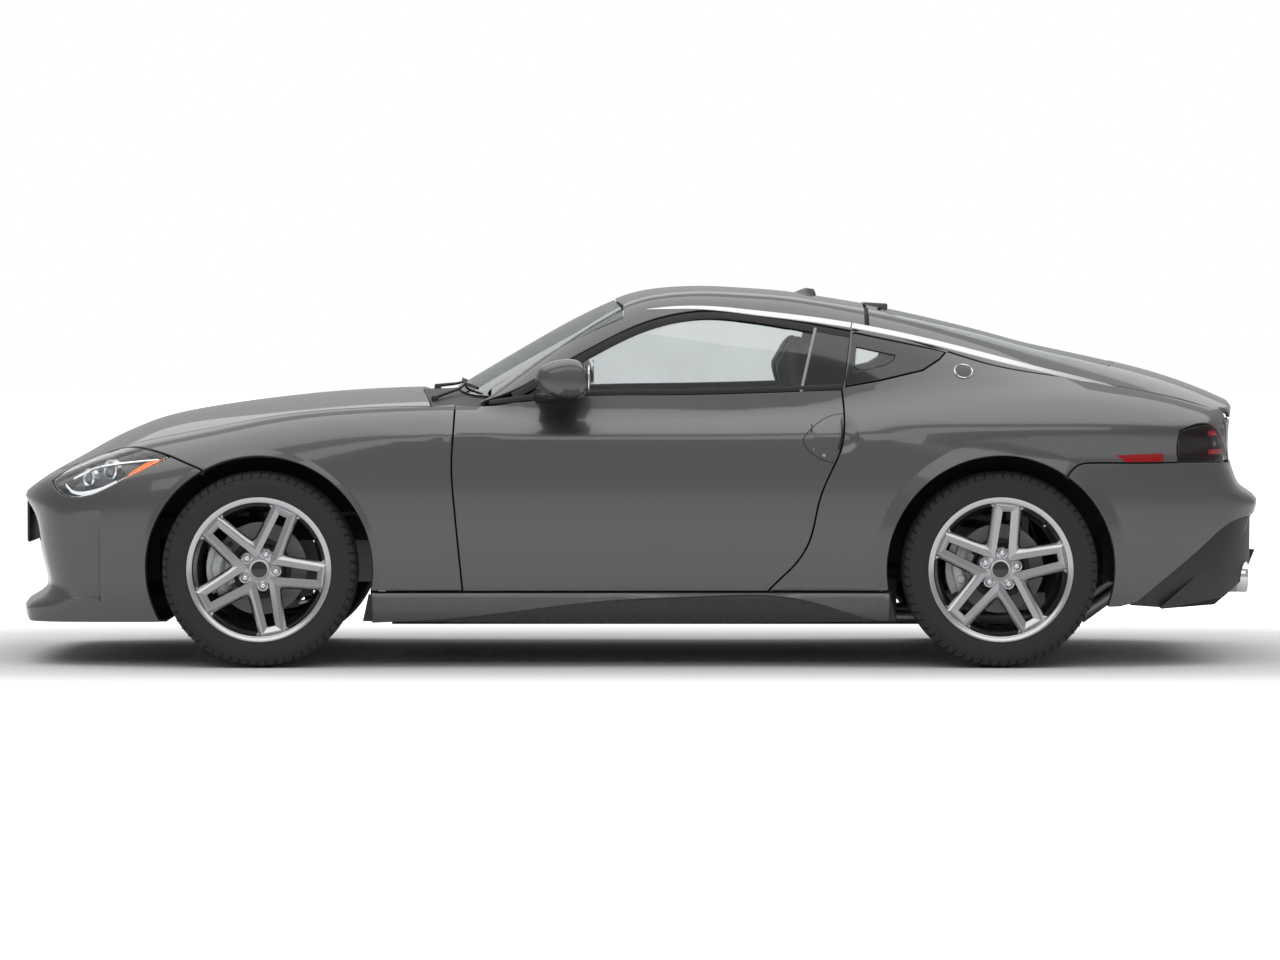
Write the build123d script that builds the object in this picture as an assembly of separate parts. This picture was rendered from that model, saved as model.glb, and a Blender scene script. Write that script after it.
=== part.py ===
"""Two-seat coupe car: long bonnet, sloping tail with a lifting hatch, two doors and five-spoke wheels.

Millimetres. +Z is up, the car points along -X and its left side is -Y. The origin is on the ground,
midway along the car's length and width. Body shapes are made as a left half and mirrored: the hull
below the windows is a loft of level outlines, trimmed by a cap that carries the crown of the bonnet
and tail, and the greenhouse above it is a loft of cross sections. Panels are cut from those forms.
"""

import math
import os

from build123d import *

# ---- overall sizes -------------------------------------------------------------------------
HALF_LENGTH = 2190.0
FRONT_AXLE_X = -1310.0
WHEELBASE = 2550.0
REAR_AXLE_X = FRONT_AXLE_X + WHEELBASE
FRONT_WHEEL_Y = 777.0
REAR_WHEEL_Y = 782.0
FAR = 3000.0

# ---- panel sizes ---------------------------------------------------------------------------
SKIN = 30.0
DOOR_WALL = 105.0
ROOF_WALL = 38.0
SEAM = 6.5
SWING_SEAM = 9.0
FRAME_SEAM = 14.0
SEAT_GAP = 0.3
GLASS_DEPTH = 6.0
GLASS = 5.0
OVERLAP = 60.0

# ---- wheels and tyres, sizes from the tyre's middle plane and from the axle -------------------
TYRE_R = 339.0
TYRE_HALF = 122.5
BEAD_HALF = 112.0
BEAD_R = 229.0
TYRE_WALL = 12.0
RIM_HALF = 118.0
RIM_LIP_R = 246.0
RIM_WALL = 9.0
RIM_WELL_R = 203.0
HUB_FACE = 30.0
HUB_R = 74.0
HUB_FRONT = 76.0
CAP_FRONT = 70.0
SPOKES = 5
SPOKE_TILT = {"front": 66.0, "rear": 84.0}
SPOKE_START_R = 60.0
SPOKE_START_Y = 22.0
SPOKE_END_Y = 37.7
SPOKE_WIDTH = 27.0
SPOKE_BACK = 46.0
SPOKE_DEPTH = 52.0
SPOKE_SLOPE = 5.0
STUD_CIRCLE = 114.3
NUT_POCKET_R = 14.0
CAP_R = 29.0
DISC_R = {"front": 160.0, "rear": 154.0}
DISC_FACES = (-26.0, 2.0)
DISC_VENT = 8.0
HAT_R = 84.0
SPINDLE_R = 24.0
SPINDLE_END = -100.0
PIN_PLAY = 0.3
CALIPER_R = (98.0, 186.0)
CALIPER_HALF = 28.0
CALIPER_SIDE = 30.0
RUNNING_GAP = 5.0

# ---- wheel arches, steering and suspension ----------------------------------------------------
ARCH_R = 388.0
LINER_R = 416.0
LINER_WALL = 6.0
LINER_INNER_Y = 470.0
LINER_LOW_Z = 282.0
KINGPIN_IN = 56.0
KINGPIN_R = 12.0
KNUCKLE_HALF = 24.0
BEARING_R = 52.0
ARM_OFFSET = 141.0
ARM_DEPTH = 26.0
ARM_WIDTH = 26.0
ARM_SPREAD = 95.0
ARM_ROOT_Y = 360.0
DAMPER_R = 38.0
DAMPER_Y = 425.0

# Level outlines of the hull: half widths at the named places along the car.
LEVEL_X = (-2150, -1975, -1450, -620, 350, 1240, 1790, 2120)
LEVELS = (
    # z, nose, front corner, front axle, door front, waist, rear axle, quarter, tail corner
    (110, 470, 745, 835, 800, 800, 850, 825, 560),
    (280, 520, 790, 895, 862, 862, 900, 870, 620),
    (600, 540, 805, 915, 896, 890, 922, 885, 650),
    (800, 520, 780, 893, 880, 874, 908, 868, 640),
    (1080, 400, 640, 715, 696, 690, 720, 690, 520),
)
LEVEL_ROUND = 0.42

# Crown of the bonnet, belt and tail: height on the centre line and at CROWN_Y out from it.
CROWN_Y = 1000.0
CROWN = (
    # x, centre z, edge z
    (-2200, 587, 520),
    (-2000, 712, 640),
    (-1650, 864, 700),
    (-1310, 917, 800),
    (-720, 957, 852),
    (0, 962, 862),
    (1240, 962, 850),
    (1650, 1030, 890),
    (1955, 945, 820),
    (2200, 860, 740),
)

# Cross sections of the greenhouse: base, rail above the side windows, ridge beside the roof, centre.
GREENHOUSE = (
    # x, base y, base z, rail y, rail z, ridge y, ridge z, centre z
    (-700, 800, 800, 735, 880, 700, 900, 945),
    (-440, 800, 850, 765, 911, 690, 1000, 1085),
    (-200, 805, 850, 696, 1076, 640, 1151, 1220),
    (24, 805, 850, 618, 1230, 560, 1275, 1302),
    (251, 805, 850, 612, 1227, 545, 1291, 1317),
    (478, 805, 850, 622, 1192, 545, 1272, 1303),
    (733, 810, 850, 632, 1164, 545, 1240, 1266),
    (1065, 845, 830, 650, 1087, 560, 1166, 1197),
    (1310, 865, 820, 675, 1014, 575, 1107, 1133),
    (1515, 870, 800, 690, 973, 590, 1045, 1077),
    (1700, 870, 780, 700, 930, 610, 990, 1015),
    (1990, 800, 740, 690, 850, 620, 885, 925),
)

# ---- outlines in the side view, as x and z -------------------------------------------------
NOSE_RECESS = (
    (-2400, 572), (-2183, 572), (-2160, 545), (-2110, 300), (-2105, 262), (-2183, 205), (-2188, 186),
    (-1950, 152), (-1700, 140), (-1700, -50), (-2400, -50),
)
TAIL_RECESS = (
    (2400, 960), (2100, 960), (2096, 850), (2092, 700), (2111, 652), (2150, 598), (2190, 570), (2190, 545),
    (2164, 476), (2153, 386), (2110, 296), (2028, 235), (1700, 185), (1700, -50), (2400, -50),
)
DOOR = (
    (-605, 262), (-635, 578), (-642, 715), (-635, 798), (-560, 907), (-440, 911), (24, 1230), (251, 1227),
    (478, 1192), (733, 1164), (715, 963), (708, 921), (680, 715), (584, 440), (532, 354), (491, 313),
    (447, 282),
)
DOOR_WINDOW = ((-330, 942), (12, 1193), (250, 1195), (478, 1161), (600, 1143), (560, 972))
QUARTER_WINDOW = ((748, 985), (765, 1130), (1045, 1078), (960, 1035), (880, 1006))
HEADLAMP = (
    (-2038, 638), (-2000, 605), (-1955, 588), (-1900, 595), (-1823, 629), (-1670, 705), (-1617, 728),
    (-1690, 744), (-1760, 748), (-1837, 734), (-1946, 688), (-2000, 662),
)
FENDER = (
    (-1855, 752), (-1640, 742), (-1585, 730), (-1470, 681), (-1310, 500), (-960, 262), (-605, 262),
    (-635, 578), (-642, 715), (-635, 798), (-560, 907), (-440, 911), (-512, 958), (-716, 990), (-1400, 990),
    (-1860, 900),
)
FRONT_BUMPER = (
    (-2300, 60), (-2300, 800), (-2050, 800), (-1855, 760), (-1640, 742), (-1585, 730), (-1470, 681),
    (-1310, 500), (-1310, 60),
)
DOOR_REAR = ((708, 921), (680, 715), (584, 440), (532, 354), (491, 313), (447, 285), (900, 285), (900, 921))
DOOR_JAMB_Y = 838.0
DOOR_FRAME = ((733, 1164), (715, 963), (708, 905), (500, 905), (500, 1180))
SILL = ((-960, 147), (-960, 257), (-605, 257), (447, 277), (560, 277), (900, 277), (900, 150), (600, 165))
ROOF = (
    (-512, 958), (-440, 911), (24, 1230), (251, 1227), (478, 1192), (733, 1164), (775, 1155), (775, 1500),
    (-900, 1500), (-900, 958),
)
QUARTER = (
    (775, 1155), (733, 1164), (715, 963), (708, 921), (680, 715), (584, 440), (532, 354), (491, 313),
    (470, 282), (1240, 282), (1500, 735), (1850, 735), (1850, 830), (2096, 860), (2096, 1100), (775, 1400),
)
TAIL_LAMP = ((1856, 706), (1856, 812), (2200, 848), (2200, 706))
REAR_BUMPER = (
    (1240, 282), (1500, 730), (1850, 730), (1850, 712), (2300, 712), (2300, 520), (2170, 520), (1790, 205),
    (1240, 205),
)
DIFFUSER = ((1800, 190), (1800, 210), (2150, 505), (2300, 505), (2300, 100), (1800, 100))

# ---- grille in the front bumper's opening: bars, gaps and slope -------------------------------
OPENING_HALF = 455.0
OPENING_Z = (250.0, 545.0)
GRILLE_PLANE = ((-2146, 0), (-2126, 0), (-2078, 1), (-2098, 1))
GRILLE_ROWS = 7
GRILLE_COLUMNS = 5
GRILLE_PITCH = (88.0, 38.0)
GRILLE_HOLE = (72.0, 22.0)
GRILLE_START = (14.0, 268.0)

# ---- outlines seen from above, as x and half width ------------------------------------------
HOOD = (
    (-2062, 0), (-2048, 330), (-1990, 575), (-1860, 640), (-1700, 668), (-1400, 702), (-1000, 726),
    (-722, 734), (-745, 520), (-768, 260), (-775, 0),
)
COWL = ((-770, 0), (-763, 260), (-740, 520), (-700, 722), (-530, 722), (-590, 500), (-640, 260), (-655, 0))
WINDSHIELD = (
    (-655, 0), (-640, 260), (-590, 500), (-505, 690), (-62, 545), (-85, 300), (-95, 0),
)
HATCH = (
    (785, 0), (785, 628), (1065, 646), (1310, 668), (1515, 688), (1650, 698), (1800, 692), (1955, 672),
    (2300, 640), (2300, 0),
)
HATCH_FLOOR_Z = 838.0
BELT_Z = 850.0
HATCH_WINDOW = ((850, 0), (850, 490), (1300, 515), (1620, 500), (1672, 300), (1680, 0))

# ---- floor, cabin and running gear --------------------------------------------------------------
FLOOR_X = (-640.0, 822.0)
FLOOR_Z = (168.0, 190.0)
FLOOR_HALF = 690.0
PANEL = 12.0
TUNNEL_HALF = 122.0
TUNNEL_TOP = 400.0
CARGO_Z = 575.0
CARGO_HALF = 560.0
CARGO_END_X = 2035.0
FIREWALL_TOP = 860.0
PILLAR_Y = (765.0, 825.0)
PILLAR_DEPTH = 45.0
RAIL_Y = (320.0, 375.0)
RAIL_Z = (420.0, 500.0)
RAIL_FRONT_X = -2000.0
SUBFRAME_Z = (205.0, 262.0)
ENGINE_X = (-1530.0, -900.0)
ENGINE_HALF = 300.0
ENGINE_Z = (270.0, 770.0)
SHAFT_Z = 300.0
SEAT_Y = 370.0
SEAT_WIDTH = 490.0
DASH_HALF = 680.0
WHEEL_CENTRE = (-10.0, 765.0)
WHEEL_TILT = 24.0
WHEEL_R = 178.0
WHEEL_GRIP_R = 15.0
COLUMN_R = 38.0
COLUMN_END_X = -420.0
MIRROR_Y = (905.0, 1003.0)
PIPE_R = 26.0
TIP_Y = 540.0
TIP_Z = 300.0
TIP_R = 55.0
JACK_X = (-760.0, 760.0)
JACK_Y = 730.0
JACK_Z = 138.0
JACK_PAD = 50.0
SILL_MIDDLE_Z = 200.0
PLATE_HOLES_Z = 590.0
PLATE_HOLES_SPAN = 178.0
PLATE_HOLE_R = 3.0

# Side view of a seat: cushion and backrest.
SEAT_SIDE = (
    (60, 335), (80, 420), (180, 432), (500, 395), (560, 480), (690, 900), (735, 930), (790, 915), (790, 860),
    (640, 330), (560, 300), (100, 300),
)
HEADREST_SIDE = ((700, 945), (745, 1090), (800, 1100), (835, 1070), (800, 925))
SEAT_FOOT = ((130, 560), (190.3, 300))
# Side view of the dashboard.
DASH_SIDE = (
    (-627.7, 615), (-627.7, 850), (-480, 882), (-300, 892), (-235, 868), (-228, 840), (-262, 770), (-320, 640),
    (-400, 615),
)
# Side view and top view of a door mirror, and the side view of its foot.
MIRROR_SIDE = (
    (-362, 935), (-372, 985), (-355, 1035), (-300, 1062), (-215, 1066), (-182, 1045), (-176, 960), (-215, 930),
)
MIRROR_TOP = ((-400, 905), (-360, 985), (-300, 1003), (-170, 1003), (-170, 890), (-400, 890))
MIRROR_FOOT = ((-330, 890), (-330, 936), (-230, 936), (-230, 890))
MIRROR_FOOT_Y = (700.0, 910.0)

# Hollow behind the door handle, in the side view, and how far out its floor lies.
HANDLE_SCOOP = ((700, 760), (712, 880), (748, 862), (757, 822), (740, 785))
HANDLE_SCOOP_Y = 874.0

# Brake lamp on the hatch, and the fins under the rear bumper.
BRAKE_LAMP_X = (800.0, 846.0)
BRAKE_LAMP_HALF = 150.0
BRAKE_LAMP_RISE = 11.0
FIN_SIDE = (
    (1850, 175), (2030, 190), (2128, 275), (2172, 385), (2154, 387), (2111, 297), (2028, 237), (1850, 209.5),
)
FIN_Y = (110.0, 320.0)
FIN = 12.0

def rounded(points, share=LEVEL_ROUND):
    """Edges through the points: runs and tangent arcs that use a share of the shorter run."""
    spots = [Vector(*p) for p in points]
    edges, last = [], spots[0]
    for before, spot, after in zip(spots, spots[1:], spots[2:]):
        way_in, way_out = (spot - before).normalized(), (after - spot).normalized()
        half = math.radians(way_in.get_angle(way_out)) / 2
        reach = share * min((spot - before).length, (after - spot).length)
        start, end = spot - way_in * reach, spot + way_out * reach
        bulge = reach / math.tan(half) * (1 / math.cos(half) - 1)
        middle = spot + (way_out - way_in).normalized() * bulge
        edges += [Line(last, start), ThreePointArc(start, middle, end)]
        last = end
    return edges + [Line(last, spots[-1])]


def side_prism(outline, near=0.0, far=FAR, grow=0.0):
    """The side-view outline, pushed along -Y from near to far out from the centre plane."""
    face = make_face(Polyline(*[(x, 0, z) for x, z in outline], close=True))
    if grow:
        face = offset(face, grow, kind=Kind.INTERSECTION)
    return Pos(0, -near, 0) * extrude(face, far - near, dir=(0, -1, 0))


def top_prism(outline, low=400.0, high=1500.0, grow=0.0):
    """The outline seen from above, on both sides of the centre plane, between two heights."""
    points = [(x, -y) for x, y in outline] + [(x, y) for x, y in reversed(outline) if y]
    face = make_face(Polyline(*points, close=True))
    if grow:
        face = offset(face, grow, kind=Kind.INTERSECTION)
    return Pos(0, 0, low) * extrude(face, high - low)


def box(x, y, z):
    """A box between the given pairs of limits."""
    size = [b - a for a, b in (x, y, z)]
    return Pos(x[0], y[0], z[0]) * Box(*size, align=(Align.MIN, Align.MIN, Align.MIN))


def rod(radius, start, end):
    """A round bar from start to end."""
    a, b = Vector(*start), Vector(*end)
    plane = Plane(origin=a, z_dir=b - a)
    return plane * Cylinder(radius, (b - a).length, align=(Align.CENTER, Align.CENTER, Align.MIN))


def across(radius, x, z, near, far):
    """A cylinder along Y on the left side."""
    return rod(radius, (x, -near, z), (x, -far, z))


def level_outline(z, *widths, inset, overlap):
    """One level outline of the hull as a face, closed on or just past the centre plane."""
    nose, tail = -HALF_LENGTH + inset, HALF_LENGTH - inset
    spots = [(x, -(y - inset)) for x, y in zip(LEVEL_X, widths)]
    spots[0] = (spots[0][0] + inset, spots[0][1])
    spots[-1] = (spots[-1][0] - inset, spots[-1][1])
    edges = rounded([(nose, 0), *spots, (tail, 0)])
    if overlap:
        edges += Polyline((tail, 0), (tail, overlap), (nose, overlap), (nose, 0)).edges()
    else:
        edges.append(Line((tail, 0), (nose, 0)))
    return Pos(0, 0, z) * make_face(edges)


def hull(inset=0.0, overlap=0.0):
    """The left half of the lower body, before its crown is trimmed."""
    return loft([level_outline(*row, inset=inset, overlap=overlap) for row in LEVELS])


def cross_section(x, edges):
    """A face from edges drawn in y and z, set at x."""
    return Plane(origin=(x, 0, 0), x_dir=(0, 1, 0), z_dir=(1, 0, 0)) * make_face(edges)


def crown(drop=0.0, overlap=0.0):
    """The space under the crown of bonnet and tail."""
    sections = []
    for x, centre, edge in CROWN:
        top = TangentArc((0, centre - drop), (-CROWN_Y, edge - drop), tangent=(-1, 0))
        walls = Polyline(
            (-CROWN_Y, edge - drop), (-CROWN_Y, 0), (overlap, 0), (overlap, centre - drop), (0, centre - drop)
        ) if overlap else Polyline((-CROWN_Y, edge - drop), (-CROWN_Y, 0), (0, 0), (0, centre - drop))
        sections.append(cross_section(x, [*top.edges(), *walls.edges()]))
    return loft(sections)


def greenhouse(inset=0.0, overlap=0.0):
    """The left half of the cabin above the belt, with every wall moved in by inset."""
    sections = []
    for x, base_y, base_z, rail_y, rail_z, ridge_y, ridge_z, centre in GREENHOUSE:
        base = (-(base_y - inset), base_z)
        rail = (-(rail_y - inset), rail_z - inset / 2)
        ridge = (-(ridge_y - inset), ridge_z - inset)
        top = (0, centre - inset)
        roof = TangentArc(top, ridge, tangent=(-1, 0))
        floor = [top, (overlap, centre - inset), (overlap, base_z), base] if overlap else [top, (0, base_z), base]
        walls = Polyline(*floor, rail, ridge)
        sections.append(cross_section(x, [*roof.edges(), *walls.edges()]))
    return loft(sections)


def shifted(outline, dx):
    """The outline moved along the car."""
    return [(x + dx, z) for x, z in outline]


def outer_body():
    """The left half of the whole closed body."""
    body = (hull() & crown()) + greenhouse()
    return body - side_prism(NOSE_RECESS) - side_prism(TAIL_RECESS)


def inner_body(side, top):
    """The hollow inside the left half, with walls of the given thicknesses."""
    hollow = (hull(side, OVERLAP) & crown(SKIN, OVERLAP)) + greenhouse(top, OVERLAP)
    nose, tail = shifted(NOSE_RECESS, SKIN), shifted(TAIL_RECESS, -SKIN)
    return hollow - side_prism(nose, -2 * OVERLAP) - side_prism(tail, -2 * OVERLAP)


def both(half):
    """One piece from a left half and its mirror image."""
    return half + mirror(half, Plane.XZ)


def pair(left):
    """A left piece and its mirror image as separate solids."""
    return Compound(children=[*left.solids(), *mirror(left, Plane.XZ).solids()])


def largest(shape):
    """The biggest solid of a shape, without slivers."""
    return max(shape.solids(), key=lambda s: s.volume)


class Body:
    """The panels of the body shell, cut from the outer form."""

    def __init__(self):
        self.outer = outer_body()
        self.hollow = inner_body(SKIN, ROOF_WALL)
        self.door_hollow = inner_body(DOOR_WALL, ROOF_WALL)
        self.arches = [across(ARCH_R, x, TYRE_R, 300, FAR) for x in (FRONT_AXLE_X, REAR_AXLE_X)]
        self.hood_cut = top_prism(HOOD, grow=SEAM) + top_prism(shifted(HOOD, SEAM - FRAME_SEAM))
        self.lamp_cut = side_prism(HEADLAMP, 350, grow=SEAT_GAP)
        self.hatch_cut = top_prism(HATCH, HATCH_FLOOR_Z - SEAM, grow=SEAM)
        self.screen_cut = top_prism(WINDSHIELD)
        self.cowl_cut = top_prism(COWL, grow=SEAT_GAP)
        self.door_cut = side_prism(DOOR, 300, grow=SEAM)
        self.tail_cut = side_prism(TAIL_LAMP, grow=SEAT_GAP)
        self.under_hood = crown(SKIN + SEAT_GAP, OVERLAP)
        pad = box(BRAKE_LAMP_X, (-BRAKE_LAMP_HALF, 0), (BELT_Z, 1500))
        self.brake_lamp = (Pos(0, 0, BRAKE_LAMP_RISE) * self.outer & pad) - self.hollow

    def panel(self, region, *cuts, hollow=None):
        """The shell inside region, less every cut."""
        piece = (self.outer & region) - (hollow or self.hollow)
        for cut in cuts:
            piece = piece - cut
        return largest(piece)

    def glass(self, region):
        """A pane that follows the greenhouse just under its surface, inside region."""
        return largest((greenhouse(GLASS_DEPTH) & region) - greenhouse(GLASS_DEPTH + GLASS, OVERLAP))

    def hood(self):
        return both(self.panel(top_prism(HOOD)))

    def headlamps(self):
        return pair(self.panel(side_prism(HEADLAMP, 350), self.hood_cut))

    def front_bumper(self):
        """The front bumper with the opening for the grille."""
        opening = box((-2400, -2000), (-OPENING_HALF, 1), OPENING_Z)
        fender_cut = side_prism(FENDER, 300, grow=SEAT_GAP)
        cuts = (self.hood_cut, self.lamp_cut, fender_cut, *self.arches, opening)
        return both(self.panel(side_prism(FRONT_BUMPER), *cuts))

    def grille(self):
        """A sloping plate of bars that fills the opening."""
        ends = (OPENING_Z[1] - SEAT_GAP, OPENING_Z[0] + SEAT_GAP)
        slope = [(x, ends[row]) for x, row in GRILLE_PLANE]
        plate = side_prism(slope, -1, OPENING_HALF - SEAT_GAP)
        for row in range(GRILLE_ROWS):
            for column in range(GRILLE_COLUMNS):
                near = GRILLE_START[0] + column * GRILLE_PITCH[0]
                z = GRILLE_START[1] + row * GRILLE_PITCH[1]
                plate = plate - box((-2400, -1900), (-near - GRILLE_HOLE[0], -near), (z, z + GRILLE_HOLE[1]))
        return both(plate)

    def front_fenders(self):
        cuts = (self.hood_cut, self.lamp_cut, self.door_cut, *self.arches, self.cowl_cut, self.screen_cut)
        return pair(self.panel(side_prism(FENDER, 300), *cuts))

    def cowl(self):
        return both(self.panel(top_prism(COWL), self.hood_cut, self.door_cut))

    def roof(self):
        fender_cut = side_prism(FENDER, 300, grow=SEAT_GAP)
        cuts = (self.door_cut, fender_cut, self.screen_cut, self.hatch_cut, self.cowl_cut)
        return both(self.panel(side_prism(ROOF), *cuts))

    def windshield(self):
        front = box((-2000, 0), (-900, 0), (0, 1500))
        return both(self.glass(top_prism(WINDSHIELD, grow=-SEAT_GAP) & front))

    def door(self):
        jamb = side_prism(shifted(DOOR_REAR, -SWING_SEAM), 300, DOOR_JAMB_Y)
        return self.panel(side_prism(DOOR, 300), side_prism(DOOR_WINDOW, 300), jamb, hollow=self.door_hollow)

    def door_glass(self):
        return self.glass(side_prism(DOOR_WINDOW, 300, grow=-SEAT_GAP))

    def rear_quarters(self):
        swing = side_prism(shifted(DOOR, SWING_SEAM), 300)
        frame = side_prism(shifted(DOOR_FRAME, FRAME_SEAM), 300)
        bumper_cut = side_prism(REAR_BUMPER, 300, grow=SEAT_GAP)
        window = side_prism(QUARTER_WINDOW, 300)
        sill_cut = side_prism(SILL, 300, grow=SEAT_GAP)
        scoop = side_prism(HANDLE_SCOOP, HANDLE_SCOOP_Y)
        cuts = (self.door_cut, swing, frame, self.hatch_cut, window, *self.arches, bumper_cut, self.tail_cut)
        return pair(self.panel(side_prism(QUARTER, 300), *cuts, sill_cut, scoop))

    def quarter_glass(self):
        return pair(self.glass(side_prism(QUARTER_WINDOW, 300, grow=-SEAT_GAP)))

    def sills(self):
        region = side_prism(SILL, FLOOR_HALF + SEAT_GAP)
        piece = largest((self.outer & region) - self.arches[0] - self.arches[1] - self.door_cut)
        for x in JACK_X:
            pad_y = (-JACK_Y - JACK_PAD / 2, -JACK_Y + JACK_PAD / 2)
            piece = piece + box((x - JACK_PAD, x + JACK_PAD), pad_y, (JACK_Z, SILL_MIDDLE_Z))
        return pair(piece)

    def hatch(self):
        panel = self.panel(top_prism(HATCH, HATCH_FLOOR_Z), top_prism(HATCH_WINDOW))
        return both(panel + self.brake_lamp)

    def hatch_glass(self):
        rear = box((0, 2300), (-900, 0), (0, 1500))
        return both(self.glass(top_prism(HATCH_WINDOW, BELT_Z, grow=-SEAT_GAP) & rear))

    def tail_lamps(self):
        return both(self.panel(side_prism(TAIL_LAMP), self.hatch_cut))

    def rear_bumper(self):
        diffuser_cut = side_prism(DIFFUSER, grow=SEAT_GAP)
        piece = self.panel(side_prism(REAR_BUMPER), *self.arches, diffuser_cut, self.tail_cut)
        y = -PLATE_HOLES_SPAN / 2
        hole = rod(PLATE_HOLE_R, (1900, y, PLATE_HOLES_Z), (2300, y, PLATE_HOLES_Z))
        return both(piece - hole)

    def diffuser(self):
        tips = rod(TIP_R + SEAT_GAP, (1700, -TIP_Y, TIP_Z), (2400, -TIP_Y, TIP_Z))
        piece = self.panel(side_prism(DIFFUSER), tips)
        for y in FIN_Y:
            piece = piece + side_prism(FIN_SIDE, y, y + FIN)
        return both(piece)

    def radiator(self):
        """The radiator and the rubber posts that the hood rests on."""
        half = RAIL_Y[0] - SEAT_GAP
        core = box((-1990, -1930), (-half, 0), (230, 640))
        post = rod(14, (-1960, 20 - half, 600), (-1960, 20 - half, 1000)) & self.under_hood
        return both(core + post)

    def cargo_floor(self):
        """The load floor behind the seats, its front wall and the tail wall with the hatch's buffers."""
        z, half = CARGO_Z, CARGO_HALF
        tunnel = (-TUNNEL_HALF - SEAT_GAP, 1)
        front = box((FLOOR_X[1] - PANEL, FLOOR_X[1]), (-half, 0), (FLOOR_Z[1] + SEAT_GAP, z))
        front = front - box((0, 1000), tunnel, (0, TUNNEL_TOP + SEAT_GAP))
        deck = box((FLOOR_X[1], CARGO_END_X), (-half, 0), (z - PANEL, z))
        tail = box((CARGO_END_X - PANEL, CARGO_END_X), (-half, 0), (z, 760))
        post = rod(14, (CARGO_END_X - 20, -380, z), (CARGO_END_X - 20, -380, 1000)) & self.under_hood
        return both(front + deck + tail + post)

    def wheel_liners(self):
        """Liners over the four wheels, up to the inside of the panels."""
        reach = hull(SKIN + SEAT_GAP, OVERLAP)
        solids = []
        for x, near in ((FRONT_AXLE_X, LINER_INNER_Y), (REAR_AXLE_X, CARGO_HALF + SEAT_GAP)):
            room = across(LINER_R - LINER_WALL, x, TYRE_R, near + LINER_WALL, FAR + 1)
            sheet = across(LINER_R, x, TYRE_R, near, FAR) - room
            wide = (x - LINER_R - 1, x + LINER_R + 1)
            middle = (x - LINER_R + 40, x + LINER_R - 40)
            sheet = sheet - box(wide, (-FAR - 2, 0), (-200, LINER_LOW_Z))
            sheet = sheet - box(middle, (-near - 2 * LINER_WALL, 0), (0, TYRE_R + 1.3 * ARM_OFFSET))
            solids += largest(sheet & reach).solids()
        return pair(Compound(children=solids))


def floor_pan():
    """The cabin floor with its tunnel."""
    flat = box(FLOOR_X, (-FLOOR_HALF, 0), FLOOR_Z) - box((-700, 900), (-TUNNEL_HALF, 1), (0, 300))
    arch = box(FLOOR_X, (-TUNNEL_HALF, 0), (FLOOR_Z[0], TUNNEL_TOP))
    arch = arch - box((-700, 900), (-TUNNEL_HALF + PANEL, 1), (0, TUNNEL_TOP - PANEL))
    return both(flat + arch)


def firewall():
    """The wall between engine and cabin, with the pillars that the doors hang on."""
    x, half = FLOOR_X[0], FLOOR_HALF
    wall = box((x, x + PANEL), (-half, 0), (FLOOR_Z[1] + SEAT_GAP, FIREWALL_TOP))
    wall = wall - box((x - 1, x + PANEL + 1), (-TUNNEL_HALF - SEAT_GAP, 1), (0, TUNNEL_TOP + SEAT_GAP))
    pillar_x = (x - 3 - PILLAR_DEPTH, x - 2.3)
    pillar = box(pillar_x, (-PILLAR_Y[1], -PILLAR_Y[0]), (290, 770))
    web = box((x - 3 - PANEL, x - 2.3), (-PILLAR_Y[0] - 1, -half + 5), (290, 780))
    return both(wall + pillar + web + box((x - 15, x), (-half, -half + 12), (290, 780)))


def front_frame():
    """The two rails of the front end with their cross beams and spring towers."""
    low, high = RAIL_Z
    rail = box((RAIL_FRONT_X, FLOOR_X[0] - SEAT_GAP), (-RAIL_Y[1], -RAIL_Y[0]), (low, high))
    beam = box((RAIL_FRONT_X - 45, RAIL_FRONT_X), (-560, 0), (low + 10, high + 20))
    ends = (FRONT_AXLE_X - 70, FRONT_AXLE_X + 70)
    tower = box(ends, (-LINER_INNER_Y + 5, -RAIL_Y[0]), (700, 715)) + box(
        ends, (-RAIL_Y[0] - 15, -RAIL_Y[0]), (high, 715)
    )
    legs = box((FRONT_AXLE_X - 110, FRONT_AXLE_X + 110), (-RAIL_Y[1], -RAIL_Y[0]), (SUBFRAME_Z[0], low))
    cross = box((FRONT_AXLE_X - 110, FRONT_AXLE_X + 110), (-RAIL_Y[1], 0), SUBFRAME_Z)
    return both(rail + beam + tower + legs + cross)


def engine():
    """One plain block at the engine's place and size."""
    block = box(ENGINE_X, (-ENGINE_HALF, ENGINE_HALF), ENGINE_Z)
    feet = box((FRONT_AXLE_X - 60, FRONT_AXLE_X + 60), (-200, 200), (SUBFRAME_Z[1] + SEAT_GAP, ENGINE_Z[0]))
    return block + feet


def driveline():
    """Gearbox, propeller shaft, final drive and the two drive shafts."""
    x = REAR_AXLE_X
    half = TUNNEL_HALF - PANEL - 5
    gearbox = box((ENGINE_X[1] + SEAT_GAP, -250), (-half, half), (215, TUNNEL_TOP - PANEL - 5))
    shaft = rod(38, (-250, 0, SHAFT_Z), (x - 150, 0, SHAFT_Z))
    final = box((x - 150, x + 130), (-150, 150), (230, 410))
    inner = REAR_WHEEL_Y + SPINDLE_END - SEAT_GAP
    half = rod(20, (x, -140, TYRE_R), (x, -inner, TYRE_R)) + rod(48, (x, -150, TYRE_R), (x, -230, TYRE_R))
    return gearbox + shaft + final + half + mirror(half, Plane.XZ)


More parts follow.
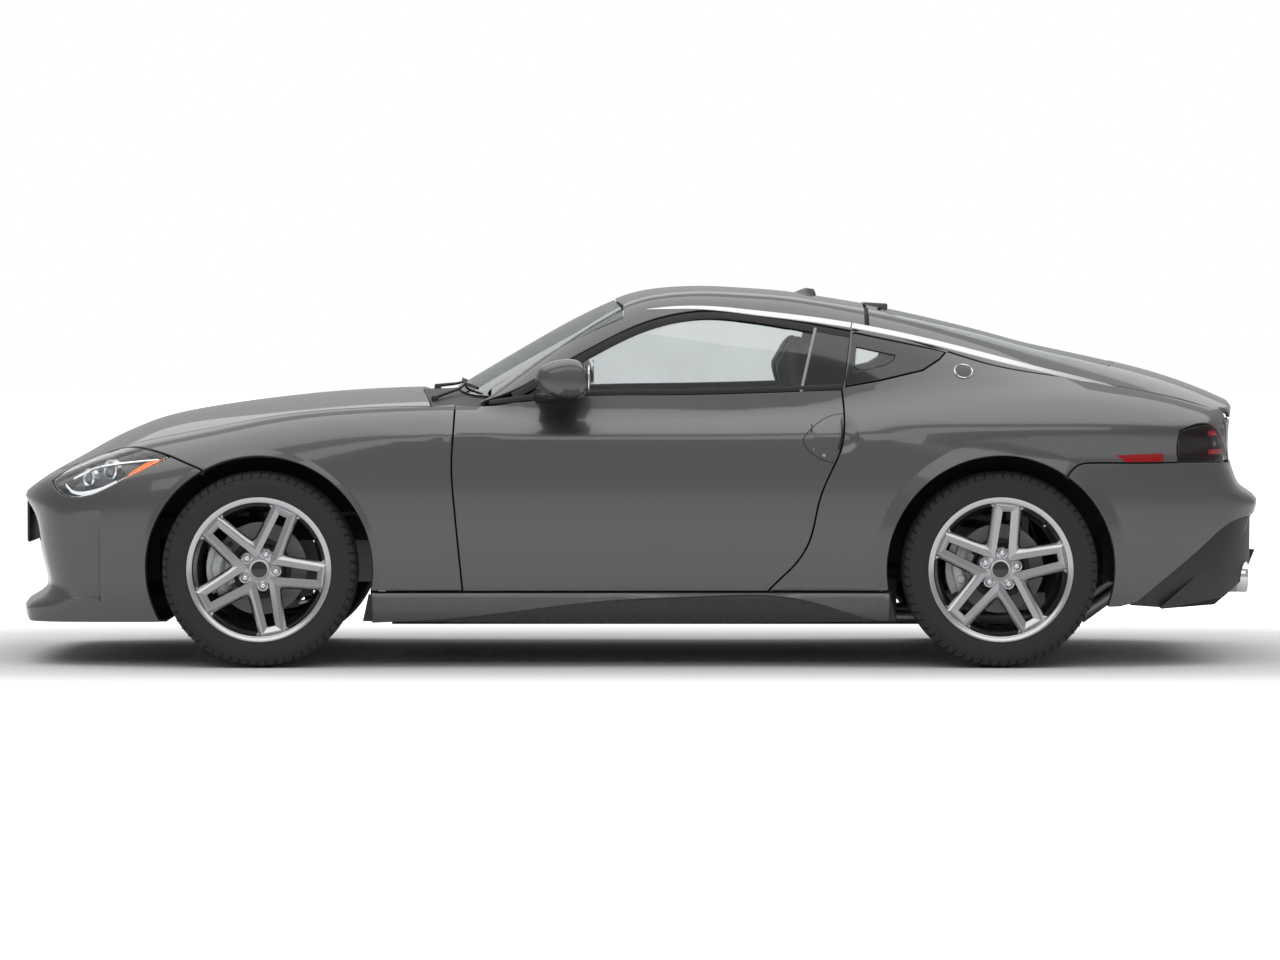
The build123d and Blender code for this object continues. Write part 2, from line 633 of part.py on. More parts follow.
def exhaust():
    """Two pipes, the rear silencer and its tips."""
    box_x = (1770, 1960)
    z = FLOOR_Z[0] - SEAT_GAP - PIPE_R
    pipe = rod(PIPE_R, (-880, -240, z), (REAR_AXLE_X + 320, -240, z))
    rise = rod(PIPE_R, (REAR_AXLE_X + 320, -240, z), (box_x[0] + 10, -240, TIP_Z))
    silencer = box(box_x, (-620, 0), (TIP_Z - 70, TIP_Z + 80))
    tip = rod(TIP_R, (box_x[1] - 5, -TIP_Y, TIP_Z), (2120, -TIP_Y, TIP_Z))
    bore = rod(TIP_R - 5, (box_x[1] + 10, -TIP_Y, TIP_Z), (2200, -TIP_Y, TIP_Z))
    return both(pipe + rise + silencer + tip - bore)


def fuel_tank():
    """The tank, hung under the load floor."""
    return box((840, 1030), (-500, 500), (345, CARGO_Z - PANEL - SEAT_GAP))


class Wheel:
    """One wheel's pieces about its axle. Offsets along the axle are counted outward."""

    def __init__(self, axle_x, middle_y, end):
        self.x = axle_x
        self.y = middle_y
        self.end = end

    def turned(self, points):
        """A solid turned about the axle from offsets and radii."""
        face = make_face(Polyline(*[(0, -self.y - offset_, TYRE_R + r) for offset_, r in points], close=True))
        axis = Axis((0, 0, TYRE_R), (0, 1, 0))
        return Pos(self.x, 0, 0) * revolve(face, axis)

    def ring(self, inner, outer, start, stop):
        return self.turned([(start, inner), (start, outer), (stop, outer), (stop, inner)])

    def bar(self, x, offsets, z):
        """A box by its reach along the car, its offsets along the axle and its height from the axle."""
        ys = sorted(-self.y - value for value in offsets)
        return box((self.x + x[0], self.x + x[1]), ys, (TYRE_R + z[0], TYRE_R + z[1]))

    def tyre(self):
        half, bead = TYRE_HALF, BEAD_HALF - SEAT_GAP
        low = BEAD_R + SEAT_GAP
        right = [(bead, low), (bead, 252), (half, 288), (half - 4, 316), (half - 20, 335), (60, TYRE_R)]
        inside = [(bead - TYRE_WALL, low), (bead - TYRE_WALL, 252), (half - 12, 288), (half - 32, 322)]
        points = right + [(-s, r) for s, r in reversed(right)]
        points += [(-s, r) for s, r in inside] + [(s, r) for s, r in reversed(inside)]
        return self.turned(points)

    def rim(self):
        well, bead, lip = RIM_WELL_R, BEAD_R, RIM_LIP_R
        outer = [
            (-RIM_HALF, bead - RIM_WALL), (-RIM_HALF, lip), (-BEAD_HALF, lip), (-BEAD_HALF, bead), (-60, bead),
            (-20, well), (40, well), (70, bead), (BEAD_HALF, bead), (BEAD_HALF, lip), (RIM_HALF, lip),
            (RIM_HALF, bead - RIM_WALL),
        ]
        wall = RIM_WALL
        inner = [(74, bead - wall), (44, well - wall), (-24, well - wall), (-64, bead - wall)]
        barrel = self.turned(outer + inner)
        hub = self.ring(CAP_R, HUB_R, HUB_FACE + SEAT_GAP, HUB_FRONT)
        hub = hub + self.ring(0, CAP_R + 1, CAP_FRONT - 20, CAP_FRONT)
        solid = barrel + hub
        for k in range(SPOKES):
            angle = SPOKE_TILT[self.end] + k * 360 / SPOKES
            for side in (-1, 1):
                solid = solid + self.spoke(angle, side)
        for k in range(SPOKES):
            angle = math.radians(SPOKE_TILT[self.end] + k * 360 / SPOKES)
            x = self.x + STUD_CIRCLE / 2 * math.cos(angle)
            z = TYRE_R + STUD_CIRCLE / 2 * math.sin(angle)
            solid = solid - across(NUT_POCKET_R, x, z, self.y + SPOKE_BACK + 16, self.y + RIM_HALF)
        return solid

    def spoke(self, angle, side):
        """One bar of a forked spoke, in the wheel's plane at the given angle."""
        start, stop = SPOKE_START_R, BEAD_R - 3
        low, high = side * SPOKE_START_Y, side * SPOKE_END_Y
        width = SPOKE_WIDTH / 2
        points = [(start, low - width), (stop, high - width), (stop, high + width), (start, low + width)]
        base = Pos(0, 0, SPOKE_BACK) * extrude(make_face(Polyline(*points, close=True)), SPOKE_DEPTH)
        slope = Pos(140, 0, 128) * Rot(0, -SPOKE_SLOPE, 0) * Box(400, 400, 84)
        plane = Plane(
            origin=(self.x, -self.y, TYRE_R),
            x_dir=(math.cos(math.radians(angle)), 0, math.sin(math.radians(angle))),
            z_dir=(0, -1, 0),
        )
        return plane * (base - slope)

    def disc(self):
        radius = DISC_R[self.end]
        low, high = DISC_FACES
        middle, vent = (low + high) / 2, DISC_VENT / 2
        rotor = self.ring(HAT_R - 8, radius, low, high)
        rotor = rotor - self.ring(HAT_R + 20, radius + 5, middle - vent, middle + vent)
        hat = self.ring(HAT_R - 8, HAT_R, low, HUB_FACE) + self.ring(0, HAT_R, HUB_FACE - 9, HUB_FACE)
        return rotor + hat + self.ring(0, SPINDLE_R, SPINDLE_END, HUB_FACE - 5)

    def knuckle(self):
        """The upright with its bearing housing and caliper, ahead of the axle."""
        housing = self.ring(0, BEARING_R, SPINDLE_END + 4, -34)
        near, far = -KINGPIN_IN - KNUCKLE_HALF, -34
        reach = ARM_OFFSET - ARM_DEPTH / 2 - SEAT_GAP
        upright = self.bar((-KNUCKLE_HALF, KNUCKLE_HALF), (near, far), (-reach, reach))
        bracket = self.bar((-150, -10), (-62, -38), (-42, 42))
        return housing + upright + bracket + self.caliper() - self.ring(
            0, SPINDLE_R + PIN_PLAY, SPINDLE_END - 5, 0
        )

    def caliper(self):
        low, high = DISC_FACES
        inner, outer = CALIPER_R
        block = self.ring(inner, outer, low - CALIPER_SIDE, high + CALIPER_SIDE)
        wedge = make_face(Polyline(
            (0, 0), (-400, 400 * math.tan(math.radians(CALIPER_HALF))),
            (-400, -400 * math.tan(math.radians(CALIPER_HALF))), close=True,
        ))
        wedge = Plane(origin=(self.x, 0, TYRE_R), x_dir=(1, 0, 0), z_dir=(0, -1, 0)) * extrude(wedge, 1100)
        slot = self.ring(0, DISC_R[self.end] + RUNNING_GAP, low - RUNNING_GAP, high + RUNNING_GAP)
        return (block & wedge) - slot

    def steered_knuckle(self):
        """The front upright, with a pin above and below for the arms."""
        pin = KINGPIN_R - PIN_PLAY
        y = self.y - KINGPIN_IN
        reach = ARM_OFFSET + ARM_DEPTH / 2
        pins = rod(pin, (self.x, -y, TYRE_R - reach), (self.x, -y, TYRE_R + reach))
        body = self.knuckle()
        return body + (pins - self.ring(0, BEARING_R - 5, SPINDLE_END + 10, -40))

    def arms(self, root_y):
        """Upper and lower arms from the frame to the upright."""
        y = self.y - KINGPIN_IN
        arms = []
        for height in (-ARM_OFFSET, ARM_OFFSET):
            z = (TYRE_R + height - ARM_DEPTH / 2, TYRE_R + height + ARM_DEPTH / 2)
            arm = Pos(self.x, -y, z[0]) * extrude(Circle(KNUCKLE_HALF), ARM_DEPTH)
            for side in (-1, 1):
                w = ARM_WIDTH / 2
                points = [
                    (self.x - w, -y), (self.x + w, -y), (self.x + side * ARM_SPREAD + w, -root_y),
                    (self.x + side * ARM_SPREAD - w, -root_y),
                ]
                arm = arm + Pos(0, 0, z[0]) * extrude(make_face(Polyline(*points, close=True)), ARM_DEPTH)
            arms.append(arm)
        return arms


def front_arms(wheel):
    """The front arms and dampers of both sides."""
    hole = rod(KINGPIN_R, (wheel.x, KINGPIN_IN - wheel.y, 100), (wheel.x, KINGPIN_IN - wheel.y, 600))
    lower, upper = [arm - hole for arm in wheel.arms(RAIL_Y[1] + SEAT_GAP)]
    top = TYRE_R + ARM_OFFSET
    damper = rod(DAMPER_R, (wheel.x, -DAMPER_Y, top - 60), (wheel.x, -DAMPER_Y, 700 - SEAT_GAP))
    rod_end = rod(14, (wheel.x, -DAMPER_Y, TYRE_R - ARM_OFFSET), (wheel.x, -DAMPER_Y, top))
    lower_bridge = wheel_bridge(wheel, TYRE_R - ARM_OFFSET)
    return pair(lower + upper + damper + rod_end + lower_bridge)


def wheel_bridge(wheel, z):
    """The cross piece of an arm under the damper."""
    return box(
        (wheel.x - 80, wheel.x + 80), (-DAMPER_Y - 15, -DAMPER_Y + 15), (z - ARM_DEPTH / 2, z + ARM_DEPTH / 2)
    )


def rear_suspension(wheel):
    """The rear cradle with arms, uprights, calipers, springs and dampers."""
    lower, upper = wheel.arms(ARM_ROOT_Y)
    x = wheel.x
    low = TYRE_R - ARM_OFFSET
    top = TYRE_R + ARM_OFFSET
    cradle = box((x - 130, x + 130), (-ARM_ROOT_Y, -ARM_ROOT_Y + 50), (low - 25, top + 25))
    beams = box((x + 150, x + 190), (-ARM_ROOT_Y, 0), (low - 25, low + 35)) + box(
        (x - 200, x - 160), (-ARM_ROOT_Y, 0), (low - 25, low + 35)
    )
    sides = box((x - 200, x + 190), (-ARM_ROOT_Y, -ARM_ROOT_Y + 50), (low - 25, low + 35))
    damper = rod(DAMPER_R, (x + 60, -DAMPER_Y - 20, low), (x + 60, -DAMPER_Y - 20, CARGO_Z - PANEL - SEAT_GAP))
    frame = cradle - rod(28, (x, -ARM_ROOT_Y - 5, TYRE_R), (x, -ARM_ROOT_Y + 60, TYRE_R))
    return both(lower + upper + frame + beams + sides + damper + wheel.knuckle())


def seats():
    """Two bucket seats on their feet."""
    near = SEAT_Y - SEAT_WIDTH / 2
    far = SEAT_Y + SEAT_WIDTH / 2
    seat = side_prism(SEAT_SIDE, near, far)
    rest = side_prism(HEADREST_SIDE, SEAT_Y - 120, SEAT_Y + 120)
    post = side_prism(((745, 880), (765, 1000), (780, 1000), (765, 880)), SEAT_Y - 60, SEAT_Y + 60)
    foot = box(SEAT_FOOT[0], (-far + 40, -near - 40), (FLOOR_Z[1] + SEAT_GAP, SEAT_FOOT[1][1] + 10))
    return pair(seat + rest + post + foot)


def dashboard():
    """The dashboard and the console that runs back from it over the tunnel."""
    dash = side_prism(DASH_SIDE, -1, DASH_HALF)
    console = box((-500, 560), (-105, 1), (TUNNEL_TOP + SEAT_GAP, 520))
    stack = side_prism(((-420, 510), (-420, 700), (-300, 760), (-130, 520), (-130, 510)), -1, 105)
    half = (dash + console + stack) & box((-700, 700), (-800, 0), (0, 1200))
    return both(half) - steering_column(COLUMN_R + SEAT_GAP)


def steering_column(radius):
    """A bar along the steering column, from the wheel's boss into the dashboard."""
    x, z = WHEEL_CENTRE
    slope = math.tan(math.radians(WHEEL_TILT))
    return rod(radius, (x - 20, -SEAT_Y, z - 20 * slope), (COLUMN_END_X, -SEAT_Y, z + (COLUMN_END_X - x) * slope))


def steering_wheel():
    """The steering wheel on its column."""
    x, z = WHEEL_CENTRE
    slope = math.tan(math.radians(WHEEL_TILT))
    face = Plane(origin=(x, -SEAT_Y, z), x_dir=(0, 1, 0), z_dir=Vector(1, 0, slope))
    grip = face * Torus(WHEEL_R, WHEEL_GRIP_R)
    boss = face * Pos(0, 0, -28) * Cylinder(62, 40)
    level = face * Pos(0, 0, -10) * Box(2 * WHEEL_R, 34, 12)
    foot = face * Pos(0, -WHEEL_R / 2, -10) * Box(34, WHEEL_R, 12)
    return grip + boss + level + foot + steering_column(COLUMN_R)


def door_mirror():
    """The left mirror with its foot on the door."""
    shell = side_prism(MIRROR_SIDE, *MIRROR_Y) & top_prism(MIRROR_TOP)
    return shell + side_prism(MIRROR_FOOT, *MIRROR_FOOT_Y)


def write(shape, node):
    """Write one node's STEP file."""
    export_step(shape, os.path.join("parts", node + ".step"))
    print(node, len(shape.solids()), round(shape.volume / 1e6, 2), "litres", shape.is_valid)


def main():
    os.makedirs("parts", exist_ok=True)
    body = Body()
    for node in (
        "hood", "headlamps", "front_bumper", "grille", "front_fenders", "cowl", "roof", "windshield",
        "rear_quarters", "quarter_glass", "sills", "hatch", "hatch_glass", "tail_lamps", "rear_bumper",
        "diffuser", "radiator", "cargo_floor", "wheel_liners",
    ):
        write(getattr(body, node)(), node)
    for piece in (floor_pan, firewall, front_frame, engine, driveline, exhaust, fuel_tank, seats, dashboard):
        write(piece(), piece.__name__)
    write(steering_wheel(), "steering_wheel")
    door = body.door()
    for node, left in (
        ("door", door), ("door_glass", body.door_glass()), ("mirror", largest(door_mirror() - door)),
    ):
        write(left, node + "_left")
        write(mirror(left, Plane.XZ), node + "_right")
    front = Wheel(FRONT_AXLE_X, FRONT_WHEEL_Y, "front")
    rear = Wheel(REAR_AXLE_X, REAR_WHEEL_Y, "rear")
    write(front_arms(front), "front_suspension")
    write(rear_suspension(rear), "rear_suspension")
    knuckle = front.steered_knuckle()
    write(knuckle, "knuckle_left")
    write(mirror(knuckle, Plane.XZ), "knuckle_right")
    for wheel in (front, rear):
        for kind, left in (("tyre", wheel.tyre()), ("rim", wheel.rim()), ("brake_disc", wheel.disc())):
            write(left, kind + "_" + wheel.end + "_left")
            write(mirror(left, Plane.XZ), kind + "_" + wheel.end + "_right")


main()
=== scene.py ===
"""The looks of a two-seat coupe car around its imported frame: panels, glass, lamps, wheels and cabin."""

import logging
import math
from dataclasses import dataclass, field
from enum import Enum
from typing import Any, Callable, Optional, Sequence

import bmesh
import bpy
import numpy as np
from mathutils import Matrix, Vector
from mathutils.geometry import delaunay_2d_cdt


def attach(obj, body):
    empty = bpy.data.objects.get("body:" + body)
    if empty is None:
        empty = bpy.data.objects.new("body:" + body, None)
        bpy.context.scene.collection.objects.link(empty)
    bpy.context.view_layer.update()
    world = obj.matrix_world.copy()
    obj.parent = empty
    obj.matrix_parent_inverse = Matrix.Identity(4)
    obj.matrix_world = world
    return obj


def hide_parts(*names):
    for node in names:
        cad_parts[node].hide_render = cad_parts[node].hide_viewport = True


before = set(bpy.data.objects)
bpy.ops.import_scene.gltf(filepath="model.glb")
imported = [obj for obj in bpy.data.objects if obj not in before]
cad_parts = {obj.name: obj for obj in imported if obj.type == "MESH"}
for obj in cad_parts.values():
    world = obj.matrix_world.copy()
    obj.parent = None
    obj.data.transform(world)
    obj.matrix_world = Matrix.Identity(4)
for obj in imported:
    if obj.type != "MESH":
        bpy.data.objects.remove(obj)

LOG = logging.getLogger("coupe")
MM = 0.001
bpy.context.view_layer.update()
FRONT_AXLE_X = -1310.0
REAR_AXLE_X = 1240.0
AXLE_Z = 339.0
FRONT_WHEEL_Y = 777.0
REAR_WHEEL_Y = 782.0
SIDES = (("left", 1), ("right", -1))

Array = np.ndarray
Pair = tuple[float, float]
Item = bpy.types.Object
Material = bpy.types.Material
Tree = bpy.types.NodeTree
Node = bpy.types.Node
Socket = bpy.types.NodeSocket

OUTLINE_STEP = 11.0
RIBBON_STEP = 14.0
ROLL_TURNS = (30, 60, 90)
ROW_PITCH = 0.87
LINE_CLEARANCE = 0.45
EDGE_CLEARANCE = 0.4
LINE_END_GAP = 5.0
DUST_HEIGHTS = (0.45, 0.12)
DUST_COLOUR = (0.30, 0.28, 0.25)


# ---------------------------------------------------------------- curves and smooth joins


class Spline:
    """A natural cubic curve through pairs of place and value."""

    def __init__(self, *pairs: Pair) -> None:
        """Fits the curve.

        Args:
            pairs: (place, value), places rising.
        """
        self.t = np.array([p[0] for p in pairs], float)
        self.v = np.array([p[1] for p in pairs], float)
        n = len(pairs)
        step = np.diff(self.t)
        rows = np.eye(n)
        right = np.zeros(n)
        for i in range(1, n - 1):
            rows[i, i - 1] = step[i - 1]
            rows[i, i] = 2 * (step[i - 1] + step[i])
            rows[i, i + 1] = step[i]
            rise = (self.v[i + 1] - self.v[i]) / step[i] - (self.v[i] - self.v[i - 1]) / step[i - 1]
            right[i] = 6 * rise
        self.bend = np.linalg.solve(rows, right)
        self.step = step

    def __call__(self, t: Array) -> Array:
        """The values at t, held level past both ends.

        Args:
            t: the places.

        Returns:
            One value for each place.
        """
        t = np.clip(np.asarray(t, float), self.t[0], self.t[-1])
        i = np.clip(np.searchsorted(self.t, t) - 1, 0, len(self.t) - 2)
        h = self.step[i]
        a = (self.t[i + 1] - t) / h
        b = 1 - a
        bend = ((a**3 - a) * self.bend[i] + (b**3 - b) * self.bend[i + 1]) * h * h / 6
        return a * self.v[i] + b * self.v[i + 1] + bend


def smooth_max(a: Array, b: Array, width: Array | float) -> Array:
    """The larger of two fields, with the corner between them rounded over a width."""
    share = np.clip(0.5 + 0.5 * (a - b) / width, 0, 1)
    return b + (a - b) * share + width * share * (1 - share)


def smooth_min(a: Array, b: Array, width: Array | float) -> Array:
    """The smaller of two fields, with the corner between them filled over a width."""
    return -smooth_max(-a, -b, width)


def ramp(value: Array, start: float, stop: float) -> Array:
    """A smooth rise from 0 at start to 1 at stop."""
    share = np.clip((value - start) / (stop - start), 0, 1)
    return share * share * (3 - 2 * share)


# ---------------------------------------------------------------- the form of the body


def curve(*pairs: Pair) -> Any:
    """A dataclass field that holds the curve through the pairs."""
    return field(default_factory=lambda: Spline(*pairs))


@dataclass
class BodyForm:
    """The outer form of the body as a field, under 0 inside, in millimetres, alike on both sides."""

    nose_corner: float = 40.0
    tail_corner: float = 60.0
    crease_in: float = 6.0
    sill_out: float = 34.0
    front_lip_r: float = 412.0
    rear_lip_r: float = 441.0
    arch_edge_r: float = 386.0
    front_flare: float = 7.0
    rear_flare: float = 13.0
    curtain_depth: float = 17.0
    cabin_fade: float = 700.0
    cabin_front: float = -880.0
    sill_span: tuple[float, float, float, float] = (-960.0, -900.0, 850.0, 930.0)
    glass_bulge: tuple[float, float, float] = (8.0, 1065.0, 165.0)
    scoop: tuple[float, float, float, float, float] = (697.0, 808.0, 58.0, 68.0, 26.0)
    shut_x: Spline = curve((740, 687), (760, 691), (812, 700), (860, 702), (900, 703))
    plan: Spline = curve(
        (-2300, 700), (-1975, 812), (-1750, 876), (-1500, 910), (-1310, 914), (-1000, 903), (-620, 891),
        (0, 883), (400, 886), (800, 903), (1100, 917), (1280, 920), (1500, 912), (1750, 872), (1950, 800),
        (2100, 705), (2300, 540),
    )
    bow: Spline = curve(
        (100, 88), (150, 74), (205, 56), (260, 40), (330, 27), (450, 10), (600, 0), (700, 1), (800, 9), (950, 34),
    )
    crease_z: Spline = curve((-1400, 770), (-700, 792), (0, 798), (900, 806), (1400, 830))
    shoulder: Spline = curve(
        (-2200, 0.30), (-1500, 0.35), (-1000, 0.55), (-600, 0.95), (0, 0.98), (500, 0.95), (900, 0.65), (1300, 0.40),
        (2200, 0.35),
    )
    crease_soft: Spline = curve(
        (-1500, 90), (-1100, 50), (-800, 8), (-400, 6), (500, 6), (800, 14), (1100, 60), (1500, 90),
    )
    crown: Spline = curve(
        (-2230, 556), (-2183, 590), (-2082, 662), (-2010, 702), (-1938, 743), (-1867, 782), (-1795, 815),
        (-1723, 843), (-1651, 863), (-1508, 890), (-1364, 911), (-1221, 928), (-1077, 941), (-933, 950),
        (-720, 957), (0, 960), (900, 958), (1240, 962), (1500, 972), (1700, 962), (1900, 925), (2100, 850), (2300, 760),
    )
    crown_drop: Spline = curve(
        (-2230, 60), (-2000, 84), (-1800, 140), (-1650, 158), (-1310, 122), (-720, 106), (0, 100), (1240, 112),
        (1650, 120), (2200, 120),
    )
    belt_y: Spline = curve(
        (-760, 700), (-600, 742), (-440, 768), (-200, 780), (24, 781), (478, 778), (733, 782), (1065, 792),
        (1310, 784), (1515, 764), (1700, 730), (1990, 640), (2150, 580),
    )
    lean: Spline = curve(
        (-760, 0.80), (-440, 0.56), (-200, 0.485), (24, 0.492), (478, 0.535), (733, 0.57), (1065, 0.76),
        (1310, 0.97), (1700, 1.12), (2150, 1.05),
    )
    roof: Spline = curve(
        (-900, 800), (-646, 964), (-503, 1050), (-359, 1134), (-215, 1213), (-120, 1258), (-50, 1286), (20, 1303),
        (120, 1314), (230, 1317), (360, 1311), (503, 1300), (646, 1280), (790, 1256), (933, 1228), (1077, 1195),
        (1221, 1159), (1364, 1119), (1508, 1079), (1651, 1038), (1795, 996), (1938, 949), (2030, 915), (2096, 887),
        (2180, 850),
    )
    roof_drop: Spline = curve(
        (-760, 96), (-440, 74), (-200, 56), (24, 38), (251, 33), (733, 33), (1310, 31), (1700, 28), (2100, 34),
    )
    roof_soft: Spline = curve(
        (-700, 40), (-200, 60), (100, 95), (700, 100), (1000, 120), (1500, 150), (2100, 150),
    )
    fillet: Spline = curve(
        (-900, 12), (-500, 14), (0, 18), (600, 24), (900, 80), (1300, 170), (2100, 150),
    )
    nose: Spline = curve(
        (90, -2120), (150, -2178), (186, -2188), (204, -2184), (232, -2140), (262, -2112), (320, -2114),
        (420, -2136), (530, -2160), (572, -2183), (588, -2190), (640, -2186), (800, -2150),
    )
    tail: Spline = curve(
        (90, 1900), (235, 2040), (296, 2110), (386, 2152), (476, 2168), (530, 2184), (560, 2190), (578, 2184),
        (600, 2150), (650, 2112), (700, 2096), (780, 2090), (840, 2094), (900, 2100),
    )

    def width(self, x: Array, z: Array) -> tuple[Array, Array]:
        """Half widths of the lower body and the slope of the shoulder there.

        Args:
            x: places along the car.
            z: heights.

        Returns:
            The half widths, and how fast they fall with height.
        """
        plan = self.plan(x)
        lower = plan - self.bow(z)
        along = ramp(x, *self.sill_span[:2]) * (1 - ramp(x, *self.sill_span[2:]))
        lower = lower + self.sill_out * along * ramp(z, 270, 236) * ramp(z, 120, 200)
        for axle, lip_r, proud in (
            (FRONT_AXLE_X, self.front_lip_r, self.front_flare), (REAR_AXLE_X, self.rear_lip_r, self.rear_flare),
        ):
            rise = (lip_r - np.hypot(x - axle, z - AXLE_Z)) / (lip_r - self.arch_edge_r)
            lower = lower + proud * smooth_max(np.minimum(rise, 1), np.zeros_like(rise), 0.06) * ramp(z, 100, 260)
        curtain = ramp(x, -2010, -1869) * (1 - ramp(x, -1868, -1861)) * ramp(z, 545, 470) * ramp(z, 232, 240)
        lower = lower - self.curtain_depth * curtain
        slope = self.shoulder(x)
        upper = plan - self.crease_in - slope * (z - self.crease_z(x))
        share = ramp(lower - upper, -5, 20)
        width = smooth_min(lower, upper, self.crease_soft(x))
        reach = np.hypot((x - self.scoop[0]) / self.scoop[2], (z - self.scoop[1]) / self.scoop[3])
        behind = ramp(x - self.shut_x(z), -1, 1)
        return width - self.scoop[4] * behind * np.clip(1 - reach**2, 0, 1), slope * share

    def __call__(self, p: Array) -> Array:
        """The field at each row of p: about the distance from the surface.

        Args:
            p: points, one to a row.

        Returns:
            One value for each point, in millimetres.
        """
        x, y, z = p[:, 0], np.abs(p[:, 1]), p[:, 2]
        width, slope = self.width(x, z)
        side = (y - width) / np.sqrt(1 + slope * slope)
        crown = z - (self.crown(x) - self.crown_drop(x) * (y / 1000) ** 2)
        body = smooth_max(side, crown, 70 + 90 * (1 - ramp(x, -1300, -700)) + 60 * ramp(x, 800, 1300))
        lean = self.lean(x)
        proud, middle, half = self.glass_bulge
        bulge = proud * np.clip(1 - ((z - middle) / half) ** 2, 0, 1)
        glass = (y - self.belt_y(x) + lean * (z - 900) - bulge) / np.sqrt(1 + lean * lean)
        slope_x = (self.roof(x + 5) - self.roof(x - 5)) / 10
        top = self.roof(x) - self.roof_drop(x) * (y / 600) ** 2
        top = (z - top) / np.sqrt(1 + slope_x**2)
        cabin = smooth_max(glass, top, self.roof_soft(x)) + self.cabin_fade * ramp(z, 850, 480)
        cabin = np.maximum(cabin, self.cabin_front - x)
        whole = smooth_min(body, cabin, self.fillet(x))
        front = self.nose(z) + self.nose_corner * (y / 540) ** 2 - x
        rear = x - self.tail(z) + self.tail_corner * (y / 700) ** 2
        whole = smooth_max(whole, front, 30 + 90 * ramp(y, 450, 750))
        return smooth_max(whole, rear, 16 + 60 * ramp(y, 500, 700))

    def normals(self, p: Array) -> Array:
        """Unit normals of the field at each row of p.

        Args:
            p: points, one to a row.

        Returns:
            One unit vector for each point.
        """
        step = 0.6
        slopes = [self(p + step * axis) - self(p - step * axis) for axis in np.eye(3)]
        n = np.stack(slopes, 1)
        return n / np.maximum(np.linalg.norm(n, axis=1, keepdims=True), 1e-9)


# ---------------------------------------------------------------- charts: flat maps of the surface


class Rays(Enum):
    """How a chart looks at the surface."""

    SIDE = "rays across the car, flat map x and z"
    TOP = "rays upward, flat map x and y"
    ROLL = "rays around a line along the car, flat map x and angle"
    WRAP = "rays around an upright line, flat map angle and z"
    END = "rays around a line across the car, flat map y and angle"


@dataclass(frozen=True)
class Chart:
    """A flat map of part of the surface, along one family of rays."""

    rays: Rays
    first: float = 0.0
    second: float = 0.0
    radius: float = 600.0
    facing: float = 1.0
    near: float = 100.0
    far: float = 1400.0

    def aim(self, flat: Array) -> tuple[Array, Array]:
        """Starting points and directions of the rays through the flat places.

        Args:
            flat: places on the map.

        Returns:
            The starts and the directions, one row each.
        """
        a, b = flat[:, 0], flat[:, 1]
        zero, one = np.zeros_like(a), np.ones_like(a)
        if self.rays is Rays.SIDE:
            return np.stack((a, zero, b), 1), np.stack((zero, one, zero), 1)
        if self.rays is Rays.TOP:
            return np.stack((a, b, zero), 1), np.stack((zero, zero, one), 1)
        if self.rays is Rays.ROLL:
            t = b / self.radius
            return np.stack((a, zero + self.first, zero + self.second), 1), np.stack((zero, np.cos(t), np.sin(t)), 1)
        if self.rays is Rays.WRAP:
            t = a / self.radius
            start = np.stack((zero + self.first, zero, b), 1)
            return start, np.stack((self.facing * np.cos(t), np.sin(t), zero), 1)
        t = b / self.radius
        start = np.stack((zero + self.first, a, zero + self.second), 1)
        return start, np.stack((np.cos(t), zero, np.sin(t)), 1)

    def flatten(self, p: Array) -> Array:
        """The flat places of points on the surface.

        Args:
            p: points, one to a row.

        Returns:
            One place for each point.
        """
        x, y, z = p.T
        if self.rays is Rays.SIDE:
            return np.stack((x, z), 1)
        if self.rays is Rays.TOP:
            return np.stack((x, y), 1)
        if self.rays is Rays.ROLL:
            return np.stack((x, np.arctan2(z - self.second, y - self.first) * self.radius), 1)
        if self.rays is Rays.WRAP:
            return np.stack((np.arctan2(y, self.facing * (x - self.first)) * self.radius, z), 1)
        return np.stack((y, np.arctan2(z - self.second, x - self.first) * self.radius), 1)

    def lift(self, form: Callable[[Array], Array], flat: Array, depth: float = 0.0) -> Array:
        """Points on the surface, or at a depth under it, over the flat places.

        Args:
            form: the field of the body.
            flat: places on the map.
            depth: how far under the surface, in millimetres.

        Returns:
            One point for each place.
        """
        start, way = self.aim(flat)
        low = np.full(len(flat), self.near)
        high = np.full(len(flat), self.far)
        for _ in range(20):
            middle = (low + high) / 2
            outside = form(start + way * middle[:, None]) + depth > 0
            high = np.where(outside, middle, high)
            low = np.where(outside, low, middle)
        return start + way * ((low + high) / 2)[:, None]


SIDE = Chart(Rays.SIDE, near=250)
TOP = Chart(Rays.TOP, near=300, far=1500)
FENDER_ROLL = Chart(Rays.ROLL, 400.0, 430.0, 520.0, near=60)
ROOF_ROLL = Chart(Rays.ROLL, 0.0, 700.0, 560.0)
FRONT_WRAP = Chart(Rays.WRAP, -1560.0, radius=640.0, facing=-1.0, near=20)
REAR_WRAP = Chart(Rays.WRAP, 1560.0, radius=600.0, near=20)
TAIL_END = Chart(Rays.END, 1500.0, 560.0, 620.0)


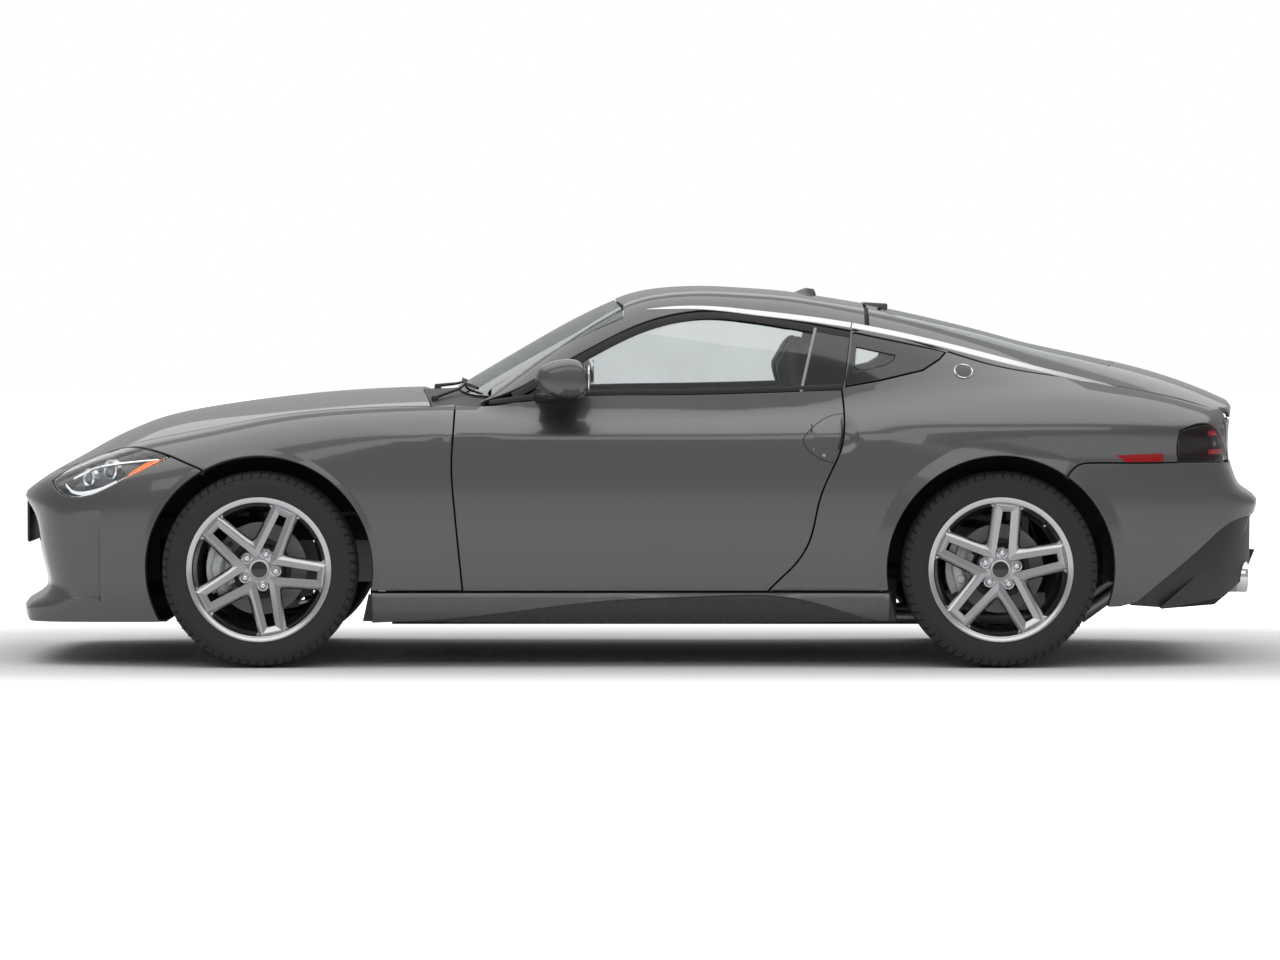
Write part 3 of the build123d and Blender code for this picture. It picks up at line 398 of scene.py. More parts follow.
@dataclass(frozen=True)
class Run:
    """One stretch of an outline, drawn in the flat map of a chart."""

    chart: Chart
    points: Sequence[Pair]
    smooth: bool = True

    def sampled(self, step: float) -> Array:
        """Places along the stretch, about a step apart.

        Args:
            step: about how far apart they are, in millimetres.

        Returns:
            The places, one to a row.
        """
        p = np.array(self.points, float)
        reach = np.concatenate(([0], np.cumsum(np.hypot(*np.diff(p, axis=0).T))))
        count = max(2, int(reach[-1] / step) + 1)
        at = np.linspace(0, reach[-1], count)
        if self.smooth and len(p) > 2:
            return np.stack([Spline(*zip(reach, p[:, k]))(at) for k in (0, 1)], 1)
        at = np.unique(np.concatenate((at, reach)))
        return np.stack([np.interp(at, reach, p[:, k]) for k in (0, 1)], 1)


def arc(chart: Chart, centre: Pair, radius: float, start: float, stop: float) -> Run:
    """A round stretch, by its angles in degrees."""
    angles = np.radians(np.linspace(start, stop, 25))
    return Run(chart, [(centre[0] + radius * math.cos(t), centre[1] + radius * math.sin(t)) for t in angles])


def inside(points: Array, loops: Sequence[Array]) -> Array:
    """Which points lie inside the loops, by how many edges lie to their right.

    Args:
        points: flat places.
        loops: closed flat loops.

    Returns:
        True for each place inside.
    """
    count = np.zeros(len(points), int)
    for loop in loops:
        nxt = np.roll(loop, -1, 0)
        for (x0, y0), (x1, y1) in zip(loop, nxt):
            if y0 == y1:
                continue
            hit = (points[:, 1] > min(y0, y1)) & (points[:, 1] <= max(y0, y1))
            cut = x0 + (points[:, 1] - y0) * (x1 - x0) / (y1 - y0)
            count += hit & (cut > points[:, 0])
    return count % 2 == 1


def inset(loop: Array, amount: float) -> Array:
    """A closed loop moved to its inside by an amount.

    Args:
        loop: its corners in order.
        amount: how far inward, in millimetres.

    Returns:
        The moved loop.
    """
    ahead, behind = np.roll(loop, -1, 0) - loop, loop - np.roll(loop, 1, 0)
    area = np.sum(loop[:, 0] * np.roll(loop[:, 1], -1) - np.roll(loop[:, 0], -1) * loop[:, 1])
    sign = 1.0 if area > 0 else -1.0
    sides = []
    for way in (ahead, behind):
        way = way / np.maximum(np.linalg.norm(way, axis=1, keepdims=True), 1e-9)
        sides.append(np.stack((-way[:, 1], way[:, 0]), 1) * sign)
    middle = sides[0] + sides[1]
    size = np.maximum(np.sum(middle * sides[0], 1, keepdims=True), 0.45)
    return loop + middle / size * amount


@dataclass
class Skin:
    """Points, faces and normals of one shell, in millimetres."""

    points: Array
    faces: list[tuple[int, ...]]
    normals: Array

    def mirrored(self) -> "Skin":
        """The same shell on the other side of the car."""
        flip = np.array((1, -1, 1))
        return Skin(self.points * flip, [f[::-1] for f in self.faces], self.normals * flip)

    def joined(self, other: "Skin") -> "Skin":
        """This shell with another one beside it.

        Args:
            other: the shell to add.

        Returns:
            One shell of both.
        """
        n = len(self.points)
        faces = self.faces + [tuple(i + n for i in f) for f in other.faces]
        return Skin(np.vstack((self.points, other.points)), faces, np.vstack((self.normals, other.normals)))

    def object(self, name: str) -> Item:
        """A Blender mesh object of the shell, in metres.

        Args:
            name: the object's name.

        Returns:
            The object.
        """
        mesh = bpy.data.meshes.new(name)
        mesh.from_pydata((self.points * MM).tolist(), [], self.faces)
        mesh.shade_smooth()
        mesh.normals_split_custom_set_from_vertices(self.normals.tolist())
        item = bpy.data.objects.new(name, mesh)
        bpy.context.scene.collection.objects.link(item)
        return item


@dataclass
class Panel:
    """One pressed panel: its outline on the form, thickness, rolled edge and half gap."""

    outline: Sequence[Run]
    chart: Chart
    thickness: float = 12.0
    gap: float = 2.4
    roll: float = 2.6
    grid: float = 20.0
    depth: float = 0.0
    both_sides: bool = False
    holes: Sequence[Sequence[Run]] = ()
    features: Sequence[Run] = ()

    def loop(self, form: BodyForm, runs: Sequence[Run], amount: float) -> Array:
        """A closed flat loop of the runs, moved in by an amount.

        Args:
            form: the body's field.
            runs: the stretches in order.
            amount: how far inward, in millimetres.

        Returns:
            The loop on the panel's map.
        """
        rows = []
        for run in runs:
            flat = run.sampled(OUTLINE_STEP)
            rows.append(self.chart.flatten(run.chart.lift(form, flat))[:-1])
        loop = np.vstack(rows)
        if self.both_sides and tuple(runs[0].points[0]) != tuple(runs[-1].points[-1]):
            axis = 1 if self.chart.rays is Rays.TOP else 0
            last = self.chart.flatten(runs[-1].chart.lift(form, runs[-1].sampled(OUTLINE_STEP)))[-1:]
            loop = np.vstack((loop, last))
            loop = self.reflected(loop, axis)
        keep = np.linalg.norm(loop - np.roll(loop, 1, 0), axis=1) > 1.5
        return inset(loop[keep], amount)

    def reflected(self, loop: Array, axis: int) -> Array:
        """The loop continued by its image across the middle of the car.

        Args:
            loop: the half loop.
            axis: which of the two flat numbers changes sign, unless the map is rolled.

        Returns:
            The whole loop.
        """
        if self.chart.rays is Rays.ROLL:
            other = loop * (1, -1) + (0, math.pi * self.chart.radius)
        else:
            other = loop * ((1, -1) if axis else (-1, 1))
        return np.vstack((loop, other[::-1][1:-1]))

    def skin(self, form: BodyForm) -> Skin:
        """The closed shell of the panel.

        Args:
            form: the body's field.

        Returns:
            The shell.
        """
        edge = self.gap + self.roll
        loops = [self.loop(form, self.outline, edge)]
        loops += [self.loop(form, hole, -edge) for hole in self.holes]
        low, high = loops[0].min(0), loops[0].max(0)
        xs = np.arange(low[0] + self.grid / 2, high[0], self.grid)
        ys = np.arange(low[1] + self.grid / 2, high[1], self.grid * ROW_PITCH)
        gx, gy = np.meshgrid(xs, ys)
        gx[1::2] += self.grid / 2
        inner = np.stack((gx.ravel(), gy.ravel()), 1)
        rows = [self.chart.flatten(r.chart.lift(form, r.sampled(OUTLINE_STEP))) for r in self.features]
        if self.both_sides:
            rows += [row * ((-1, 1) if self.chart.rays is not Rays.TOP else (1, -1)) for row in rows]
        if rows:
            lines = np.vstack(rows)
            lines = lines[inside(lines, loops)]
            inner = inner[self.clear(inner, lines, self.grid * LINE_CLEARANCE)]
            inner = np.vstack((inner, lines[self.clear(lines, np.vstack(loops), LINE_END_GAP)]))
        inner = inner[inside(inner, loops)]
        inner = inner[self.clear(inner, np.vstack(loops), self.grid * EDGE_CLEARANCE) | self.near_lines(inner, rows)]
        places = np.vstack(loops + [inner])
        edges, start = [], 0
        for loop in loops:
            n = len(loop)
            edges += [(start + i, start + (i + 1) % n) for i in range(n)]
            start += n
        flat, _, faces, origin, _, _ = delaunay_2d_cdt([Vector(p) for p in places.tolist()], edges, [], 0, 1e-5)
        flat = np.array([tuple(v) for v in flat])
        tris = np.array([f for f in faces if len(f) == 3])
        tris = tris[inside(flat[tris].mean(1), loops)]
        points = self.chart.lift(form, flat, self.depth)
        normals = form.normals(points)
        a, b, c = (points[tris[:, k]] for k in range(3))
        facing = np.sum(np.cross(b - a, c - a) * normals[tris[:, 0]], 1)
        tris[facing < 0] = tris[facing < 0][:, ::-1]
        index = {old[0]: new for new, old in enumerate(origin) if old}
        rings, start = [], 0
        for loop in loops:
            rings.append([index[start + i] for i in range(len(loop)) if start + i in index])
            start += len(loop)
        return self.closed(points, normals, tris, rings)

    @staticmethod
    def clear(points: Array, others: Array, distance: float) -> Array:
        """Which points are further than a distance from all the others.

        Args:
            points: the places to test.
            others: the places to stay clear of.
            distance: the least gap.

        Returns:
            True for each place that is clear.
        """
        far = np.ones(len(points), bool)
        for chunk in np.array_split(np.arange(len(points)), max(1, len(points) // 800)):
            if len(chunk):
                gaps = points[chunk][:, None, :] - others[None, :, :]
                far[chunk] = np.min(np.sum(gaps * gaps, 2), 1) > distance**2
        return far

    def near_lines(self, points: Array, rows: Sequence[Array]) -> Array:
        """Which points belong to the feature lines.

        Args:
            points: the places to test.
            rows: the lines' places.

        Returns:
            True for each place on a line.
        """
        if not len(rows):
            return np.zeros(len(points), bool)
        return ~self.clear(points, np.vstack(rows), 0.01)

    def closed(self, points: Array, normals: Array, tris: Array, rings: Sequence[Sequence[int]]) -> Skin:
        """Adds the rolled edges, the flange and the inner face.

        Args:
            points: the outer face's points.
            normals: their normals.
            tris: the outer face's triangles.
            rings: the point numbers along each edge.

        Returns:
            The closed shell.
        """
        outer = len(points)
        faces = [tuple(int(i) for i in t) for t in tris]
        all_points, all_normals = [points], [normals]
        inner_points = points - normals * (self.thickness - self.roll)
        total = outer
        stacks = []
        border = {(t[i], t[(i + 1) % 3]) for t in tris for i in range(3)}
        for ring in rings:
            ring = np.array(ring)
            if (ring[0], ring[1]) not in border:
                ring = ring[::-1]
            p, n = points[ring], normals[ring]
            along = np.roll(p, -1, 0) - np.roll(p, 1, 0)
            out = np.cross(along, n)
            out /= np.maximum(np.linalg.norm(out, axis=1, keepdims=True), 1e-9)
            levels = [ring]
            for degrees in ROLL_TURNS:
                t = math.radians(degrees)
                all_points.append(p + out * self.roll * math.sin(t) - n * self.roll * (1 - math.cos(t)))
                all_normals.append(n * math.cos(t) + out * math.sin(t))
                levels.append(np.arange(total, total + len(ring)))
                total += len(ring)
            all_points.append(p + out * self.roll - n * self.thickness)
            all_normals.append(out)
            levels.append(np.arange(total, total + len(ring)))
            total += len(ring)
            stacks.append(levels)
            for upper, lower in zip(levels, levels[1:]):
                for i in range(len(ring)):
                    j = (i + 1) % len(ring)
                    faces.append((int(upper[j]), int(upper[i]), int(lower[i]), int(lower[j])))
        base = total
        all_points.append(inner_points - normals * self.roll)
        all_normals.append(-normals)
        faces += [tuple(int(i) + base for i in t[::-1]) for t in tris]
        for levels in stacks:
            ring, last = levels[0] + base, levels[-1]
            for i in range(len(ring)):
                j = (i + 1) % len(ring)
                faces.append((int(last[j]), int(last[i]), int(ring[i]), int(ring[j])))
        return Skin(np.vstack(all_points), faces, np.vstack(all_normals))


def patch(points: Sequence[Pair], gap: float, roll: float, thickness: float, depth: float, grid: float) -> Panel:
    """A small panel in the side view, its outline made of straight lines."""
    return Panel((Run(SIDE, points, False),), SIDE, thickness, gap, roll, grid, depth)


# ---------------------------------------------------------------- finishes


Colour = tuple[float, float, float]


def node_group(name: str, inputs: Sequence[tuple[str, str, object]], outputs: Sequence[tuple[str, str]]) -> Tree:
    """An empty shader node group with its sockets.

    Args:
        name: the group's name.
        inputs: (name, socket type, default) of each input.
        outputs: (name, socket type) of each output.

    Returns:
        The group, with nodes named IN and OUT.
    """
    group = bpy.data.node_groups.new(name, "ShaderNodeTree")
    for label, kind, value in inputs:
        group.interface.new_socket(label, in_out="INPUT", socket_type=kind).default_value = value
    for label, kind in outputs:
        group.interface.new_socket(label, in_out="OUTPUT", socket_type=kind)
    group.nodes.new("NodeGroupInput").name = "IN"
    group.nodes.new("NodeGroupOutput").name = "OUT"
    return group


def noise(tree: Tree, vector: Socket, scale: object, detail: float = 3.0) -> Node:
    """A noise texture fed by a vector, at a scale that is a number or a socket.

    Args:
        tree: the node tree.
        vector: the place's socket.
        scale: a number or a socket.
        detail: how many finer layers it has.

    Returns:
        The texture node.
    """
    node = tree.nodes.new("ShaderNodeTexNoise")
    node.inputs["Detail"].default_value = detail
    tree.links.new(vector, node.inputs["Vector"])
    if isinstance(scale, Socket):
        tree.links.new(scale, node.inputs["Scale"])
    else:
        node.inputs["Scale"].default_value = scale
    return node


def sums(tree: Tree, operation: str, *values: object) -> Socket:
    """The result of one Math node on numbers or sockets.

    Args:
        tree: the node tree.
        operation: the Math node's operation.
        values: numbers or sockets.

    Returns:
        The result's socket.
    """
    node = tree.nodes.new("ShaderNodeMath")
    node.operation = operation
    for place, value in enumerate(values):
        if isinstance(value, Socket):
            tree.links.new(value, node.inputs[place])
        else:
            node.inputs[place].default_value = value
    return node.outputs[0]


def blended(tree: Tree, share: object, first: object, second: object) -> Socket:
    """A colour mixed from two colours or sockets by a share.

    Args:
        tree: the node tree.
        share: 0 for the first colour, 1 for the second.
        first: a colour or a socket.
        second: a colour or a socket.

    Returns:
        The colour's socket.
    """
    node = tree.nodes.new("ShaderNodeMix")
    node.data_type = "RGBA"
    for place, value in ((0, share), (6, first), (7, second)):
        if isinstance(value, Socket):
            tree.links.new(value, node.inputs[place])
        else:
            node.inputs[place].default_value = value if place == 0 else (*value, 1.0)
    return node.outputs[2]


def wear_group() -> Tree:
    """The group that breaks up a plain finish: slow colour drift, fine grain and dust low down.

    Returns:
        The group.
    """
    found = bpy.data.node_groups.get("surface_wear")
    if found:
        return found
    group = node_group(
        "surface_wear",
        (
            ("Colour", "NodeSocketColor", (0.5, 0.5, 0.5, 1)), ("Drift", "NodeSocketFloat", 0.1),
            ("Roughness", "NodeSocketFloat", 0.5), ("Spread", "NodeSocketFloat", 0.08),
            ("Grain Scale", "NodeSocketFloat", 400.0), ("Dust", "NodeSocketFloat", 0.0),
        ),
        (("Colour", "NodeSocketColor"), ("Roughness", "NodeSocketFloat"), ("Height", "NodeSocketFloat")),
    )
    nodes, links = group.nodes, group.links
    given, out = nodes["IN"], nodes["OUT"]
    place = nodes.new("ShaderNodeTexCoord").outputs["Object"]
    slow = noise(group, place, 3.1).outputs["Fac"]
    fine = noise(group, place, given.outputs["Grain Scale"], 2.0).outputs["Fac"]
    shade = sums(group, "MULTIPLY_ADD", sums(group, "SUBTRACT", slow, 0.5), given.outputs["Drift"], 1.0)
    tinted = nodes.new("ShaderNodeVectorMath")
    tinted.operation = "SCALE"
    links.new(given.outputs["Colour"], tinted.inputs[0])
    links.new(shade, tinted.inputs["Scale"])
    split = nodes.new("ShaderNodeSeparateXYZ")
    links.new(place, split.inputs[0])
    low = nodes.new("ShaderNodeMapRange")
    for socket, value in zip(low.inputs[1:5], (*DUST_HEIGHTS, 0.0, 1.0)):
        socket.default_value = value
    links.new(split.outputs["Z"], low.inputs[0])
    speckle = sums(group, "MULTIPLY", noise(group, place, 60.0, 5.0).outputs["Fac"], given.outputs["Dust"])
    dust = sums(group, "MULTIPLY", low.outputs[0], speckle)
    links.new(blended(group, dust, tinted.outputs[0], DUST_COLOUR), out.inputs["Colour"])
    uneven = sums(group, "SUBTRACT", fine, 0.5)
    rough = sums(group, "MULTIPLY_ADD", uneven, given.outputs["Spread"], given.outputs["Roughness"])
    links.new(sums(group, "ADD", rough, sums(group, "MULTIPLY", dust, 0.5)), out.inputs["Roughness"])
    links.new(fine, out.inputs["Height"])
    return group


@dataclass(frozen=True)
class Finish:
    """A moulded, painted or cast finish, with its colour drift, grain and dust."""

    name: str
    colour: Colour
    roughness: float
    metallic: float = 0.0
    drift: float = 0.12
    spread: float = 0.10
    grain: float = 500.0
    bump: float = 0.0
    dust: float = 0.0
    coat: float = 0.0
    coat_roughness: float = 0.03
    specular: float = 0.5
    sheen: float = 0.0
    glow: float = 0.0

    def material(self) -> Material:
        """The material, made once."""
        found = bpy.data.materials.get(self.name)
        return found if found else self.build()

    def build(self) -> Material:
        """Makes the material from the wear group.

        Returns:
            The material.
        """
        material, shader, tree = self.start()
        wear = tree.nodes.new("ShaderNodeGroup")
        wear.node_tree = wear_group()
        for label, value in (
            ("Colour", (*self.colour, 1.0)), ("Drift", self.drift), ("Roughness", self.roughness),
            ("Spread", self.spread), ("Grain Scale", self.grain), ("Dust", self.dust),
        ):
            wear.inputs[label].default_value = value
        self.link(tree, shader, wear.outputs["Colour"], wear.outputs["Roughness"], wear.outputs["Height"])
        return material

    def start(self) -> tuple[Material, Node, Tree]:
        """A new material with this finish's constants on its shader.

        Returns:
            The material, its shader and its tree.
        """
        material = bpy.data.materials.new(self.name)
        material.use_nodes = True
        tree = material.node_tree
        shader = tree.nodes["Principled BSDF"]
        for label, value in (
            ("Metallic", self.metallic), ("Coat Weight", self.coat), ("Coat Roughness", self.coat_roughness),
            ("Specular IOR Level", self.specular), ("Sheen Weight", self.sheen),
        ):
            shader.inputs[label].default_value = value
        if self.glow:
            shader.inputs["Emission Color"].default_value = (*self.colour, 1.0)
            shader.inputs["Emission Strength"].default_value = self.glow
        return material, shader, tree

    def link(
        self, tree: Tree, shader: Node, colour: Socket,
        rough: Socket, height: Optional[Socket], depth: float = 0.0004,
    ) -> None:
        """Feeds the shader with a pattern.

        Args:
            tree: the material's tree.
            shader: its Principled BSDF.
            colour: the pattern's colour.
            rough: the pattern's roughness.
            height: the pattern's height, or None for a smooth surface.
            depth: the height's full depth, in metres.
        """
        tree.links.new(colour, shader.inputs["Base Color"])
        tree.links.new(rough, shader.inputs["Roughness"])
        if height is not None and self.bump:
            bump = tree.nodes.new("ShaderNodeBump")
            bump.inputs["Strength"].default_value = self.bump
            bump.inputs["Distance"].default_value = depth
            tree.links.new(height, bump.inputs["Height"])
            tree.links.new(bump.outputs[0], shader.inputs["Normal"])


@dataclass(frozen=True)
class MetallicPaint(Finish):
    """Clear-coated paint with fine flakes in it."""

    flake: Colour = (0.6, 0.6, 0.62)
    flake_scale: float = 2600.0

    def build(self) -> Material:
        """Makes the paint: flakes tilt the light under a smooth coat.

        Returns:
            The material.
        """
        material, shader, tree = self.start()
        place = tree.nodes.new("ShaderNodeTexCoord").outputs["Object"]
        cells = tree.nodes.new("ShaderNodeTexVoronoi")
        cells.inputs["Scale"].default_value = self.flake_scale
        tree.links.new(place, cells.inputs["Vector"])
        grey = tree.nodes.new("ShaderNodeRGBToBW")
        tree.links.new(cells.outputs["Color"], grey.inputs[0])
        share = sums(tree, "POWER", grey.outputs[0], 4.0)
        slow = noise(tree, place, 1.7).outputs["Fac"]
        colour = blended(tree, sums(tree, "MULTIPLY", share, 0.35), self.colour, self.flake)
        drift = sums(tree, "MULTIPLY_ADD", sums(tree, "SUBTRACT", slow, 0.5), self.drift, 1.0)
        tinted = tree.nodes.new("ShaderNodeVectorMath")
        tinted.operation = "SCALE"
        tree.links.new(colour, tinted.inputs[0])
        tree.links.new(drift, tinted.inputs["Scale"])
        rough = sums(tree, "MULTIPLY_ADD", grey.outputs[0], self.spread, self.roughness)
        self.link(tree, shader, tinted.outputs[0], rough, grey.outputs[0], 0.00004)
        return material


@dataclass(frozen=True)
class Glass(Finish):
    """Clear or tinted glass and clear lamp plastic."""

    clear: float = 1.0
    ior: float = 1.45

    def build(self) -> Material:
        """Makes the glass, a trace of dust on it.

        Returns:
            The material.
        """
        material, shader, tree = self.start()
        shader.inputs["Transmission Weight"].default_value = self.clear
        shader.inputs["IOR"].default_value = self.ior
        shader.inputs["Roughness"].default_value = self.roughness
        place = tree.nodes.new("ShaderNodeTexCoord").outputs["Object"]
        slow = noise(tree, place, 5.0).outputs["Fac"]
        darker = tuple(c * (1 - self.drift) for c in self.colour)
        tree.links.new(blended(tree, slow, self.colour, darker), shader.inputs["Base Color"])
        return material


class Palette:
    """Every finish of the car."""

    paint = MetallicPaint(
        "graphite_grey_paint", (0.104, 0.099, 0.099), 0.30, 0.72, 0.04, 0.14, bump=0.15, coat=1.0,
        flake=(0.34, 0.33, 0.33),
    )
    black_trim = Finish("black_moulded_trim", (0.018, 0.018, 0.019), 0.46, bump=0.35, grain=900.0, dust=0.2)
    gloss_black = Finish("gloss_black", (0.010, 0.010, 0.011), 0.10, spread=0.02, coat=0.8)
    rubber = Finish("seal_rubber", (0.012, 0.012, 0.012), 0.62, bump=0.3)
    window = Glass("tinted_window", (0.82, 0.85, 0.85), 0.0)
    screen = Glass("shaded_screen", (0.40, 0.43, 0.43), 0.0)
    lens = Glass("clear_lamp_lens", (0.93, 0.94, 0.95), 0.0, ior=1.30)
    smoked = Glass("smoked_lamp_lens", (0.34, 0.29, 0.31), 0.0, ior=1.30)
    red_lens = Finish("red_lamp_strip", (0.60, 0.012, 0.014), 0.18, coat=1.0, glow=0.9)
    day_glow = Finish("day_light_white", (0.86, 0.88, 0.90), 0.3, glow=0.35)
    lens_ball = Finish("projector_lens", (0.10, 0.12, 0.15), 0.03, 0.3, coat=1.0)
    # the glow is painted light: the amber reflector is no lamp
    amber = Finish("amber_reflector_painted_glow", (0.85, 0.17, 0.01), 0.3, specular=0.3, glow=0.4)
    red_reflector = Finish("red_reflector", (0.36, 0.006, 0.008), 0.25, specular=0.3)
    chrome = Finish("bright_chrome", (0.80, 0.80, 0.81), 0.07, 1.0, 0.03, 0.03)
    satin = Finish("satin_silver", (0.62, 0.63, 0.64), 0.26, 1.0, 0.05, 0.10)
    lamp_bowl = Finish("lamp_bowl_silver", (0.70, 0.71, 0.72), 0.16, 0.95, 0.05, 0.05)
    lamp_dark = Finish("lamp_housing_black", (0.012, 0.013, 0.015), 0.25)
    tyre = Finish("tyre_rubber", (0.0062, 0.0062, 0.0066), 0.72, bump=0.4, grain=260.0, dust=0.03, specular=0.14)
    alloy_face = Finish("machined_alloy", (0.60, 0.605, 0.61), 0.22, 1.0, 0.03, 0.03, 60.0)
    alloy_spoke = Finish("satin_alloy", (0.50, 0.503, 0.51), 0.20, 1.0, 0.03, 0.02, 60.0)
    # darker than the tyre rubber: painted shade in the cuts between tread blocks
    notch_shade = Finish("tyre_notch_shade", (0.004, 0.004, 0.004), 0.9)
    headliner = Finish("headliner_cloth", (0.055, 0.055, 0.057), 0.95, drift=0.2, grain=1300.0, bump=0.6, sheen=0.3)
    stitch = Finish("seat_stitching", (0.20, 0.20, 0.205), 0.8, bump=0.4)
    dial = Finish("dial_face", (0.012, 0.012, 0.013), 0.2, coat=1.0)
    # gunmetal darkened to near black: painted shade inside the wheel's barrel
    alloy_dark_shade = Finish("gunmetal_alloy_painted_shade", (0.030, 0.031, 0.033), 0.30, 0.5, coat=0.3)
    iron = Finish("brake_iron", (0.33, 0.33, 0.335), 0.34, 1.0, 0.2, 0.2, 800.0, 0.3)
    iron_dark = Finish("cast_hub", (0.10, 0.10, 0.10), 0.55, 0.7, 0.3, 0.1, 300.0, 0.5)
    caliper = Finish("caliper_silver", (0.50, 0.51, 0.52), 0.35, 0.8, 0.1, 0.1, 600.0, 0.3)
    chassis = Finish("chassis_black", (0.022, 0.022, 0.023), 0.55, 0.2, 0.3, 0.12, 200.0, 0.4, 0.6)
    cast = Finish("cast_aluminium", (0.42, 0.42, 0.43), 0.48, 0.9, 0.2, 0.16, 450.0, 0.5, 0.3)
    steel = Finish("exhaust_steel", (0.45, 0.44, 0.42), 0.30, 1.0, 0.2, 0.2, 300.0, 0.2, 0.3)
    radiator = Finish("radiator_alloy", (0.20, 0.20, 0.21), 0.5, 0.8, 0.2, 0.1, 900.0, 0.6)
    leather = Finish(
        "black_leather", (0.026, 0.025, 0.025), 0.44, drift=0.2, spread=0.14, grain=750.0, bump=0.55, sheen=0.1,
    )
    cabin = Finish("cabin_plastic", (0.030, 0.030, 0.031), 0.58, grain=1100.0, bump=0.5)
    cabin_grey = Finish("cabin_silver_trim", (0.30, 0.30, 0.31), 0.35, 0.6)
    carpet = Finish("black_carpet", (0.020, 0.020, 0.021), 0.95, drift=0.35, grain=1500.0, bump=1.0, sheen=0.25)
    liner = Finish("liner_plastic", (0.020, 0.020, 0.020), 0.66, grain=350.0, bump=0.6, dust=0.6)
    plate = Finish("blank_plate", (0.62, 0.63, 0.62), 0.4, drift=0.05)


NODE_FINISHES: dict[str, Finish] = {
    "radiator": Palette.radiator, "cargo_floor": Palette.carpet, "wheel_liners": Palette.liner,
    "floor_pan": Palette.chassis, "firewall": Palette.chassis, "front_frame": Palette.chassis,
    "engine": Palette.cast, "driveline": Palette.chassis, "exhaust": Palette.steel, "fuel_tank": Palette.liner,
    "dashboard": Palette.cabin, "steering_wheel": Palette.leather, "seats": Palette.leather,
    "front_suspension": Palette.cast, "rear_suspension": Palette.cast, "diffuser": Palette.black_trim,
    "grille": Palette.gloss_black, "knuckle_left": Palette.caliper, "knuckle_right": Palette.caliper,
}


def put(
    item: Item, body: str, finishes: Sequence[Finish], nodes: Sequence[str] = (),
) -> Item:
    """Finishes a piece: its materials, the body it rides on and the nodes it stands for.

    Args:
        item: the piece, its place in its mesh.
        body: the body it rides on.
        finishes: its finishes, in the order of its mesh's material numbers.
        nodes: the CAD nodes that it replaces.

    Returns:
        The piece.
    """
    faces = item.data.polygons
    marks = np.zeros(len(faces), np.int32)
    faces.foreach_get("material_index", marks)
    item.data.materials.clear()
    for finish in finishes:
        item.data.materials.append(finish.material())
    faces.foreach_set("material_index", np.minimum(marks, len(finishes) - 1))
    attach(item, body)
    if nodes:
        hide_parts(*nodes)
    LOG.info("%s: %d faces on %s", item.name, len(item.data.polygons), body)
    return item


def on_doors(
    source: "Skin | Shape", name: str, slot: str, finishes: Sequence[Finish], node: str = "", **style: float,
) -> None:
    """Puts a piece on the right door and its image on the left one.

    Args:
        source: the piece at plus Y.
        name: the pieces' name, to which the side is added.
        slot: not used.
        finishes: their finishes, by material number.
        node: the CAD node that they replace, without its side.
        style: what else the source's object method is given.
    """
    for side, flip in SIDES:
        mine = source.mirrored() if flip > 0 else source
        nodes = (f"{node}_{side}",) if node else ()
        put(mine.object(f"{name}_{side}", **style), f"door_body_{side}", finishes, nodes)


# ---------------------------------------------------------------- shapes put together one by one


def unit(v: Sequence[float]) -> Array:
    """The vector at length 1."""
    v = np.asarray(v, float)
    return v / max(float(np.linalg.norm(v)), 1e-12)


def frame_of(axis: Sequence[float], up: Sequence[float] = (0, 0, 1)) -> tuple[Array, Array, Array]:
    """Three square directions: sideways, upward and along the axis.

    Args:
        axis: the direction.
        up: the direction that is square to sideways.

    Returns:
        The three directions, each at length 1.
    """
    along = unit(axis)
    side = np.cross(up, along)
    if np.linalg.norm(side) < 1e-6:
        side = np.cross((1, 0, 0), along)
    side = unit(side)
    return side, np.cross(along, side), along


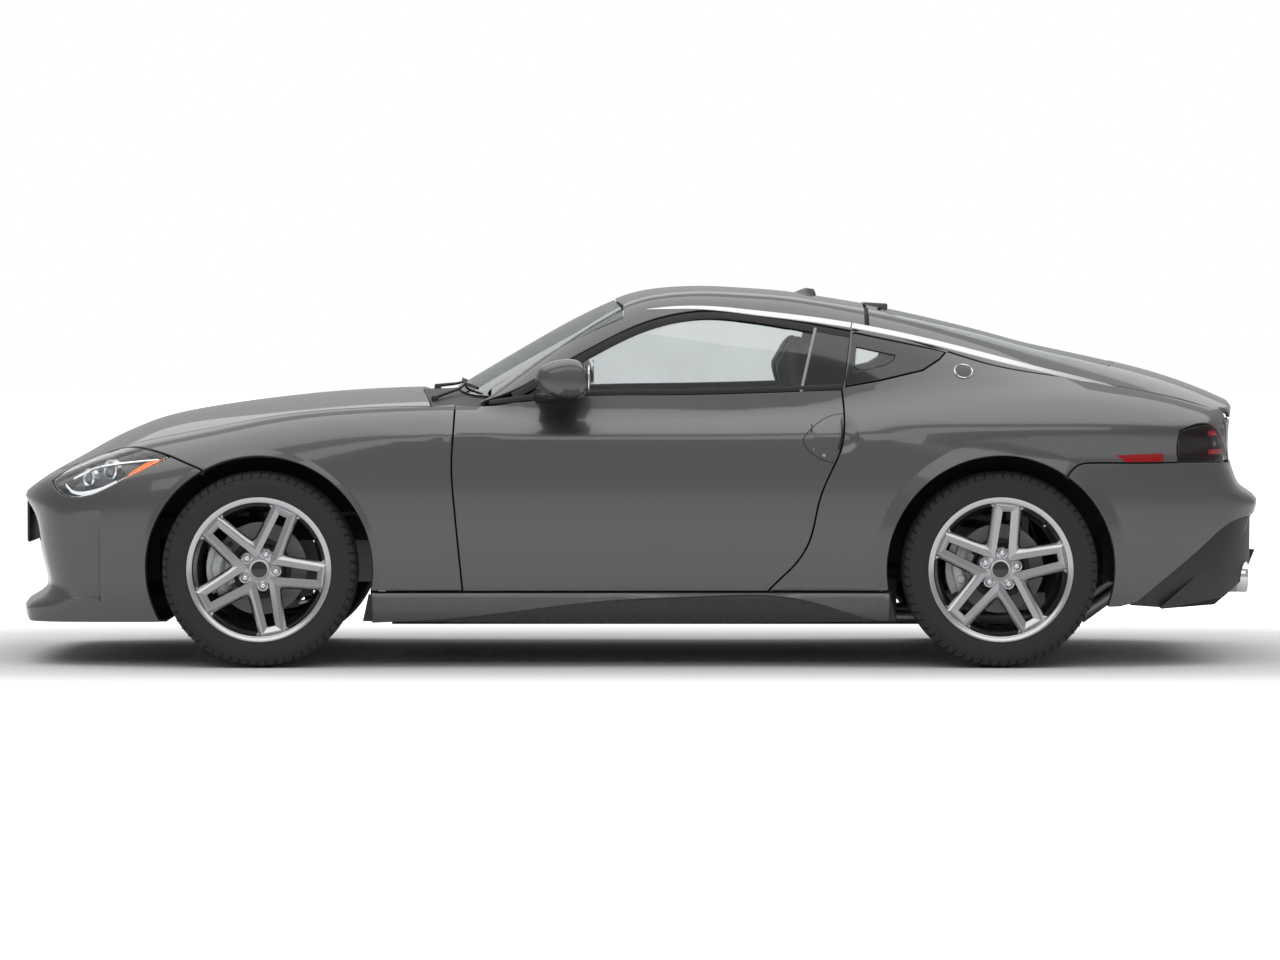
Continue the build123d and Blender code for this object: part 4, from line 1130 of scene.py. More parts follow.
class Shape:
    """A mesh put together from lathed, lofted and swept parts, in millimetres."""

    def __init__(self) -> None:
        """Starts empty."""
        self.points: list[Array] = []
        self.faces: list[tuple[int, ...]] = []
        self.marks: list[int] = []
        self.count = 0

    def add(self, points: Array, faces: Sequence[Sequence[int]], mark: int = 0) -> "Shape":
        """Adds points and faces, with the faces' material number.

        Args:
            points: the points.
            faces: the faces' corners, as numbers of the points given.
            mark: the material number.

        Returns:
            The shape.
        """
        self.points.append(np.asarray(points, float))
        self.faces += [tuple(int(i) + self.count for i in f) for f in faces]
        self.marks += [mark] * len(faces)
        self.count += len(points)
        return self

    def loft(self, rings: Sequence[Array], mark: int = 0, caps: bool = True, around: bool = True) -> "Shape":
        """Joins loops of equally many points.

        Args:
            rings: the loops, from first to last.
            mark: the material number.
            caps: whether the first and last loops are closed with a face.
            around: whether each loop joins its own ends.

        Returns:
            The shape.
        """
        n = len(rings[0])
        faces = []
        for row in range(len(rings) - 1):
            for i in range(n if around else n - 1):
                j = (i + 1) % n
                faces.append((row * n + i, row * n + j, (row + 1) * n + j, (row + 1) * n + i))
        if caps:
            faces.append(tuple(range(n))[::-1])
            faces.append(tuple((len(rings) - 1) * n + i for i in range(n)))
        return self.add(np.vstack(rings), faces, mark)

    def lathe(
        self, profile: Sequence[Pair], place: Sequence[float], axis: Sequence[float], steps: int = 96,
        mark: int = 0, closed: bool = False,
    ) -> "Shape":
        """Turns a profile of (radius, height along the axis) round an axis.

        Args:
            profile: its (radius, height along the axis) pairs.
            place: where the axis starts.
            axis: its direction.
            steps: the number of sides.
            mark: the material number.
            closed: whether the profile joins its own ends.

        Returns:
            The shape.
        """
        side, up, along = frame_of(axis)
        place = np.asarray(place, float)
        rings = []
        for k in range(steps):
            t = 2 * math.pi * k / steps
            out = side * math.cos(t) + up * math.sin(t)
            rings.append(np.array([place + out * r + along * h for r, h in profile]))
        rings.append(rings[0])
        n = len(profile)
        faces = []
        for row in range(steps):
            for i in range(n if closed else n - 1):
                j = (i + 1) % n
                faces.append((row * n + i, (row + 1) * n + i, (row + 1) * n + j, row * n + j))
        return self.add(np.vstack(rings), faces, mark)

    def block(self, low: Sequence[float], high: Sequence[float], mark: int = 0) -> "Shape":
        """A box between two corners, to be given rounded edges.

        Args:
            low: the lowest corner.
            high: the highest corner.
            mark: the material number.

        Returns:
            The shape.
        """
        (x0, y0, z0), (x1, y1, z1) = low, high
        lower = np.array([(x0, y0, z0), (x1, y0, z0), (x1, y1, z0), (x0, y1, z0)], float)
        return self.loft([lower, lower + (0, 0, z1 - z0)], mark)

    def tube(self, path: Array, radius: float | Sequence[float], mark: int = 0, sides: int = 12) -> "Shape":
        """A round tube along a path.

        Args:
            path: the points along its middle.
            radius: one, or one for each point.
            mark: the material number.
            sides: the number of sides.

        Returns:
            The shape.
        """
        path = np.asarray(path, float)
        radii = np.broadcast_to(radius, len(path))
        rings = []
        ways = np.gradient(path, axis=0)
        side, _, _ = frame_of(ways[0])
        for p, way, r in zip(path, ways, radii):
            along = unit(way)
            side = unit(side - along * np.dot(side, along))
            up = np.cross(along, side)
            turns = [2 * math.pi * k / sides for k in range(sides)]
            rings.append(np.array([p + (side * math.cos(t) + up * math.sin(t)) * r for t in turns]))
        return self.loft(rings, mark)

    def merged(self, other: "Shape") -> "Shape":
        """Adds all of another shape.

        Args:
            other: the shape to add.

        Returns:
            The shape.
        """
        n = self.count
        self.points += other.points
        self.faces += [tuple(i + n for i in f) for f in other.faces]
        self.marks += other.marks
        self.count += other.count
        return self

    def mapped(self, change: Callable[[Array], Array]) -> "Shape":
        """A copy with its points changed.

        Args:
            change: gives the new points for the old.

        Returns:
            The copy.
        """
        copy = Shape()
        copy.points = [change(np.vstack(self.points))]
        copy.faces, copy.marks, copy.count = list(self.faces), list(self.marks), self.count
        return copy

    def mirrored(self) -> "Shape":
        """The copy on the other side of the car."""
        copy = self.mapped(lambda p: p * (1, -1, 1))
        copy.faces = [f[::-1] for f in copy.faces]
        return copy

    def object(
        self, name: str, smooth: float = 38.0, bevel: float = 0.0, segments: int = 2, smoother: int = 0,
    ) -> Item:
        """A Blender mesh object of the shape, in metres, its faces turned outward.

        Args:
            name: the object's name.
            smooth: edges flatter than this angle are shaded smooth.
            bevel: the width of the rounded edges, in millimetres.
            segments: the steps of each rounded edge.
            smoother: the subdivision levels.

        Returns:
            The object.
        """
        mesh = bpy.data.meshes.new(name)
        mesh.from_pydata((np.vstack(self.points) * MM).tolist(), [], self.faces)
        mesh.polygons.foreach_set("material_index", self.marks)
        work = bmesh.new()
        work.from_mesh(mesh)
        bmesh.ops.remove_doubles(work, verts=work.verts, dist=1e-6)
        bmesh.ops.dissolve_degenerate(work, edges=work.edges, dist=1e-7)
        bmesh.ops.recalc_face_normals(work, faces=work.faces)
        work.to_mesh(mesh)
        work.free()
        item = bpy.data.objects.new(name, mesh)
        bpy.context.scene.collection.objects.link(item)
        if bevel:
            edge = item.modifiers.new("edges", "BEVEL")
            edge.width, edge.segments, edge.limit_method = bevel * MM, segments, "ANGLE"
            edge.angle_limit = math.radians(30)
        if smoother:
            finer = item.modifiers.new("finer", "SUBSURF")
            finer.levels = finer.render_levels = smoother
        if bevel or smoother:
            bake(item)
        item.data.shade_smooth()
        item.data.set_sharp_from_angle(angle=math.radians(smooth))
        return item


def section_at(flat: Array, y: float) -> Array:
    """A section of (x, z) pairs as points at a place across the car."""
    return np.stack((flat[:, 0], np.full(len(flat), float(y)), flat[:, 1]), 1)


def bake(item: Item) -> Item:
    """Turns the object's modifiers into its mesh.

    Args:
        item: the object.

    Returns:
        The same object.
    """
    graph = bpy.context.evaluated_depsgraph_get()
    mesh = bpy.data.meshes.new_from_object(item.evaluated_get(graph))
    item.modifiers.clear()
    item.data = mesh
    return item


def remove(*items: Item) -> None:
    """Takes helper objects away."""
    for item in items:
        bpy.data.objects.remove(item, do_unlink=True)


class RingArray:
    """Copies of one small shape around a wheel's axle, made by a Geometry Nodes tree."""

    @staticmethod
    def tree() -> Tree:
        """The tree: one point for each copy, all at the axle's middle, each with a turned copy of the shape.

        Returns:
            The tree.
        """
        found = bpy.data.node_groups.get("ring_array")
        if found:
            return found
        tree = bpy.data.node_groups.new("ring_array", "GeometryNodeTree")
        for label, kind in (
            ("Geometry", "Geometry"), ("Count", "Int"), ("Start", "Float"), ("Centre", "Vector"),
            ("Material", "Material"),
        ):
            tree.interface.new_socket(label, in_out="INPUT", socket_type=f"NodeSocket{kind}")
        tree.interface.new_socket("Geometry", in_out="OUTPUT", socket_type="NodeSocketGeometry")
        nodes, links = tree.nodes, tree.links
        given, out = nodes.new("NodeGroupInput"), nodes.new("NodeGroupOutput")
        points = nodes.new("GeometryNodePoints")
        copies = nodes.new("GeometryNodeInstanceOnPoints")
        index = nodes.new("GeometryNodeInputIndex")
        share = nodes.new("ShaderNodeMath")
        share.operation = "DIVIDE"
        angle = nodes.new("ShaderNodeMath")
        angle.operation = "MULTIPLY_ADD"
        angle.inputs[1].default_value = 2 * math.pi
        turn = nodes.new("ShaderNodeCombineXYZ")
        real = nodes.new("GeometryNodeRealizeInstances")
        paint = nodes.new("GeometryNodeSetMaterial")
        for source, outlet, target, inlet in (
            (given, "Count", points, "Count"), (given, "Centre", points, "Position"), (points, 0, copies, "Points"),
            (given, "Geometry", copies, "Instance"), (index, 0, share, 0), (given, "Count", share, 1),
            (share, 0, angle, 0), (given, "Start", angle, 2), (angle, 0, turn, "Y"), (turn, 0, copies, "Rotation"),
            (copies, 0, real, 0), (real, 0, paint, "Geometry"), (given, "Material", paint, "Material"),
            (paint, 0, out, 0),
        ):
            links.new(source.outputs[outlet], target.inputs[inlet])
        return tree

    @classmethod
    def around(
        cls, shape: Shape, name: str, centre: Sequence[float], count: int, finish: Finish, start: float = 0.0,
        smooth: float = 38.0, bevel: float = 0.0,
    ) -> Item:
        """Copies a shape round the line through centre along Y.

        Args:
            shape: the shape, placed as if the axle ran through the origin.
            name: the result's name.
            centre: the axle's middle, in millimetres.
            count: how many copies.
            finish: their finish.
            start: the first copy's turn, in radians.
            smooth: edges flatter than this angle are shaded smooth.
            bevel: the width of rounded edges, in millimetres.

        Returns:
            The copies as one mesh object.
        """
        item = shape.object(name, smooth, bevel)
        modifier = item.modifiers.new("around", "NODES")
        modifier.node_group = cls.tree()
        sockets = {s.name: s.identifier for s in cls.tree().interface.items_tree if s.in_out == "INPUT"}
        modifier[sockets["Count"]] = count
        modifier[sockets["Start"]] = start
        modifier[sockets["Centre"]] = [c * MM for c in centre]
        modifier[sockets["Material"]] = finish.material()
        return bake(item)


# ---------------------------------------------------------------- wheels, tyres and brakes


@dataclass
class RoadWheel:
    """One wheel with its tyre and brake disc, outward side at minus Y; the right side is its image."""

    end: str
    axle_x: float
    middle_y: float
    tilt: float
    disc_r: float
    tyre_r: float = 338.5
    tyre_half: float = 122.0
    lip_r: float = 250.0
    lip_half: float = 117.0
    fork_end: float = 236.0
    fork_spread: tuple[float, float] = (39.0, 31.0)
    bar_half: float = 18.5
    bar_depth: float = 34.0
    cap_r: float = 31.0
    stud_r: float = 57.0
    nut_r: float = 10.5
    block_count: int = 64

    def place(self, r: float, angle: float, out: float) -> tuple[float, float, float]:
        """A point by its radius, angle and distance out from the wheel's middle."""
        return (self.axle_x + r * math.cos(angle), -self.middle_y - out, AXLE_Z + r * math.sin(angle))

    def face(self, r: float) -> float:
        """How far out the spokes' faces lie at a radius."""
        share = min(max((r - 40.0) / 196.0, 0.0), 1.0)
        return 86.0 + 24.0 * share**1.3

    def fork(self, turn: float) -> Shape:
        """One forked spoke: two bars joined at the rim, each cut off where it meets its neighbour.

        Args:
            turn: its angle on the wheel, in radians.

        Returns:
            The spoke.
        """
        half = self.bar_half
        section = (
            (-half, -9.0), (-half + 2.0, -5.0), (1.0, 4.0), (half - 7.0, -3.0), (half, -14.0),
            (half - 2.0, -self.bar_depth), (-half + 2.0, -self.bar_depth),
        )
        near, far = self.fork_spread
        meet = math.radians(36)
        end = self.fork_end - half
        rows: list[list[tuple[float, float]]] = []
        for share in np.linspace(0, 1, 7):
            row = []
            for w, _ in section:
                b0, b1 = near + w, far + w
                a0 = b0 / math.tan(meet)
                a1 = end + w
                row.append((a0 + (a1 - a0) * share, b0 + (b1 - b0) * share))
            rows.append(row)
        rings = []
        for row in rows + [[(a, -b) for a, b in row] for row in reversed(rows)]:
            ring = []
            for (a, b), (_, h) in zip(row, section):
                r = math.hypot(a, b)
                ring.append(self.place(r, turn + math.atan2(b, a), self.face(r) + h))
            rings.append(np.array(ring))
        return Shape().loft(rings, caps=False)

    def pad(self, turn: float) -> Shape:
        """The foot of a fork on the rim.

        Args:
            turn: its angle on the wheel, in radians.

        Returns:
            The foot.
        """
        rings = []
        for r, spread, out in ((214, 12.5, 96), (228, 15.0, 103), (244, 20.5, 112), (244, 20.5, 90), (214, 12.5, 74)):
            angles = np.radians(np.linspace(-spread, spread, 9)) + turn
            rings.append(np.array([self.place(r, t, out) for t in angles]))
        rings.append(rings[0])
        shape = Shape().loft(rings, caps=False, around=False)
        for side in (0, 8):
            shape.add(np.array([ring[side] for ring in rings[:5]]), [tuple(range(5))])
        return shape

    def rim(self) -> Shape:
        """The rim with its forks and hub: mark 0 is the bright face, 1 the barrel, gunmetal darkened to near black as
        painted shade, 2 the cap.
        """
        centre, out = (self.axle_x, -self.middle_y, AXLE_Z), (0, -1, 0)
        lip, half = self.lip_r, self.lip_half
        shape = Shape()
        shape.lathe(((lip - 21, half - 14), (lip - 19, half - 6), (lip - 14, half - 2), (lip - 1, half),
                     (lip, half - 4),
                     (lip - 2, half - 14), (lip - 20, half - 16)), centre, out, 128, 0)
        shape.lathe(((lip - 21, half - 14), (lip - 27, half - 24), (lip - 34, half - 44)), centre, out, 128, 3)
        shape.lathe(((lip - 34, half - 44), (206, 20), (201, -30), (208, -84), (224, -100), (226, -half), (234, -half),
                     (232, -96), (214, -80), (208, -30), (212, 20), (222, 66), (lip - 20, half - 16)),
                    centre, out, 128, 1)
        angles = [math.radians(self.tilt) + 2 * math.pi * k / 5 for k in range(5)]
        first = len(shape.marks)
        for turn in angles:
            shape.merged(self.fork(turn)).merged(self.pad(turn))
        shape.marks = [3 if i >= first else mark for i, mark in enumerate(shape.marks)]
        stem = self.place(208, math.radians(self.tilt - 39), 62)
        shape.lathe(((0, 34), (3.4, 33), (4.2, 20), (3.2, 19), (3.2, 0)), stem, (0.12, -1, 0.1), 16, 0)
        hub = ((self.cap_r + 4, 90), (self.cap_r + 6, 89), (46, 83), (72, 74), (80, 64), (82, 46), (76, 30), (30, 30))
        shape.lathe(hub, centre, out, 80, 3)
        shape.lathe(((0, 92), (self.cap_r - 8, 91.5), (self.cap_r - 2, 90), (self.cap_r - 1, 88)), centre, out, 64, 2)
        shape.lathe(((self.cap_r - 5, 89), (self.cap_r - 3, 93), (self.cap_r + 3, 93.5), (self.cap_r + 5, 89)),
                    centre, out, 64, 0)
        return shape

    def nut(self) -> Shape:
        """One wheel nut in its pocket, as if the axle ran through the origin."""
        place = (self.stud_r, 0, 0)
        shape = Shape()
        turns = [math.radians(60 * k + 30) for k in range(6)]
        rings = []
        for r, out in ((self.nut_r, 66), (self.nut_r, 90), (self.nut_r - 1.5, 93), (self.nut_r - 5, 95), (1.0, 96)):
            rings.append(np.array([(place[0] + r * math.cos(t), -out, r * math.sin(t)) for t in turns]))
        shape.loft(rings)
        shape.lathe(((14.0, 68), (14.5, 84), (16.0, 86.5), (18.5, 86), (20.5, 76)), place, (0, -1, 0), 24)
        return shape

    def tyre(self) -> Shape:
        """The tyre: sidewalls with low ribs and a tread base with three grooves."""
        r, half = self.tyre_r, self.tyre_half
        side = [
            (231, 102), (236, 109), (243, 112), (252, 115.5), (254, 117.5), (258, 118), (262, 119.5), (276, 121.6),
            (290, half), (292, half + 0.6), (296, half + 0.6), (298, half - 0.3), (306, half - 2.5), (316, half - 6.5),
            (318, half - 6.0), (322, half - 8.5), (r - 9.5, half - 16.0), (r - 8, half - 30.0),
        ]
        grooves = []
        for middle, near, far in ((60.0, 3.0, 1.8), (20.0, 1.2, 0.3)):
            grooves += [
                (r - near, middle + 5.0), (r - 8, middle + 4.2), (r - 8, middle - 4.2), (r - far, middle - 5.0),
            ]
        outer = side[:-1] + [(r - 8, 82.0), (r - 8, 78.0), (r - 4.5, 76.5)] + grooves + [(r, 0.0)]
        profile = outer + [(a, -b) for a, b in reversed(outer[:-1])]
        inner = [
            (226, -104), (240, -98), (300, -108), (322, -90), (326, 0), (322, 90), (300, 108), (240, 98), (226, 104),
        ]
        return Shape().lathe(profile + inner, (self.axle_x, -self.middle_y, AXLE_Z), (0, -1, 0), 148, 0, True)

    def shoulder_block(self) -> Shape:
        """One tread block of a shoulder, running down on to the sidewall."""
        r = self.tyre_r
        pitch = 2 * math.pi / self.block_count
        wide = pitch * 0.40
        rows = (
            (r - 10, 79.5), (r - 4.6, 80.2), (r - 5.8, 96.0), (r - 9.0, 107.5), (r - 14.5, 114.0), (r - 22.0, 117.2),
            (r - 24.0, 112.0),
        )
        rings = []
        for turn in (-wide, -wide + 0.004, wide - 0.004, wide):
            sink = 1.2 if abs(turn) == wide else 0.0
            ring = []
            for radius, out in rows:
                skew = turn + (out - 80) * 0.0009
                inner = radius - sink
                ring.append((inner * math.cos(skew), -out, inner * math.sin(skew)))
            rings.append(np.array(ring))
        return Shape().loft(rings)

    def notch(self) -> Shape:
        """One cut between two shoulder blocks, a thin sheet darker than the rubber as painted shade, as if the axle ran
        through the origin.
        """
        r = self.tyre_r
        rows = (
            (r - 3.2, 96.0), (r - 7.4, 108.0), (r - 13.0, 114.8), (r - 21.0, 118.2), (r - 24.0, 117.6),
            (r - 24.0, 112.0), (r - 14.0, 104.0),
        )
        rings = []
        for turn in (-0.0055, 0.0055):
            ring = []
            for radius, out in rows:
                skew = turn + (out - 80) * 0.0009 + math.pi / self.block_count
                ring.append((radius * math.cos(skew), -out, radius * math.sin(skew)))
            rings.append(np.array(ring))
        return Shape().loft(rings)

    def disc(self) -> Shape:
        """The brake disc with its hat: mark 0 is the swept iron, 1 the cast hat."""
        centre, out = (self.axle_x, -self.middle_y, AXLE_Z), (0, -1, 0)
        r = self.disc_r
        shape = Shape()
        for near, far in ((-26.0, -16.5), (-7.5, 2.0)):
            shape.lathe((
                (106, near), (108, near - 0.01), (r - 1, near), (r, near + 1), (r, far - 1), (r - 1, far), (108, far),
                (106, far),
            ),
                        centre, out, 128, 0, True)
        shape.lathe(((106, 2.0), (98, 1.0), (88, 1.0), (85, 4), (83, 26), (80, 29.6), (26, 29.6), (24, -60), (30, -70),
                     (74, -8), (80, -14), (98, -16), (106, -16.5)), centre, out, 96, 1)
        return shape

    def vane(self) -> Shape:
        """One cooling vane between the disc's two plates."""
        return Shape().block((112.0, 7.4, -2.0), (self.disc_r - 4, 16.6, 2.0))

    def caliper(self) -> Shape:
        """The brake caliper on the wheel's forward side: mark 0 is the body, 1 its dark parts."""
        shape = Shape()
        r = self.disc_r
        rings = []
        for degrees, depth in ((-34, 12), (-28, 20), (0, 24), (28, 20), (34, 12)):
            t = math.radians(180 + degrees)
            rows = (
                (r - 44, 6), (r - 44, 26), (r - 20, depth + 22), (r + 8, depth + 20), (r + 16, depth), (r + 16, -34),
                (r - 30, -44), (r - 30, -30), (r + 5, -28), (r + 5, 6),
            )
            rings.append(np.array([self.place(a, t, b) for a, b in rows]))
        shape.loft(rings)
        for degrees in (-15, 15):
            t = math.radians(180 + degrees)
            shape.lathe(((0, 50), (13, 49), (15, 46), (15, 20)), self.place(r - 16, t, 0), (0, -1, 0), 28, 0)
        for degrees in (-39, 39):
            t = math.radians(180 + degrees)
            shape.lathe(((0, 18), (7, 17), (8, 14), (8, -30), (0, -30)), self.place(r - 26, t, 0), (0, -1, 0), 20, 1)
        return shape

    def build(self) -> None:
        """Makes both wheels of the axle, with their tyres, discs and calipers."""
        centre = (self.axle_x, -self.middle_y, AXLE_Z)
        made = {"tyre": self.tyre(), "rim": self.rim(), "disc": self.disc(), "caliper": self.caliper()}
        start = -math.radians(self.tilt)
        nuts = RingArray.around(self.nut(), "nuts", centre, 5, Palette.chrome, start, 30)
        blocks = RingArray.around(self.shoulder_block(), "blocks", centre, self.block_count, Palette.tyre, 0.0, 30)
        far = self.shoulder_block().mirrored()
        inner_blocks = RingArray.around(far, "inner_blocks", centre, self.block_count, Palette.tyre, 0.02, 30)
        vanes = RingArray.around(self.vane(), "vanes", centre, 36, Palette.iron_dark)
        # the notches are thin dark sheets: painted shade in the tread cuts
        notches = RingArray.around(self.notch(), "notches", centre, self.block_count, Palette.notch_shade)
        for side, flip in SIDES:
            name, body = f"{self.end}_{side}", f"wheel_{self.end}_{side}"
            shapes = {key: shape.mirrored() if flip < 0 else shape for key, shape in made.items()}
            tyre = shapes["tyre"].object(f"tyre_{name}_rubber", 24)
            put(tyre, body, (Palette.tyre,), (f"tyre_{name}",))
            rim = shapes["rim"].object(f"rim_{name}_forged", 34)
            # the barrel's finish is gunmetal darkened as painted shade
            finishes = (Palette.alloy_face, Palette.alloy_dark_shade, Palette.gloss_black, Palette.alloy_spoke)
            put(rim, body, finishes, (f"rim_{name}",))
            disc = shapes["disc"].object(f"disc_{name}_vented", 34)
            put(disc, body, (Palette.iron, Palette.iron_dark), (f"brake_disc_{name}",))
            for source, label, slot, finish in (
                (nuts, "wheel_nuts", "wheel_alloy", Palette.chrome),
                (blocks, "tread_outer", "tyre_rubber", Palette.tyre),
                (inner_blocks, "tread_inner", "tyre_rubber", Palette.tyre),
                (vanes, "disc_vanes", "brake_iron", Palette.iron_dark),
                (notches, "tread_notch_shade", "tyre_rubber", Palette.notch_shade),
            ):
                put(self.copy(source, f"{label}_{name}", flip < 0), body, (finish,))
            holder = f"steered_{side}" if self.end == "front" else "car_body"
            caliper = shapes["caliper"].object(f"caliper_{name}", 30, 2.0)
            put(caliper, holder, (Palette.caliper, Palette.iron_dark))
        remove(nuts, blocks, inner_blocks, vanes, notches)

    @staticmethod
    def copy(source: Item, name: str, image: bool) -> Item:
        """A copy of an object, or its image on the other side of the car.

        Args:
            source: the object.
            name: the copy's name.
            image: whether the copy is the image.

        Returns:
            The copy.
        """
        item = source.copy()
        item.data = source.data.copy()
        item.name = item.data.name = name
        bpy.context.scene.collection.objects.link(item)
        if image:
            work = bmesh.new()
            work.from_mesh(item.data)
            for vert in work.verts:
                vert.co.y = -vert.co.y
            bmesh.ops.reverse_faces(work, faces=work.faces)
            work.to_mesh(item.data)
            work.free()
        return item


# ---------------------------------------------------------------- the panels


def turned_loop(points: Sequence[Pair]) -> list[Pair]:
    """The same points in the other order."""
    return list(points)[::-1]


@dataclass
class BodyShell:
    """The painted panels, the glass and the lamp covers, drawn on the form."""

    form: BodyForm
    arch_r: float = 390.0
    edge: float = 2.4
    hood_front: Sequence[Pair] = ((-2062, 0), (-2056, 200), (-2036, 400), (-1995, 550), (-1950, 612))
    hood_corner: Sequence[Pair] = ((-1950, 612), (-1900, 630), (-1850, 642))
    hood_side: Sequence[Pair] = ((-1850, 642), (-1700, 668), (-1400, 700), (-1000, 726), (-722, 736))
    hood_rear: Sequence[Pair] = ((-722, 736), (-742, 520), (-765, 260), (-774, 0))
    cowl_rear: Sequence[Pair] = ((-652, 0), (-640, 260), (-592, 500), (-520, 690))
    screen_top: Sequence[Pair] = ((-60, 548), (-84, 300), (-92, 0))
    pillar: Sequence[Pair] = ((-520, 958), (-440, 1010), (-300, 1092), (-150, 1166), (-60, 1206))
    rail: Sequence[Pair] = (
        (-560, 908), (-440, 950), (-300, 1026), (-150, 1108), (0, 1180), (120, 1215), (250, 1229), (400, 1216),
        (560, 1190), (733, 1158), (900, 1118), (1050, 1072), (1180, 1028),
    )
    door_front: Sequence[Pair] = ((-611, 262), (-641, 578), (-648, 715), (-643, 800), (-640, 905))
    door_rear: Sequence[Pair] = (
        (697, 957), (703, 897), (700, 812), (687, 744), (669, 702), (617, 578), (584, 440), (532, 354), (491, 313),
        (440, 262),
    )
    belt: Sequence[Pair] = ((-640, 905), (-520, 903), (-335, 925), (100, 940), (500, 950), (697, 957))
    quarter_hole: Sequence[Pair] = (
        (712, 968), (737, 1152), (1062, 1086), (1040, 1062), (980, 1024), (831, 989), (712, 968),
    )
    quarter_pane: Sequence[Pair] = ((742, 1015), (752, 1102), (884, 1074), (880, 1060), (850, 1040), (742, 1015))
    lamp_low: Sequence[Pair] = (
        (-2040, 640), (-2006, 604), (-1950, 587), (-1890, 597), (-1823, 628), (-1700, 688), (-1617, 729),
    )
    lamp_tip: Sequence[Pair] = ((-1617, 729), (-1690, 750), (-1760, 757))
    tail_lamp: Sequence[Pair] = ((1856, 706), (1850, 760), (1860, 815))
    lid_side: Sequence[Pair] = (
        (785, 620), (1065, 646), (1310, 668), (1515, 686), (1650, 694), (1800, 688), (1955, 664), (2050, 636),
    )
    screen_rear: Sequence[Pair] = ((850, 0), (852, 300), (866, 470), (900, 506))
    screen_side: Sequence[Pair] = ((900, 506), (1100, 522), (1350, 524), (1560, 512), (1640, 480))
    screen_low: Sequence[Pair] = ((1640, 480), (1672, 300), (1680, 0))
    bumper_seam: Sequence[Pair] = ((1463.7, 658.5), (1502, 697), (1560, 706), (1700, 705), (1856, 706))
    sill_low: float = 148.0
    sill_edge: Sequence[Pair] = (
        (-927, 149), (-760, 157), (-560, 174), (-300, 208), (0, 236), (300, 248), (500, 243), (620, 216), (740, 178),
        (800, 162), (860, 157),
    )
    sill_top: float = 261.5
    diffuser: Sequence[Pair] = ((1717, 222), (1820, 308), (1960, 425), (2060, 500), (2150, 520))

    def across(self, chart: Chart, other: Chart, place: Pair) -> Pair:
        """A place of one chart, in another one."""
        flat = other.flatten(chart.lift(self.form, np.array([place], float)))[0]
        return float(flat[0]), float(flat[1])

    def lamp_top(self) -> list[Pair]:
        """The lamp's edge along the hood, from the front tip to the rear one, in the side view."""
        corner = [self.across(TOP, SIDE, p) for p in self.hood_corner]
        return [self.lamp_low[0]] + corner + turned_loop(self.lamp_tip)

    def crease(self, start: float, stop: float) -> Run:
        """The shoulder crease between two places."""
        places = np.arange(start, stop, 40.0)
        return Run(SIDE, [(float(x), float(self.form.crease_z(x))) for x in places])

    def hood(self) -> Panel:
        """The hood, both halves."""
        runs = [Run(TOP, p) for p in (self.hood_front, self.hood_corner, self.hood_side, self.hood_rear)]
        return Panel(runs, TOP, both_sides=True, gap=self.edge)

    def fender(self) -> Panel:
        """A front fender, from the lamp and the arch to the door."""
        corner = self.across(TOP, SIDE, self.hood_side[0])
        rear_top = self.across(TOP, SIDE, self.hood_side[-1])
        runs = (
            Run(TOP, turned_loop(self.hood_side)),
            Run(SIDE, [corner] + turned_loop(self.lamp_tip)),
            Run(SIDE, (self.lamp_low[-1], (-1560, 705), (-1499, 680))),
            arc(SIDE, (FRONT_AXLE_X, AXLE_Z), self.arch_r, 119, -11.4),
            Run(SIDE, ((-928, 262), self.door_front[0]), False),
            Run(SIDE, self.door_front),
            Run(SIDE, (self.door_front[-1], rear_top), False),
        )
        flare = self.flare(FRONT_AXLE_X, self.form.front_lip_r, 116, -10)
        return Panel(runs, FENDER_ROLL, gap=self.edge, features=(self.crease(-1000, -640), *flare))

    def door(self) -> Panel:
        """A door's outer skin, up to the belt."""
        runs = (
            Run(SIDE, self.door_front),
            Run(SIDE, self.belt),
            Run(SIDE, self.door_rear),
            Run(SIDE, (self.door_rear[-1], self.door_front[0]), False),
        )
        return Panel(runs, SIDE, gap=self.edge, features=(self.crease(-640, 700),))

    def front_bumper(self) -> Panel:
        """The front bumper, with the opening for the grille."""
        low = self.across(SIDE, FRONT_WRAP, (-1651, 152))
        runs = (
            Run(TOP, self.hood_front),
            Run(SIDE, [self.across(TOP, SIDE, self.hood_corner[0]), (-2005, 668), self.lamp_low[0]]),
            Run(SIDE, self.lamp_low),
            Run(SIDE, (self.lamp_low[-1], (-1560, 705), (-1499, 680))),
            arc(SIDE, (FRONT_AXLE_X, AXLE_Z), self.arch_r, 119, 209),
            Run(FRONT_WRAP, (low, (700, 148), (460, 146), (240, 150), (0, 152))),
        )
        opening = Run(FRONT_WRAP, (
            (-470, 505), (-420, 250), (420, 250), (470, 505), (430, 542), (-430, 542), (-470, 505),
        ), False)
        edges = [Run(SIDE, ((x, 535), (x, 236))) for x in (-1870, -1865, -1860)]
        edges += [Run(SIDE, ((-2000, z), (-1880, z))) for z in (231, 236, 241)]
        flare = self.flare(FRONT_AXLE_X, self.form.front_lip_r, 119, 206)
        return Panel(
            runs, FRONT_WRAP, both_sides=True, gap=self.edge, thickness=14.0, holes=((opening,),),
            features=edges + flare,
        )

    def headlamp(self) -> Panel:
        """The clear cover of a headlamp."""
        runs = (Run(SIDE, self.lamp_top()), Run(SIDE, turned_loop(self.lamp_low)))
        return Panel(runs, FENDER_ROLL, gap=self.edge, thickness=6.0, grid=12.0, depth=1.0)

